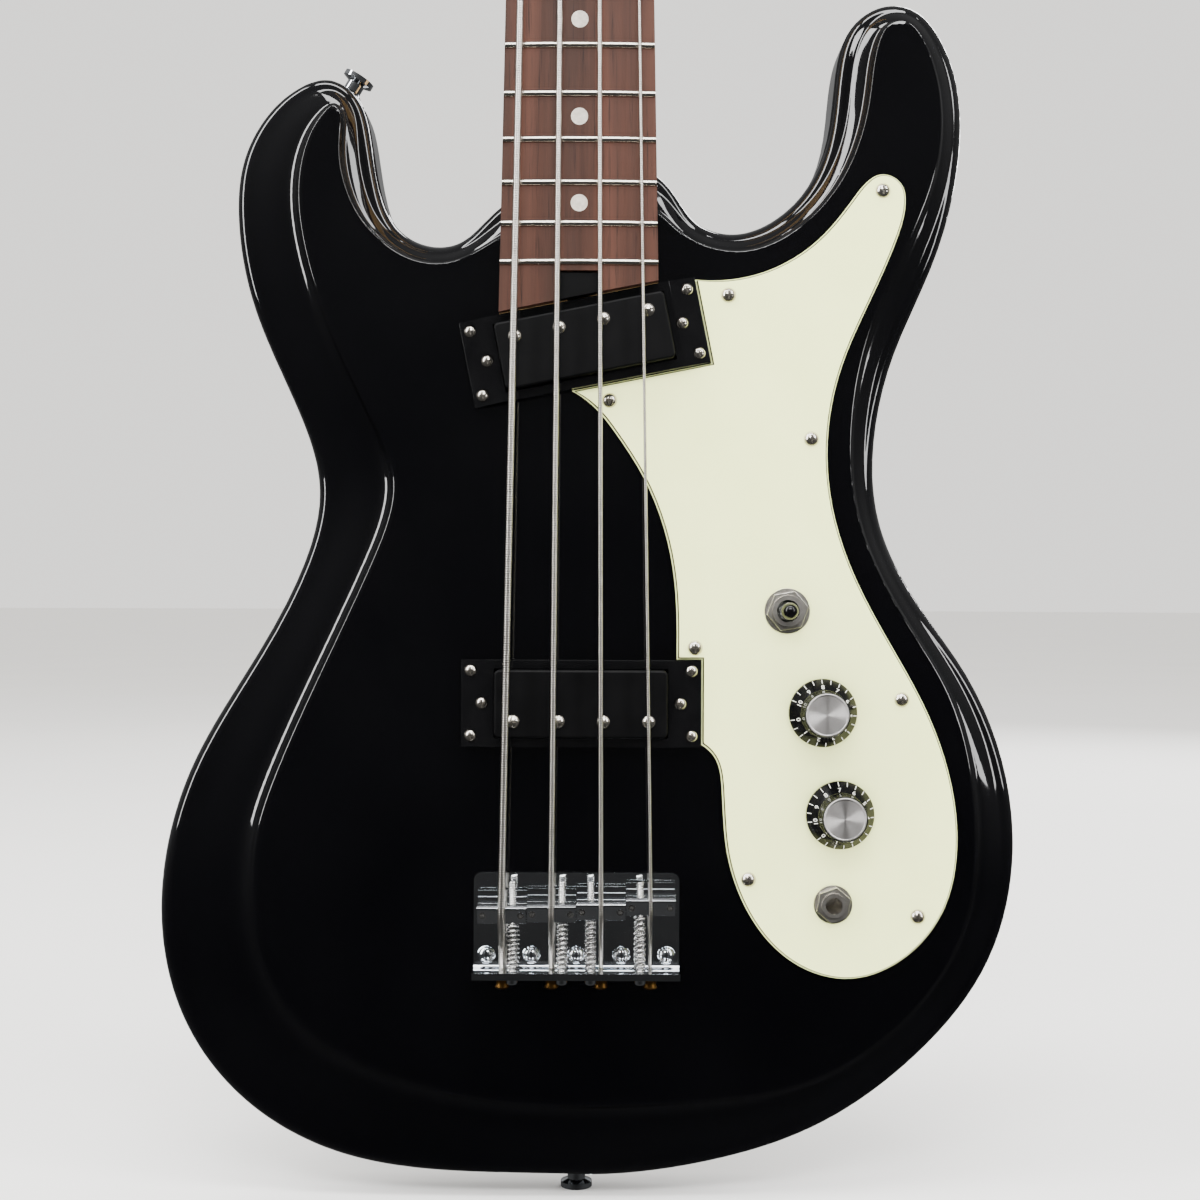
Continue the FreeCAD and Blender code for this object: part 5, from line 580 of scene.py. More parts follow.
# Gloss ABS: moulded in a polished tool.
GLOSS_ABS = Finish(
    "Gloss black ABS",
    Slot.BLACK_PLASTIC,
    "#060607",
    "#0A0A0B",
    0.14,
    wander=0.04,
    patch=8.0,
    grain=3.0,
    specular=0.3,
)
# Satin ABS: moulded in a lightly blasted tool, so light spreads over it.
SATIN_ABS = Finish(
    "Satin black ABS",
    Slot.BLACK_SATIN,
    "#030304",
    "#060607",
    0.48,
    wander=0.05,
    patch=10.0,
    grain=0.35,
    grain_depth=9.0,
    specular=0.11,
)
# Pearloid: cast plastic with swirls of pearl flake.
PEARLOID = Finish(
    "Pearloid", Slot.PEARL, "#CFC9C0", "#ACA498", 0.22, patch=1.6, grain=0.8, grain_depth=3.0, coat=0.4
)
# Bone: sawn and polished, with a faint cream drift.
BONE = Finish("Bone", Slot.BONE, "#EAE2CD", "#DDD2B6", 0.32, patch=5.0, grain=0.4, grain_depth=5.0)
# Knob caps: aluminium faced on a lathe, which throws spokes of light.
SPUN_ALUMINIUM = SpunMetal(
    "Spun aluminium",
    Slot.STEEL,
    "#E6E3E0",
    "#D8D4D1",
    0.45,
    wander=0.04,
    patch=3.0,
    grain_depth=0.5,
    metallic=1.0,
)
# Dial ink: white enamel pressed on through foil, a little thin in places.
DIAL_INK = Finish("White dial ink", Slot.BLACK_PLASTIC, "#E4E4DF", "#B4B4AE", 0.5, patch=0.8, grain=0.2)
# Film capacitor: dipped in gloss resin.
DIPPED_RESIN = Finish(
    "Dipped green resin",
    Slot.GREEN_CAPACITOR,
    "#2F6B38",
    "#24552C",
    0.22,
    patch=3.0,
    coat=0.4,
)
# Floor: matt pale board.
PALE_BOARD = Finish(
    "Pale board",
    Slot.BONE,
    "#F6F5F3",
    "#F3F2F0",
    0.8,
    patch=400.0,
    grain=4.0,
    grain_depth=10.0,
)


@lru_cache(maxsize=None)
def material_of(finish: Finish) -> bpy.types.Material:
    """Gives a finish's material, made once."""
    return finish.make()


def release() -> None:
    """Leaves edit mode and lets go of everything."""
    if bpy.context.mode != "OBJECT":
        bpy.ops.object.mode_set(mode="OBJECT")
    bpy.ops.object.select_all(action="DESELECT")


def hold(piece: Object) -> Object:
    """Selects one piece alone and makes it active.

    Args:
        piece: The piece.

    Returns:
        The piece.
    """
    release()
    piece.select_set(True)
    bpy.context.view_layer.objects.active = piece
    return piece


@contextmanager
def editing(piece: Object) -> Iterator[None]:
    """Opens a piece in edit mode, with everything in it selected, and closes it again.

    Args:
        piece: The piece.
    """
    hold(piece)
    bpy.ops.object.mode_set(mode="EDIT")
    bpy.ops.mesh.select_mode(type="VERT")
    bpy.ops.mesh.select_all(action="SELECT")
    yield
    bpy.ops.object.mode_set(mode="OBJECT")


def choose(piece: Object, test: Callable[[Vector, Vector], bool]) -> None:
    """Selects faces of a piece that is open in edit mode.

    Args:
        piece: The piece.
        test: Takes a face's middle and normal, in metres, and says whether it is wanted.
    """
    bpy.ops.mesh.select_mode(type="FACE")
    mesh = bmesh.from_edit_mesh(piece.data)
    for face in mesh.faces:
        face.select_set(test(face.calc_center_median(), face.normal))
    mesh.select_flush_mode()
    bmesh.update_edit_mesh(piece.data)


def clean(piece: Object) -> Object:
    """Merges doubles and turns all faces outwards.

    Args:
        piece: The piece.

    Returns:
        The piece.
    """
    with editing(piece):
        bpy.ops.mesh.remove_doubles(threshold=WELD)
        bpy.ops.mesh.normals_make_consistent(inside=False)
    return piece


def apply(piece: Object, kind: str, **settings: Any) -> Object:
    """Adds a modifier with its settings and applies it.

    Args:
        piece: The piece.
        kind: Blender's name of the modifier's type.
        settings: The modifier's settings.

    Returns:
        The piece.
    """
    modifier = piece.modifiers.new(kind.lower(), kind)
    for key, value in settings.items():
        setattr(modifier, key, value)
    hold(piece)
    bpy.ops.object.modifier_apply(modifier=modifier.name)
    return piece


def settle(piece: Object, place: Matrix | None = None) -> Object:
    """Moves a piece to its place and puts that place into its mesh.

    Args:
        piece: The piece.
        place: Where it goes; None keeps where it is.

    Returns:
        The piece, whose object sits at the origin.
    """
    if place is not None:
        piece.matrix_world = place
    hold(piece)
    bpy.ops.object.transform_apply(location=True, rotation=True, scale=True)
    return piece


def shade(piece: Object, angle: float = CUT_ANGLE) -> Object:
    """Shades a piece smooth except across edges sharper than an angle, and lets large faces stay flat.

    Args:
        piece: The piece.
        angle: The angle in degrees.

    Returns:
        The piece.
    """
    hold(piece)
    bpy.ops.object.shade_smooth_by_angle(angle=math.radians(angle))
    return apply(piece, "WEIGHTED_NORMAL", keep_sharp=True, weight=90)


def merged_copy(node: str, name: str) -> Object:
    """Copies a CAD node's mesh into a piece whose triangles share their corners.

    Args:
        node: The CAD node.
        name: The piece's name.

    Returns:
        The piece, at the origin.
    """
    source = frame["nodes"][node]
    mesh = source.data.copy()
    piece = bpy.data.objects.new(name, mesh)
    bpy.context.scene.collection.objects.link(piece)
    hold(piece)
    if mesh.has_custom_normals:
        bpy.ops.mesh.customdata_custom_splitnormals_clear()
    with editing(piece):
        bpy.ops.mesh.remove_doubles(threshold=NODE_WELD)
    return piece


def soften(piece: Object, width: float) -> Object:
    """Joins flat triangles into whole faces and rounds the sharp edges.

    Args:
        piece: The piece.
        width: How far each round reaches.

    Returns:
        The piece.
    """
    with editing(piece):
        bpy.ops.mesh.dissolve_limited(angle_limit=math.radians(FLAT_ANGLE))
    limit = math.radians(ROUND_ANGLE)
    return apply(piece, "BEVEL", width=width * MM, segments=2, limit_method="ANGLE", angle_limit=limit)


def parted(piece: Object, names: Sequence[str], order: Callable[[Object], float]) -> list[Object]:
    """Separates a piece into its loose solids.

    Args:
        piece: The piece.
        names: The names of the solids, in their order.
        order: What the solids are sorted by.

    Returns:
        The solids.
    """
    with editing(piece):
        bpy.ops.mesh.separate(type="LOOSE")
    solids = sorted(bpy.context.selected_objects, key=order)
    for solid, name in zip(solids, names, strict=True):
        solid.name = name
    return solids


def spread(piece: Object, axis: int) -> float:
    """Gives the length of a piece's box along an axis."""
    places = [corner[axis] for corner in piece.bound_box]
    return max(places) - min(places)


def dress(piece: Object, finish: Finish, body: str, node: str = "") -> Object:
    """Gives a finished piece its material and body.

    Args:
        piece: The piece.
        finish: What it is made of.
        body: The CAD body that it rides on.
        node: The CAD node that it stands for, if any.

    Returns:
        The piece.
    """
    piece.data.materials.clear()
    piece.data.materials.append(material_of(finish))
    if node:
        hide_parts(node)
    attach(piece, body)
    return piece


def drawn(name: str, points: Sequence[tuple[float, float, float]]) -> Object:
    """Draws an open line of edges by extruding one corner from point to point.

    Args:
        name: The piece's name.
        points: The line's points in millimetres.

    Returns:
        The piece, a line of edges.
    """
    release()
    bpy.ops.mesh.primitive_plane_add(size=MM, location=(0, 0, 0))
    piece = bpy.context.active_object
    piece.name = name
    with editing(piece):
        bpy.ops.mesh.merge(type="CENTER")
        bpy.ops.transform.translate(value=Vector(points[0]) * MM)
        for before, after in zip(points, points[1:]):
            step = (Vector(after) - Vector(before)) * MM
            bpy.ops.mesh.extrude_region_move(TRANSFORM_OT_translate={"value": step})
    return piece


def wound(piece: Object, pitch: float, turns: int, steps: int) -> Object:
    """Winds a section about Z into a closed solid: a spring, a thread, or a turned piece at pitch 0.

    Args:
        piece: The section, beside the axis.
        pitch: The rise of each turn.
        turns: How many turns.
        steps: Steps in a turn.

    Returns:
        The piece.
    """
    apply(
        piece,
        "SCREW",
        axis="Z",
        screw_offset=pitch * MM,
        iterations=turns,
        steps=steps,
        render_steps=steps,
        use_merge_vertices=True,
        merge_threshold=WELD,
    )
    with editing(piece):
        bpy.ops.mesh.remove_doubles(threshold=WELD)
        bpy.ops.mesh.select_all(action="SELECT")
        bpy.ops.mesh.fill_holes(sides=0)
        bpy.ops.mesh.select_all(action="SELECT")
        bpy.ops.mesh.normals_make_consistent(inside=False)
    return piece


def coil(name: str, radius: float, wire: float, pitch: float, turns: int) -> Object:
    """Winds a round wire about Z, starting at z = 0.

    Args:
        name: The piece's name.
        radius: From the axis to the middle of the wire.
        wire: The wire's radius.
        pitch: The rise of each turn.
        turns: How many turns.

    Returns:
        The piece.
    """
    release()
    bpy.ops.mesh.primitive_circle_add(
        vertices=WIRE_SIDES, radius=wire * MM, location=(radius * MM, 0, 0), rotation=FACING_VIEWER
    )
    piece = bpy.context.active_object
    piece.name = name
    return wound(settle(piece), pitch, turns, COIL_STEPS)


@dataclass(frozen=True)
class Dressing:
    """How one CAD node is dressed.

    Fields:
        node: The CAD node.
        finish: What it is made of.
        edge: The width of the rounds on its edges; 0 leaves them as they are.
    """

    node: str
    finish: Finish
    edge: float = 0.0

    def make(self) -> Object:
        """Makes the dressed piece that stands for the node.

        Returns:
            The piece.
        """
        piece = merged_copy(self.node, self.node + "_finished")
        if self.edge:
            soften(piece, self.edge)
        shade(piece)
        return dress(piece, self.finish, frame["nodes"][self.node]["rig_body"], self.node)


@dataclass(frozen=True)
class SubAssembly:
    """A sub-assembly whose nodes only need dressing.

    Fields:
        dressings: How each node is dressed.
    """

    dressings: tuple[Dressing, ...] = ()

    def build(self) -> list[Object]:
        """Dresses the nodes and adds the new pieces."""
        return [dressing.make() for dressing in self.dressings] + self.extra_pieces()

    def extra_pieces(self) -> list[Object]:
        """Makes the pieces that have a form of their own."""
        return []


def splined(points: np.ndarray, knots: np.ndarray, steps: int, closed: bool) -> np.ndarray:
    """Runs a smooth curve through points, as a loft does.

    Args:
        points: The points along the first axis, with any further axes.
        knots: Each point's place along the curve; a closed curve has one more, at its end.
        steps: Steps from point to point.
        closed: Whether the curve comes back to its first point.

    Returns:
        The curve's points along the first axis.
    """
    count = len(points)
    spans = np.diff(knots)
    bends = np.eye(count)
    pulls = np.zeros_like(points)
    for here in range(0 if closed else 1, count if closed else count - 1):
        before, after = (here - 1) % count, (here + 1) % count
        left, right = spans[here - 1], spans[here]
        bends[here, here] = 2 * (left + right)
        bends[here, before] += left
        bends[here, after] += right
        pulls[here] = 6 * ((points[after] - points[here]) / right - (points[here] - points[before]) / left)
    curls = np.linalg.solve(bends, pulls.reshape(count, -1)).reshape(points.shape)
    made = []
    for here, span in enumerate(spans):
        after = (here + 1) % count
        for step in range(steps):
            gone = step / steps
            left = 1 - gone
            sag = (left**3 - left) * curls[here] + (gone**3 - gone) * curls[after]
            made.append(left * points[here] + gone * points[after] + sag * span**2 / 6)
    if not closed:
        made.append(points[-1])
    return np.array(made)


@dataclass(frozen=True)
class CarvedSkin:
    """The body's outer skin as an even grid: the carve, the round, the wall and the rounded back.

    The body's own triangles are long and uneven, and a mirror finish shows that as broken streaks. The grid
    lends them the true direction of the surface.

    Fields:
        stations: The side wall's x and z, then the x and z of the carve's ridge opposite.
        carve: Share of the way from ridge to round, share of the cove's drop, share of the band's drop.
        rounds: The steps of a round in degrees.
        thickness: The body's thickness.
        cove: The fall of the cove.
        band: The further fall of the band.
        front_round: The height of the round before the wall.
        front_inset: How far that round reaches in.
        back_round: The radius of the back edge.
        ridge_reach: How far the rounded ridge reaches back over the flat, as a share of the carve.
        ridge_fall: How far the ridge itself lies below the flat.
        narrow: The most that an inset takes of a narrow carve, as a share.
        along: Steps from station to station.
        across: Steps from row to row.
        reach: How near to the skin a face of the body lies on it.
        likeness: How alike their directions are, as a cosine.
        stray: An edge is divided if its middle's direction is off its ends' mean by more degrees than this.
        passes: How many times such edges are divided.
    """

    stations: tuple[tuple[float, float, float, float], ...] = (
        (0.0, 7.5, 1.0, 38.0), (-45.0, 8.6, -44.0, 42.0),
        (-97.0, 17.6, -87.0, 56.0), (-131.5, 38.5, -107.0, 70.5),
        (-153.0, 68.0, -117.5, 87.0), (-161.6, 101.0, -123.2, 107.0),
        (-160.4, 132.0, -123.4, 133.0), (-150.0, 167.0, -118.0, 157.0),
        (-129.6, 203.0, -103.5, 192.0), (-108.0, 243.5, -80.5, 242.0),
        (-101.2, 274.2, -70.6, 273.0), (-110.4, 307.0, -79.0, 301.0),
        (-127.0, 345.7, -98.0, 343.0), (-133.4, 380.0, -107.2, 380.0),
        (-131.4, 402.0, -106.6, 398.5), (-122.7, 419.4, -102.6, 411.0),
        (-110.4, 430.6, -98.0, 418.0), (-97.6, 434.2, -94.4, 420.6),
        (-87.4, 428.2, -91.8, 417.6), (-81.4, 412.0, -92.0, 407.0),
        (-78.0, 392.0, -90.0, 391.0), (-72.0, 377.6, -81.4, 374.4),
        (-61.2, 370.0, -66.0, 362.6), (-47.4, 370.6, -48.0, 361.2),
        (-36.0, 380.4, -31.5, 369.6), (-20.0, 392.0, -15.0, 377.0),
        (5.0, 399.0, 4.0, 383.0), (24.0, 400.5, 20.0, 384.0),
        (35.0, 392.6, 31.4, 378.6), (45.6, 379.0, 43.0, 369.6),
        (59.4, 374.6, 60.4, 365.4), (77.4, 381.2, 83.0, 373.8),
        (91.0, 396.9, 100.8, 393.6), (97.2, 416.0, 109.4, 416.0),
        (99.8, 438.6, 112.4, 436.0), (104.8, 454.2, 115.0, 447.4),
        (115.4, 463.0, 119.0, 452.8), (128.8, 462.8, 125.0, 453.6),
        (140.6, 450.6, 131.6, 446.4), (147.6, 429.6, 137.4, 428.6),
        (147.8, 404.0, 137.8, 404.4), (138.6, 365.2, 126.0, 369.0),
        (122.6, 327.2, 110.2, 331.4), (115.2, 293.0, 104.4, 293.6),
        (117.8, 260.2, 108.8, 258.6), (130.0, 234.4, 122.2, 229.8),
        (150.4, 205.2, 141.0, 198.6), (165.4, 171.6, 150.8, 166.2),
        (170.2, 132.4, 152.6, 131.0), (160.0, 90.4, 144.2, 97.0),
        (130.6, 53.0, 119.0, 65.4), (94.4, 27.4, 87.0, 47.0),
        (50.0, 12.6, 47.6, 40.0),
    )
    carve: tuple[tuple[float, float, float], ...] = (
        (0.05, 0.40, 0.0), (0.12, 0.74, 0.0), (0.22, 0.95, 0.0),
        (0.34, 1.0, 0.08), (0.60, 1.0, 0.42), (0.82, 1.0, 0.76),
    )
    rounds: tuple[float, ...] = (0.0, 30.0, 60.0, 90.0)
    thickness: float = 42.0
    cove: float = 5.0
    band: float = 3.5
    front_round: float = 6.0
    front_inset: float = 5.0
    back_round: float = 8.0
    ridge_reach: float = 0.065
    ridge_fall: float = 0.325
    narrow: float = 0.4
    along: int = 8
    across: int = 5
    reach: float = 0.8
    likeness: float = 0.5
    stray: float = 0.6
    passes: int = 3

    def row(self, share: float | None, inset: float, depth: float) -> np.ndarray:
        """Gives one closed row of points round the body.

        Args:
            share: The share of the way from the ridge to the round; None counts from the wall.
            inset: The distance in from the wall.
            depth: The distance behind the flat front.

        Returns:
            A point for each station, in metres.
        """
        made = []
        for edge_x, edge_z, rim_x, rim_z in self.stations:
            edge = Vector((edge_x, edge_z))
            inward = Vector((rim_x, rim_z)) - edge
            width = inward.length
            near = min(self.front_inset, self.narrow * width)
            if share is not None:
                inset_here = width + (near - width) * share
            else:
                inset_here = min(inset, self.narrow * width) if depth < BODY_FRONT else inset
            spot = edge + inward.normalized() * inset_here
            made.append(at(spot.x, -depth, spot.y))
        return np.array(made)

    def rows(self) -> tuple[list[np.ndarray], list[np.ndarray]]:
        """Gives the rows of the front, from the ridge to the wall, and those of the rounded back.

        Returns:
            Both lists of rows.
        """
        front = [self.row(-self.ridge_reach, 0.0, 0.0), self.row(0.0, 0.0, self.ridge_fall)]
        for share, cove, band in self.carve:
            front.append(self.row(share, 0.0, self.cove * cove + self.band * band))
        back = []
        for angle in map(math.radians, self.rounds):
            fall = self.front_round * (1 - math.cos(angle))
            inset = self.front_inset * (1 - math.sin(angle))
            front.append(self.row(None, inset, self.cove + self.band + fall))
            rise = self.back_round * (1 - math.sin(angle))
            back.append(self.row(None, self.back_round * (1 - math.cos(angle)), self.thickness - rise))
        return front, back

    def grid(self) -> np.ndarray:
        """Gives the skin's points: rows from the ridge over the wall to the back, each all the way round.

        Returns:
            The points in metres, by row and place in the row.
        """
        outline = self.row(None, 0.0, 0.0)
        chords = np.linalg.norm(np.roll(outline, -1, axis=0) - outline, axis=1)
        knots = np.concatenate(([0.0], np.cumsum(chords)))
        strips = []
        for rows in self.rows():
            lines = np.array([splined(row, knots, self.along, True) for row in rows])
            gaps = np.linalg.norm(np.diff(lines, axis=0), axis=2).mean(axis=1)
            strips.append(splined(lines, np.concatenate(([0.0], np.cumsum(gaps))), self.across, False))
        return np.concatenate(strips)

    def surface(self) -> tuple[BVHTree, list[Vector], list[tuple[int, ...]], list[Vector]]:
        """Gives the skin for look-ups: its tree, its points, its quads and each point's direction.

        Returns:
            The four, in that order.
        """
        grid = self.grid()
        rows, count = grid.shape[:2]
        points = [Vector(point) for point in grid.reshape(-1, 3)]
        quads = []
        for low in range(0, (rows - 1) * count, count):
            for here in range(count):
                there = (here + 1) % count
                quads.append((low + here, low + count + here, low + count + there, low + there))
        sums = [Vector() for _ in points]
        for quad in quads:
            a, b, c, d = (points[corner] for corner in quad)
            for corner in quad:
                sums[corner] += (c - a).cross(d - b)
        return BVHTree.FromPolygons(points, quads), points, quads, [total.normalized() for total in sums]

    def lend(self, piece: Object) -> Object:
        """Gives the body's faces that lie on the skin the skin's own directions.

        Args:
            piece: The body.

        Returns:
            The body, shaded.
        """
        tree, points, quads, outward = self.surface()
        nearest = math.cos(math.radians(self.stray))

        def direction(spot: Vector) -> Vector:
            """Gives the skin's direction nearest to a spot.

            Args:
                spot: The spot in metres.

            Returns:
                The direction.
            """
            near, _, quad, _ = tree.find_nearest(spot)
            corners = quads[quad]
            blend = Vector()
            for corner, share in zip(corners, poly_3d_calc([points[corner] for corner in corners], near)):
                blend += outward[corner] * share
            return blend.normalized()

        def lies_on(middle: Vector, normal: Vector) -> bool:
            """Says whether a face with this middle and normal lies on the skin.

            Args:
                middle: The face's middle in metres.
                normal: The face's normal.

            Returns:
                True if it does.
            """
            _, level, _, gap = tree.find_nearest(middle)
            return gap < self.reach * MM and abs(level.dot(normal)) > self.likeness

        for _ in range(self.passes):
            with editing(piece):
                bpy.ops.mesh.select_mode(type="EDGE")
                bpy.ops.mesh.select_all(action="DESELECT")
                mesh = bmesh.from_edit_mesh(piece.data)
                levels = {vertex: direction(vertex.co) for vertex in mesh.verts}
                skin = [face for face in mesh.faces if lies_on(face.calc_center_median(), face.normal)]
                for edge in {edge for face in skin for edge in face.edges}:
                    one, other = edge.verts
                    middle = direction((one.co + other.co) / 2)
                    if middle.dot((levels[one] + levels[other]).normalized()) < nearest:
                        edge.select_set(True)
                bmesh.update_edit_mesh(piece.data)
                bpy.ops.mesh.subdivide(number_cuts=1)
                bpy.ops.mesh.select_all(action="SELECT")
                bpy.ops.mesh.quads_convert_to_tris(quad_method="BEAUTY", ngon_method="BEAUTY")
        shade(piece, TURNED_ANGLE)
        mesh = piece.data
        levels = [direction(vertex.co) for vertex in mesh.vertices]
        kept = [Vector(corner.vector) for corner in mesh.corner_normals]
        for face in mesh.polygons:
            if lies_on(face.center, face.normal):
                for loop in face.loop_indices:
                    level = levels[mesh.loops[loop].vertex_index]
                    kept[loop] = level if level.dot(face.normal) > 0 else -level
        mesh.normals_split_custom_set(kept)
        return piece


@dataclass(frozen=True)
class Body(SubAssembly):
    """The carved body, the pickguard on it and the strap buttons.

    Fields:
        skin: The body's outer skin.
    """

    skin: CarvedSkin = CarvedSkin()
    dressings: tuple[Dressing, ...] = (
        Dressing("pickguard", MINT_VINYL),
        Dressing("pickguard_core", BLACK_VINYL),
        Dressing("pickguard_screws", NICKEL),
        Dressing("strap_buttons", CHROME),
        Dressing("neck_plate", CHROME, edge=0.3),
        Dressing("neck_bolts", CHROME),
    )

    def extra_pieces(self) -> list[Object]:
        """Makes the body itself, with an even mirror finish."""
        piece = self.skin.lend(merged_copy("body", "body_finished"))
        return [dress(piece, BLACK_POLYESTER, ROOT, "body")]


@dataclass(frozen=True)
class Neck(SubAssembly):
    """The neck with its board, frets, markers, nut and rod."""

    dressings: tuple[Dressing, ...] = (
        Dressing("neck", SATIN_MAPLE),
        Dressing("fretboard", OILED_ROSEWOOD),
        Dressing("frets", NICKEL),
        Dressing("fret_markers", PEARLOID),
        Dressing("nut", BONE, edge=0.3),
        Dressing("truss_rod", BRIGHT_STEEL),
        Dressing("truss_rod_cover", SATIN_ABS, edge=0.3),
    )


@dataclass(frozen=True)
class Pickups(SubAssembly):
    """Both pickups: surrounds, covers, screws, and the wound parts inside.

    Fields:
        spots: Each pickup's middle and slant in degrees.
        screw_reach: From the middle to a height screw.
        spring_radius: Mid-wire radius of a height spring.
        spring_wire: Radius of its wire.
        spring_turns: Its turns.
        spring_low: Its lower end above the flat front.
        spring_length: Its length.
        coil_length: The winding's length.
        coil_width: The winding's width.
        coil_wall: The winding's thickness.
        coil_low: The winding's underside above the flat front.
        coil_high: The winding's top above the flat front.
        coil_round: The winding's corner radius.
        coil_edge: The width of the rounds on its edges.
        level: The least that a level face's normal points along Z, as a share.
    """

    spots: tuple[tuple[float, float, float], ...] = ((2.3, 329.7, 11.3), (1.4, 192.3, 0.0))
    screw_reach: float = 37.7
    spring_radius: float = 2.5
    spring_wire: float = 0.4
    spring_turns: int = 4
    spring_low: float = -6.7
    spring_length: float = 6.4
    coil_length: float = 61.6
    coil_width: float = 21.8
    coil_wall: float = 2.1
    coil_low: float = -5.4
    coil_high: float = 6.5
    coil_round: float = 1.8
    coil_edge: float = 0.5
    level: float = 0.9
    dressings: tuple[Dressing, ...] = (
        Dressing("neck_pickup_surround", GLOSS_ABS, edge=0.35),
        Dressing("bridge_pickup_surround", GLOSS_ABS, edge=0.35),
        Dressing("surround_screws", NICKEL),
        Dressing("pickup_height_screws", NICKEL),
        Dressing("neck_pickup_cover", SATIN_ABS),
        Dressing("bridge_pickup_cover", SATIN_ABS),
        Dressing("pole_screws", NICKEL),
        Dressing("pickup_bobbins", SATIN_ABS),
        Dressing("pickup_magnets", CAST_MAGNET, edge=0.2),
    )

    def place(self, spot: tuple[float, float, float], along: float, height: float) -> Matrix:
        """Gives a place on a pickup, whose own Z faces the viewer.

        Args:
            spot: The pickup's middle and slant.
            along: Millimetres along the pickup.
            height: Millimetres above the flat front.

        Returns:
            The place.
        """
        x, z, slant = spot
        turn = math.radians(slant)
        middle = at(x + along * math.cos(turn), height, z + along * math.sin(turn))
        stand = Matrix.Rotation(math.pi / 2, 4, "X") @ Matrix.Rotation(turn, 4, "Z")
        return Matrix.Translation(middle) @ stand

    def height_spring(self, name: str, place: Matrix) -> Object:
        """Makes one height spring at its place.

        Args:
            name: The piece's name.
            place: Where it goes.

        Returns:
            The piece.
        """
        pitch = (self.spring_length - 2 * self.spring_wire) / self.spring_turns
        piece = coil(name, self.spring_radius, self.spring_wire, pitch, self.spring_turns)
        settle(piece, place @ Matrix.Translation((0, 0, self.spring_wire * MM)))
        return dress(shade(piece, WIRE_ANGLE), BRIGHT_STEEL, ROOT, "pickup_height_springs")

    def winding(self, name: str, place: Matrix) -> Object:
        """Makes one winding: a wall of wire with round corners and edges.

        Args:
            name: The piece's name.
            place: Where it goes.

        Returns:
            The piece.
        """
        release()
        bpy.ops.mesh.primitive_cube_add(size=1.0)
        piece = bpy.context.active_object
        piece.name = name
        tall = self.coil_high - self.coil_low
        piece.scale = (self.coil_length * MM, self.coil_width * MM, tall * MM)
        settle(piece)
        with editing(piece):
            choose(piece, lambda middle, normal: abs(normal.z) > self.level)
            bpy.ops.mesh.delete(type="ONLY_FACE")
        with editing(piece):
            bpy.ops.mesh.select_mode(type="EDGE")
            mesh = bmesh.from_edit_mesh(piece.data)
            for edge in mesh.edges:
                edge.select_set(abs(edge.verts[0].co.z - edge.verts[1].co.z) > 0.5 * tall * MM)
            bmesh.update_edit_mesh(piece.data)
            bpy.ops.mesh.bevel(offset=self.coil_round * MM, segments=4)
        apply(piece, "SOLIDIFY", thickness=self.coil_wall * MM, offset=-1.0, use_even_offset=True)
        clean(piece)
        limit = math.radians(WIRE_ANGLE)
        apply(piece, "BEVEL", width=self.coil_edge * MM, segments=3, limit_method="ANGLE", angle_limit=limit)
        settle(piece, place)
        return dress(shade(piece, MOULDED_ANGLE), ENAMELLED_COPPER, ROOT, "pickup_coils")

    def extra_pieces(self) -> list[Object]:
        """Makes the height springs and the windings.

        Returns:
            The pieces.
        """
        pieces = []
        for name, spot in zip(("neck", "bridge"), self.spots):
            for side, reach in (("bass", -self.screw_reach), ("treble", self.screw_reach)):
                label = f"{name}_pickup_spring_{side}"
                pieces.append(self.height_spring(label, self.place(spot, reach, self.spring_low)))
            middle = (self.coil_low + self.coil_high) / 2
            pieces.append(self.winding(f"{name}_pickup_winding", self.place(spot, 0.0, middle)))
        return pieces


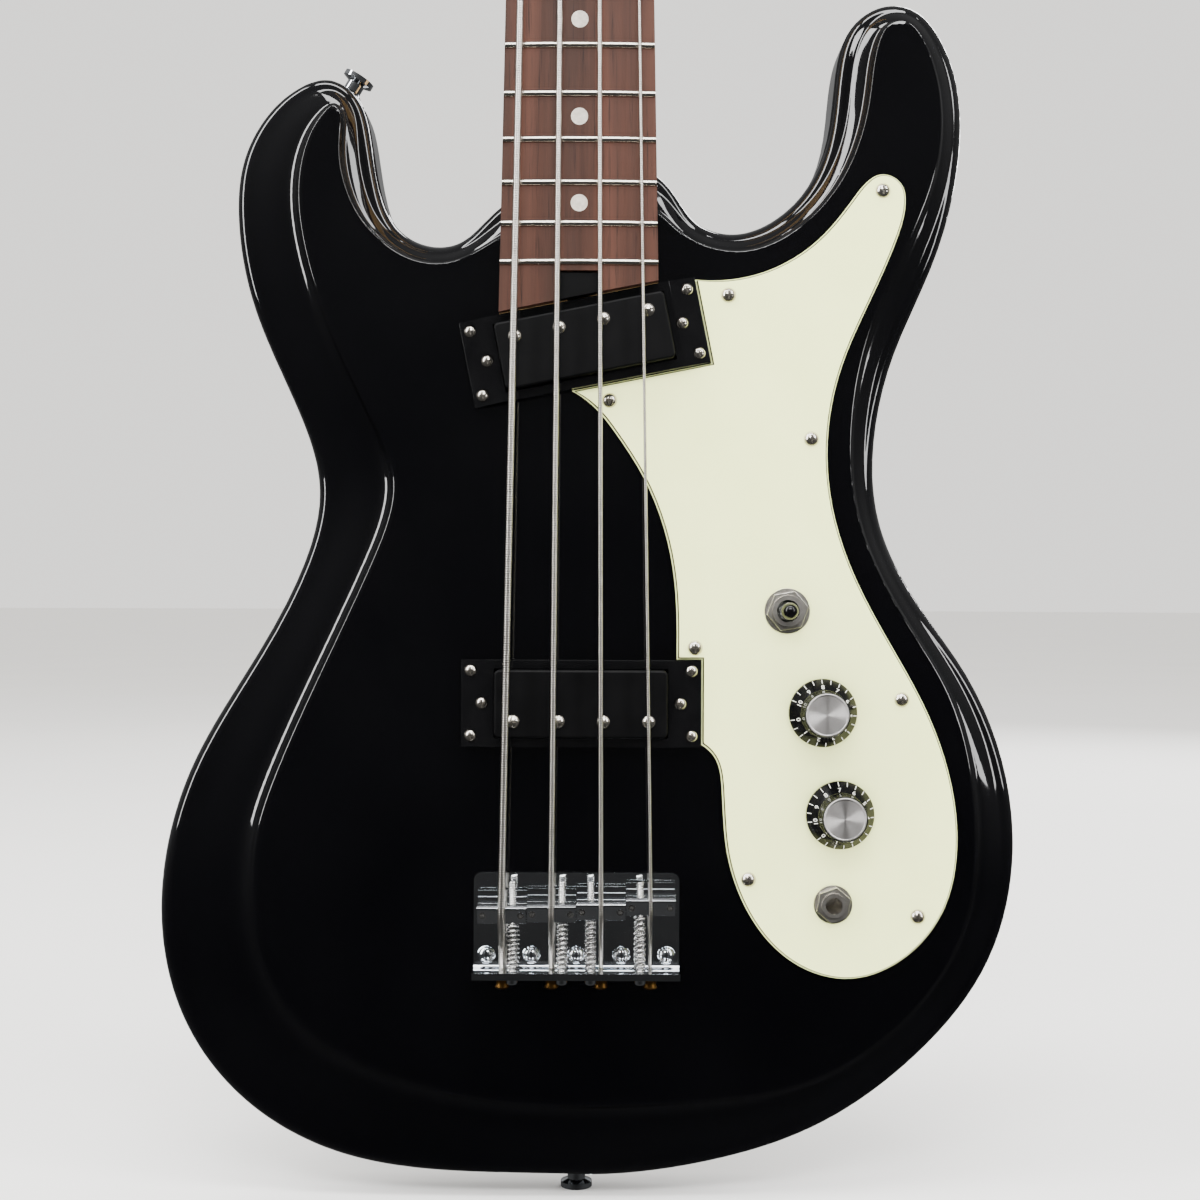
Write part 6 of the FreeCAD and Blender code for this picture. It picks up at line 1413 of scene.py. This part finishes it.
@dataclass(frozen=True)
class Bridge(SubAssembly):
    """The bridge plate, its saddles, and the screws and springs that set them.

    Fields:
        saddle_line: Z of the saddle line.
        rear: From the saddle line to the back of the rear wall.
        wall: The rear wall's thickness.
        gap: Room at each end of a spring.
        spacing: String to string.
        beside: From a string to its intonation screw.
        axis_height: The intonation screws' axis above the flat front.
        saddle_body: A saddle's depth behind its ridge.
        saddle_edge: The width of the rounds on its edges.
        compensation: How far each ridge lies above the saddle line.
        spring_radius: Mid-wire radius of a spring.
        spring_wire: Radius of its wire.
        spring_turns: Its turns.
        screw_end: From the saddle line to a screw's free end.
        head_cut: How far into the wall a screw's head is kept.
        thread_root: A screw's radius at the root of its thread.
        thread_crest: A screw's radius at the crest.
        thread_pitch: Crest to crest. The real 0.5 mm is too fine for the picture, so it is drawn coarser.
    """

    saddle_line: float = SADDLE_LINE
    rear: float = BRIDGE_REAR
    wall: float = BRIDGE_WALL
    gap: float = 0.3
    spacing: float = STRING_SPACING
    beside: float = 3.95
    axis_height: float = 9.2
    saddle_body: float = 6.2
    saddle_edge: float = 0.22
    compensation: tuple[float, ...] = RIDGE_LEADS
    spring_radius: float = 1.85
    spring_wire: float = 0.4
    spring_turns: int = 10
    screw_end: float = 11.5
    head_cut: float = 0.4
    thread_root: float = 1.15
    thread_crest: float = 1.42
    thread_pitch: float = 0.9
    dressings: tuple[Dressing, ...] = (
        Dressing("bridge_plate", CHROME, edge=0.3),
        Dressing("bridge_screws", CHROME),
    )

    def screw_x(self, order: int) -> float:
        """Gives an intonation screw's place: beside its string, towards the middle."""
        x = across(order, self.spacing)
        return x - math.copysign(self.beside, x)

    def spring(self, order: int) -> Object:
        """Makes one intonation spring, which runs from the wall to its saddle.

        Args:
            order: The string's number, from the bass side.

        Returns:
            The piece.
        """
        name = STRINGS[order]
        low = self.saddle_line - self.rear + self.wall + self.gap
        high = self.saddle_line + self.compensation[order] - self.saddle_body - self.gap
        pitch = (high - low - 2 * self.spring_wire) / self.spring_turns
        label = f"intonation_spring_{name}"
        piece = coil(label, self.spring_radius, self.spring_wire, pitch, self.spring_turns)
        start = at(self.screw_x(order), self.axis_height, low + self.spring_wire)
        shade(settle(piece, Matrix.Translation(start)), WIRE_ANGLE)
        piece.data.materials.append(material_of(BRIGHT_STEEL))
        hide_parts("intonation_springs")
        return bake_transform(piece)

    def screw(self, order: int) -> list[Object]:
        """Makes one intonation screw: the head as it is, and a shank with a real thread.

        Args:
            order: The string's number, from the bass side.

        Returns:
            The two pieces.
        """
        name = STRINGS[order]
        body = f"intonation_screw_{name}_body"
        node = f"intonation_screw_{name}"
        wall_back = self.saddle_line - self.rear
        head = merged_copy(node, f"intonation_head_{name}")
        with editing(head):
            bpy.ops.mesh.bisect(
                plane_co=(0, 0, (wall_back + self.head_cut) * MM),
                plane_no=(0, 0, 1),
                use_fill=True,
                clear_outer=True,
            )
        pitch = self.thread_pitch
        turns = int((self.rear + self.screw_end) / pitch) - 1
        section = ((self.thread_root, 0, 0), (self.thread_crest, 0, pitch / 2), (self.thread_root, 0, pitch))
        shank = wound(drawn(f"intonation_thread_{name}", section), pitch, turns, THREAD_STEPS)
        settle(shank, Matrix.Translation(at(self.screw_x(order), self.axis_height, wall_back)))
        return [
            dress(shade(head), CHROME, body, node),
            dress(shade(shank, THREAD_ANGLE), BRIGHT_STEEL, body, node),
        ]

    def saddle(self, order: int) -> list[Object]:
        """Makes one saddle and its two height screws.

        Args:
            order: The string's number, from the bass side.

        Returns:
            The three pieces.
        """
        name = STRINGS[order]
        body = f"saddle_{name}_body"
        node = f"saddle_{name}"
        names = (f"grub_screw_{name}_1", f"grub_screw_{name}_2", f"saddle_{name}_finished")
        solids = parted(merged_copy(node, node + "_copy"), names, lambda solid: spread(solid, 0))
        for solid in solids[:2]:
            dress(shade(solid), BRIGHT_STEEL, body, node)
        soften(solids[2], self.saddle_edge)
        dress(shade(solids[2]), CHROME, body, node)
        return solids

    def extra_pieces(self) -> list[Object]:
        """Makes the saddles, their screws and their springs.

        Returns:
            The pieces.
        """
        pieces = []
        for order in range(len(STRINGS)):
            pieces += self.saddle(order)
            pieces += self.screw(order)
            pieces.append(self.spring(order))
        return pieces


@dataclass(frozen=True)
class StringSet(SubAssembly):
    """The four round-wound strings with their ball ends.

    Fields:
        radii: The strings' radii.
        spacing: String to string at the saddles.
        nut_spacing: String to string at the nut.
        board_top: The middle of the fretboard's crown above the flat front.
        board_radius: The crown's radius.
        saddle_height: A saddle's ridge above the flat front, at the middle.
        nut_action: The floor of the nut's slots above the fretboard.
        anchor_height: The ball ends' axis above the flat front.
        wall_back: Z of the bridge wall's back.
        wall: The bridge wall's thickness.
        anchor_run: How far a string runs straight on from the wall.
        saddle_line: Z of the saddle line.
        compensation: How far each ridge lies above the saddle line.
        ridge_lead: How far below its ridge a string turns up the neck.
        nut_z: Z of the nut's lower face.
        nut_thickness: The nut's thickness.
        nut_setback: How far before the nut's upper face a string turns down.
        first_post: From the nut to the first post.
        post_pitch: Post to post.
        post_radius: A post's radius.
        post_gap: The gap between a post and its turns.
        head_face: The headstock's face above the flat front.
        bushing_height: A bushing's height.
        turn_clear: The gap between a bushing and the lowest turn.
        turn_gap: The gap between turns.
        turns: Turns on a post.
        per_turn: Control points in a turn.
        lead_in: How far before its post a string takes the slope of its turns.
        tree_from: The number of the first string under the string tree.
        tree_rise: From the nut to the tree's axis.
        tree_radius: The tree's radius.
        tree_height: The tree's underside above the headstock.
        gap: The gap between the tree and a string.
        ease: From a corner to where the straight run ends, in radii of the string.
        ease_share: The most that this takes of a run, as a share.
        ball_radius: A ball end's radius.
        ball_length: A ball end's length.
        ball_gap: The gap between a ball end and the wall.
        ball_bore: The radius of its hole.
        ball_dish: How far its ends are dished.
        ball_round: The width of its rounds.
        ball_waist: The depth of its waist.
        ball_band: Half the length of its waist.
    """

    radii: tuple[float, ...] = (1.3, 1.05, 0.82, 0.57)
    spacing: float = STRING_SPACING
    nut_spacing: float = 10.0
    board_top: float = 10.0
    board_radius: float = 400.0
    saddle_height: float = 14.4
    nut_action: float = 1.6
    anchor_height: float = 5.4
    wall_back: float = SADDLE_LINE - BRIDGE_REAR
    wall: float = BRIDGE_WALL
    anchor_run: float = 0.8
    saddle_line: float = SADDLE_LINE
    compensation: tuple[float, ...] = RIDGE_LEADS
    ridge_lead: float = 4.6
    nut_z: float = 890.0
    nut_thickness: float = 4.5
    nut_setback: float = 0.1
    first_post: float = 48.0
    post_pitch: float = 40.0
    post_radius: float = 4.4
    post_gap: float = 0.2
    head_face: float = -2.0
    bushing_height: float = 2.2
    turn_clear: float = 1.2
    turn_gap: float = 0.55
    turns: float = 2.25
    per_turn: int = 24
    lead_in: float = 10.0
    tree_from: int = 2
    tree_rise: float = 62.0
    tree_radius: float = 8.5
    tree_height: float = 6.0
    gap: float = 0.3
    ease: float = 6.0
    ease_share: float = 0.45
    ball_radius: float = 2.75
    ball_length: float = 4.5
    ball_gap: float = 0.02
    ball_bore: float = 0.9
    ball_dish: float = 0.5
    ball_round: float = 0.7
    ball_waist: float = 0.45
    ball_band: float = 0.6

    def crown_drop(self, x: float) -> float:
        """Gives how far the fretboard's curve falls at x."""
        return x * x / (2 * self.board_radius)

    def corners(self, order: int) -> list[Vector]:
        """Gives a string's corners from its ball end to the start of its turns.

        Args:
            order: The string's number, from the bass side.

        Returns:
            Points as x, height and z, in millimetres.
        """
        radius = self.radii[order]
        x = across(order, self.spacing)
        nut_x = across(order, self.nut_spacing)
        ridge = self.saddle_height - self.crown_drop(x) + radius
        nut = self.board_top + self.nut_action - self.crown_drop(nut_x) + radius
        points = [
            Vector((x, self.anchor_height, self.wall_back - self.ball_gap)),
            Vector((x, self.anchor_height, self.wall_back + self.wall + self.anchor_run)),
            Vector((x, ridge, self.saddle_line + self.compensation[order] - self.ridge_lead)),
            Vector((nut_x, nut, self.nut_z + self.nut_thickness - self.nut_setback)),
        ]
        start, reach, pitch, (post_x, post_z) = self.turns_start(order)
        slope = Vector((0.0, -pitch, 2 * math.pi * reach)).normalized()
        before = Vector((post_x + reach, start, post_z)) - slope * self.lead_in
        if order >= self.tree_from:
            bend = points[-1]
            under = self.head_face + self.tree_height - self.gap - radius
            for side in (-1, 1):
                z = self.nut_z + self.tree_rise + side * self.tree_radius
                share = (z - bend.z) / (before.z - bend.z)
                points.append(Vector((nut_x + (before.x - nut_x) * share, under, z)))
        return points + [before]

    def turns_start(self, order: int) -> tuple[float, float, float, tuple[float, float]]:
        """Gives the height, radius and pitch of a string's turns, and its post's x and z.

        Args:
            order: The string's number, from the bass side.

        Returns:
            The four, in that order.
        """
        radius = self.radii[order]
        pitch = 2 * radius + self.turn_gap
        start = self.head_face + self.bushing_height + self.turn_clear + radius + pitch * self.turns
        reach = self.post_radius + self.post_gap + radius
        post_x = across(order, self.nut_spacing) - reach
        post_z = self.nut_z + self.first_post + order * self.post_pitch
        return start, reach, pitch, (post_x, post_z)

    def controls(self, order: int) -> list[Vector]:
        """Gives a string's control points: its corners with a point on either side, then its turns.

        Args:
            order: The string's number, from the bass side.

        Returns:
            Points as x, height and z, in millimetres.
        """
        corners = self.corners(order)
        ease = self.ease * self.radii[order]
        points = [corners[0]]
        for before, here, after in zip(corners, corners[1:], corners[2:]):
            for other in (before, after):
                reach = min(ease, self.ease_share * (other - here).length)
                points.append(here + (other - here).normalized() * reach)
            points.insert(-1, here)
        points.append(corners[-1])
        start, reach, pitch, (post_x, post_z) = self.turns_start(order)
        wide = reach / math.cos(math.pi / self.per_turn)
        for step in range(int(self.turns * self.per_turn) + 1):
            angle = 2 * math.pi * step / self.per_turn
            turn = Vector((wide * math.cos(angle), 0.0, wide * math.sin(angle)))
            points.append(Vector((post_x, start - pitch * step / self.per_turn, post_z)) + turn)
        return points

    def string(self, order: int) -> Object:
        """Makes one string as a tube on a smooth curve, then as a mesh.

        Args:
            order: The string's number, from the bass side.

        Returns:
            The piece.
        """
        name = f"string_{STRINGS[order]}"
        release()
        bpy.ops.curve.primitive_nurbs_path_add()
        piece = bpy.context.active_object
        piece.name = name + "_finished"
        curve = piece.data
        curve.splines.clear()
        points = self.controls(order)
        spline = curve.splines.new("NURBS")
        spline.points.add(len(points) - 1)
        for slot, point in zip(spline.points, points):
            slot.co = (*at(point.x, point.y, point.z), 1.0)
        spline.order_u = 3
        spline.use_endpoint_u = True
        spline.resolution_u = 4
        curve.bevel_depth = self.radii[order] * MM
        curve.bevel_resolution = 3
        curve.use_fill_caps = True
        hold(piece)
        bpy.ops.object.convert(target="MESH")
        piece = clean(bpy.context.active_object)
        return dress(shade(settle(piece), WIRE_ANGLE), ROUND_WOUND, ROOT, name)

    def ball_end(self, order: int) -> Object:
        """Makes the turned ball end that holds a string in the bridge's wall.

        Args:
            order: The string's number, from the bass side.

        Returns:
            The piece.
        """
        name = STRINGS[order]
        length, middle = self.ball_length, self.ball_length / 2
        wide, waist = self.ball_radius, self.ball_radius - self.ball_waist
        section = (
            (self.ball_bore, 0, self.ball_dish),
            (wide - self.ball_round, 0, 0.0),
            (wide, 0, self.ball_round),
            (waist, 0, middle - self.ball_band),
            (waist, 0, middle + self.ball_band),
            (wide, 0, length - self.ball_round),
            (wide - self.ball_round, 0, length),
            (self.ball_bore, 0, length - self.ball_dish),
        )
        piece = wound(drawn(f"ball_end_{name}", section), 0.0, 1, BALL_STEPS)
        x = across(order, self.spacing)
        start = at(x, self.anchor_height, self.wall_back - self.ball_gap - length)
        settle(piece, Matrix.Translation(start))
        return dress(shade(piece, TURNED_ANGLE), SHADE_DARKENED_BRASS, ROOT, f"string_{name}")

    def extra_pieces(self) -> list[Object]:
        """Makes the strings and their ball ends."""
        orders = range(len(STRINGS))
        return [self.string(order) for order in orders] + [self.ball_end(order) for order in orders]


@dataclass(frozen=True)
class Knob:
    """One control knob.

    Fields:
        name: Its name.
        x: Its axis to the viewer's right.
        z: Its axis up the neck.
        ten_at: The angle of its highest figure, in degrees.
    """

    name: str
    x: float
    z: float
    ten_at: float

    def stand(self) -> Matrix:
        """Gives the knob's place on the pickguard, whose own Z faces the viewer."""
        return Matrix.Translation(at(self.x, GUARD_TOP, self.z)) @ Matrix.Rotation(math.pi / 2, 4, "X")


@dataclass(frozen=True)
class Controls(SubAssembly):
    """The knobs, the toggle switch, the jack and the wiring behind the pickguard.

    Fields:
        knobs: The knobs.
        figures: The highest figure of a dial.
        figure_step: Degrees from figure to figure.
        figure_size: The letter height.
        figure_radius: From the axis to a figure's middle.
        figure_height: A figure's middle above the pickguard.
        figure_slant: The skirt's slope there, in degrees.
        figure_rise: Half of a figure's thickness.
        figure_weight: How much bolder its strokes are drawn.
        tick: A tick's width, length and thickness.
        tick_radius: From the axis to a tick's middle.
        tick_height: A tick's middle above the pickguard.
        tick_slant: The skirt's slope there, in degrees.
        tick_round: The width of the rounds on its edges.
        knob_angle: A knob's edges sharper than this, in degrees, get a round.
        skirt_edge: The width of the moulded knob's rounds.
        cap_edge: The width of the metal cap's rounds.
        skirt_section: The moulded knob's half section, as radius and height above the pickguard.
        cap_section: The metal cap's half section.
        shaft_section: The shaft's half section.
    """

    knobs: tuple[Knob, ...] = (Knob("volume", 93.4, 189.1, 158.0), Knob("tone", 100.1, 150.3, 192.0))
    figures: int = 10
    figure_step: float = 32.5
    figure_size: float = 2.7
    figure_radius: float = 9.9
    figure_height: float = 5.72
    figure_slant: float = 45.0
    figure_rise: float = 0.06
    figure_weight: float = 0.02
    tick: tuple[float, float, float] = (0.3, 2.3, 0.2)
    tick_radius: float = 12.0
    tick_height: float = 3.44
    tick_slant: float = 48.2
    tick_round: float = 0.06
    knob_angle: float = 25.0
    skirt_edge: float = 0.3
    cap_edge: float = 0.12
    skirt_section: Section = (
        (7.4, 0.7),
        (13.0, 0.7),
        (13.0, 2.3),
        (10.5, 5.1),
        (8.9, 6.7),
        (8.55, 15.3),
        (8.2, 15.3),
        (8.2, 14.5),
        (3.02, 14.5),
        (3.02, 5.9),
        (7.4, 5.9),
        (7.4, 0.7),
    )
    cap_section: Section = (
        (0.0, 14.52),
        (8.17, 14.52),
        (8.17, 15.3),
        (7.9, 15.6),
        (7.5, 15.6),
        (7.3, 15.5),
        (0.0, 15.4),
    )
    shaft_section: Section = ((0.0, -6.0), (2.99, -6.0), (2.99, 14.5), (0.0, 14.5))
    dressings: tuple[Dressing, ...] = (
        Dressing("potentiometers", BRIGHT_STEEL),
        Dressing("control_nuts", BRUSHED_NICKEL, edge=0.25),
        Dressing("switch_body", BRUSHED_NICKEL),
        Dressing("output_jack", BRUSHED_NICKEL),
        Dressing("tone_capacitor", DIPPED_RESIN),
    )

    def on_skirt(self, angle: float, radius: float, height: float, slant: float) -> Matrix:
        """Gives a place on a knob's sloping skirt, in a frame whose Z is the knob's axis.

        Args:
            angle: Round the dial from the viewer's right, in degrees.
            radius: From the axis.
            height: Above the pickguard.
            slant: The slope, in degrees.

        Returns:
            The place; its own Y points outwards and down the slope.
        """
        swing = Matrix.Rotation(math.radians(angle - 90.0), 4, "Z")
        out = Matrix.Translation(Vector((0.0, radius, height)) * MM)
        return swing @ out @ Matrix.Rotation(math.radians(-slant), 4, "X")

    def figure(self, number: int, angle: float) -> Object:
        """Makes one figure of a dial as a thin raised mesh.

        Args:
            number: The figure.
            angle: Its place round the dial, in degrees.

        Returns:
            The piece.
        """
        release()
        bpy.ops.object.text_add()
        text = bpy.context.active_object
        text.data.body = str(number)
        text.data.size = self.figure_size * MM
        text.data.extrude = self.figure_rise * MM
        text.data.offset = self.figure_weight * MM
        text.data.resolution_u = 3
        text.data.align_x = "CENTER"
        text.data.align_y = "CENTER"
        hold(text)
        bpy.ops.object.convert(target="MESH")
        piece = clean(bpy.context.active_object)
        return settle(piece, self.on_skirt(angle, self.figure_radius, self.figure_height, self.figure_slant))

    def tick_mark(self, angle: float) -> Object:
        """Makes one tick of a dial with rounded ends.

        Args:
            angle: Its place round the dial, in degrees.

        Returns:
            The piece.
        """
        release()
        bpy.ops.mesh.primitive_cube_add(size=1.0)
        piece = bpy.context.active_object
        piece.scale = Vector(self.tick) * MM
        settle(piece)
        apply(piece, "BEVEL", width=self.tick_round * MM, segments=2)
        return settle(piece, self.on_skirt(angle, self.tick_radius, self.tick_height, self.tick_slant))

    def dial(self, knob: Knob) -> Object:
        """Makes a knob's whole dial as one piece: a figure and a tick for each number, and ticks between.

        Args:
            knob: The knob.

        Returns:
            The piece.
        """
        marks = []
        for number in range(self.figures + 1):
            angle = knob.ten_at - (self.figures - number) * self.figure_step
            marks.append(self.figure(number, angle))
            marks.append(self.tick_mark(angle))
            if number:
                marks.append(self.tick_mark(angle - self.figure_step / 2))
        hold(marks[0])
        for mark in marks:
            mark.select_set(True)
        bpy.ops.object.join()
        piece = bpy.context.active_object
        piece.name = f"{knob.name}_dial_marks"
        settle(piece, knob.stand())
        return dress(shade(piece), DIAL_INK, f"{knob.name}_control")

    def turned(self, knob: Knob, name: str, section: Section, finish: Finish, edge: float) -> Object:
        """Turns one solid of a knob and stands it on its control.

        Args:
            knob: The knob.
            name: The piece's name.
            section: Its half section as radius and height above the pickguard.
            finish: What it is made of.
            edge: The width of the rounds on its edges.

        Returns:
            The piece.
        """
        points = [(radius, 0.0, height) for radius, height in section]
        piece = wound(drawn(name, points), 0.0, 1, KNOB_STEPS)
        if edge:
            limit = math.radians(self.knob_angle)
            apply(piece, "BEVEL", width=edge * MM, segments=3, limit_method="ANGLE", angle_limit=limit)
        settle(piece, knob.stand())
        return dress(shade(piece, TURNED_ANGLE), finish, f"{knob.name}_control", f"{knob.name}_knob")

    def knob(self, knob: Knob) -> list[Object]:
        """Makes a knob's three solids: the moulded skirt, the metal cap and the shaft.

        Args:
            knob: The knob.

        Returns:
            The pieces.
        """
        return [
            self.turned(knob, f"{knob.name}_skirt", self.skirt_section, GLOSS_ABS, self.skirt_edge),
            self.turned(knob, f"{knob.name}_cap", self.cap_section, SPUN_ALUMINIUM, self.cap_edge),
            self.turned(knob, f"{knob.name}_shaft", self.shaft_section, BRIGHT_STEEL, 0.0),
        ]

    def lever(self) -> list[Object]:
        """Makes the switch's lever: the steel rod and the moulded tip on it.

        Returns:
            The two pieces.
        """
        names = ("switch_tip", "switch_rod")
        whole = merged_copy("switch_lever", "switch_lever_copy")
        tip, rod = parted(whole, names, lambda solid: spread(solid, 1))
        dress(shade(tip, MOULDED_ANGLE), GLOSS_ABS, "selector", "switch_lever")
        dress(shade(rod), CHROME, "selector", "switch_lever")
        return [tip, rod]

    def extra_pieces(self) -> list[Object]:
        """Makes the knobs with their dials, and the switch's lever.

        Returns:
            The pieces.
        """
        pieces = self.lever()
        for knob in self.knobs:
            pieces += self.knob(knob)
            pieces.append(self.dial(knob))
        return pieces


@dataclass(frozen=True)
class Tuners(SubAssembly):
    """The tuners, their plates and screws, and the string tree."""

    dressings: tuple[Dressing, ...] = (
        Dressing("tuner_plates", CHROME, edge=0.2),
        Dressing("tuner_bushings", CHROME),
        Dressing("tuner_screws", CHROME),
        Dressing("string_tree", CHROME),
        *(Dressing(f"tuner_post_{name}", CHROME) for name in STRINGS),
        *(Dressing(f"tuner_key_{name}", CHROME) for name in STRINGS),
    )


@dataclass(frozen=True)
class Softbox:
    """One studio light.

    Fields:
        name: Its name.
        place: Where it stands, in metres.
        aim: What it points at, in metres.
        size: Its width and height, in metres.
        power: Its power in watts.
    """

    name: str
    place: tuple[float, float, float]
    aim: tuple[float, float, float]
    size: tuple[float, float]
    power: float

    def build(self) -> None:
        """Hangs the light."""
        release()
        bpy.ops.object.light_add(type="AREA", location=self.place)
        lamp = bpy.context.active_object
        lamp.name = self.name
        lamp.data.shape = "RECTANGLE"
        lamp.data.size, lamp.data.size_y = self.size
        lamp.data.energy = self.power
        lamp.rotation_mode = "QUATERNION"
        lamp.rotation_quaternion = (Vector(self.aim) - Vector(self.place)).to_track_quat("-Z", "Y")
        lamp.visible_camera = False


@dataclass(frozen=True)
class Studio:
    """The floor, the lights, the world and the photograph's camera.

    Fields:
        eye: Where the camera stands.
        roll: The camera's roll in degrees.
        focal_pixels: The focal length in pixels of the photograph.
        frame_pixels: The photograph's width in pixels.
        sensor: The sensor's width.
        floor_level: The floor's height.
        floor_reach: The floor's radius in metres.
        floor_sides: The sides of its outline.
        near: The nearest that the camera sees, in metres.
        room: The room's tone.
        room_strength: How bright the room is.
        dusk: The tone of the dim room that shiny pieces mirror.
        ahead: From where to where along Y it brightens, and from what to what.
        below: The same along Z.
        boxes: The lights.
    """

    eye: tuple[float, float, float] = (8.47, -676.0, 231.7)
    roll: float = 0.24
    focal_pixels: float = 1699.0
    frame_pixels: float = 1200.0
    sensor: float = 36.0
    floor_level: float = -1.2
    floor_reach: float = 40.0
    floor_sides: int = 96
    near: float = 0.01
    room: str = "#F1EFEB"
    room_strength: float = 1.7
    dusk: str = "#E0E0E0"
    ahead: tuple[float, ...] = (-0.97, -0.55, 0.15, 0.4)
    below: tuple[float, ...] = (-0.25, 0.35, 0.2, 1.0)
    boxes: tuple[Softbox, ...] = (
        Softbox("key_box", (-1.9, -0.9, 1.5), (0, 0, 0.3), (0.5, 2.9), 75.0),
        Softbox("fill_box", (1.8, -1.1, 1.3), (0, 0, 0.25), (0.4, 2.5), 40.0),
        Softbox("top_box", (0.0, -0.9, 2.6), (0, 0, 0.3), (1.8, 0.6), 50.0),
        Softbox("front_box", (0.0, -1.5, 1.45), (0, 0, 0.25), (1.4, 0.4), 34.0),
        Softbox("back_box", (0.9, 1.8, 1.4), (0, 0, 0.4), (0.6, 1.6), 40.0),
    )

    def build_floor(self) -> None:
        """Lays a wide round floor."""
        release()
        bpy.ops.mesh.primitive_circle_add(
            vertices=self.floor_sides,
            radius=self.floor_reach,
            fill_type="NGON",
            location=(0, 0, self.floor_level * MM),
        )
        floor = settle(bpy.context.active_object)
        floor.name = "floor"
        floor.data.materials.append(material_of(PALE_BOARD))
        floor.visible_glossy = False

    def build_world(self) -> None:
        """Makes a pale room, and for all that shines a dim one that is darkest behind the camera."""
        world = bpy.data.worlds.new("studio")
        world.use_nodes = True
        tree = world.node_tree
        pale = tree.nodes["Background"]
        pale.inputs["Color"].default_value = linear(self.room)
        pale.inputs["Strength"].default_value = self.room_strength
        toward = add_node(tree, "ShaderNodeTexCoord", {})
        parts = add_node(tree, "ShaderNodeSeparateXYZ", {}, {"Vector": toward.outputs["Generated"]})
        shares = []
        for axis, (start, end, low, high) in (("Y", self.ahead), ("Z", self.below)):
            share = add_node(
                tree,
                "ShaderNodeMapRange",
                {"From Min": start, "From Max": end, "To Min": low, "To Max": high},
                {"Value": parts.outputs[axis]},
            )
            shares.append(share.outputs["Result"])
        glow = add_node(tree, "ShaderNodeMath", {"operation": "MULTIPLY"}, dict(enumerate(shares)))
        dim = add_node(
            tree, "ShaderNodeBackground", {"Color": linear(self.dusk)}, {"Strength": glow.outputs["Value"]}
        )
        path = add_node(tree, "ShaderNodeLightPath", {})
        mixed = add_node(
            tree,
            "ShaderNodeMixShader",
            {},
            {0: path.outputs["Is Glossy Ray"], 1: pale.outputs[0], 2: dim.outputs[0]},
        )
        tree.links.new(mixed.outputs[0], tree.nodes["World Output"].inputs["Surface"])
        bpy.context.scene.world = world

    def build_camera(self) -> None:
        """Stands the camera where the photograph was taken from."""
        release()
        bpy.ops.object.camera_add()
        camera = bpy.context.active_object
        camera.name = "camera"
        camera.data.sensor_width = self.sensor
        camera.data.lens = self.sensor * self.focal_pixels / self.frame_pixels
        camera.data.clip_start = self.near
        turn = math.radians(self.roll)
        right = Vector((math.cos(turn), 0, math.sin(turn)))
        up = Vector((-math.sin(turn), 0, math.cos(turn)))
        back = right.cross(up)
        place = Matrix((right, up, back)).transposed().to_4x4()
        place.translation = Vector(self.eye) * MM
        camera.matrix_world = place
        bpy.context.scene.camera = camera

    def build(self) -> None:
        """Builds the whole studio."""
        self.build_floor()
        self.build_world()
        for box in self.boxes:
            box.build()
        self.build_camera()


def main() -> None:
    """Builds the sub-assemblies and the studio in order, and reports each piece."""
    logging.basicConfig(level=logging.INFO, format="%(message)s")
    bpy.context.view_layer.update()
    for assembly in (Body(), Neck(), Pickups(), Bridge(), StringSet(), Controls(), Tuners()):
        for piece in assembly.build():
            LOG.info("%s: %s, %d faces", type(assembly).__name__, piece.name, len(piece.data.polygons))
    Studio().build()


if __name__ == "__main__":
    main()
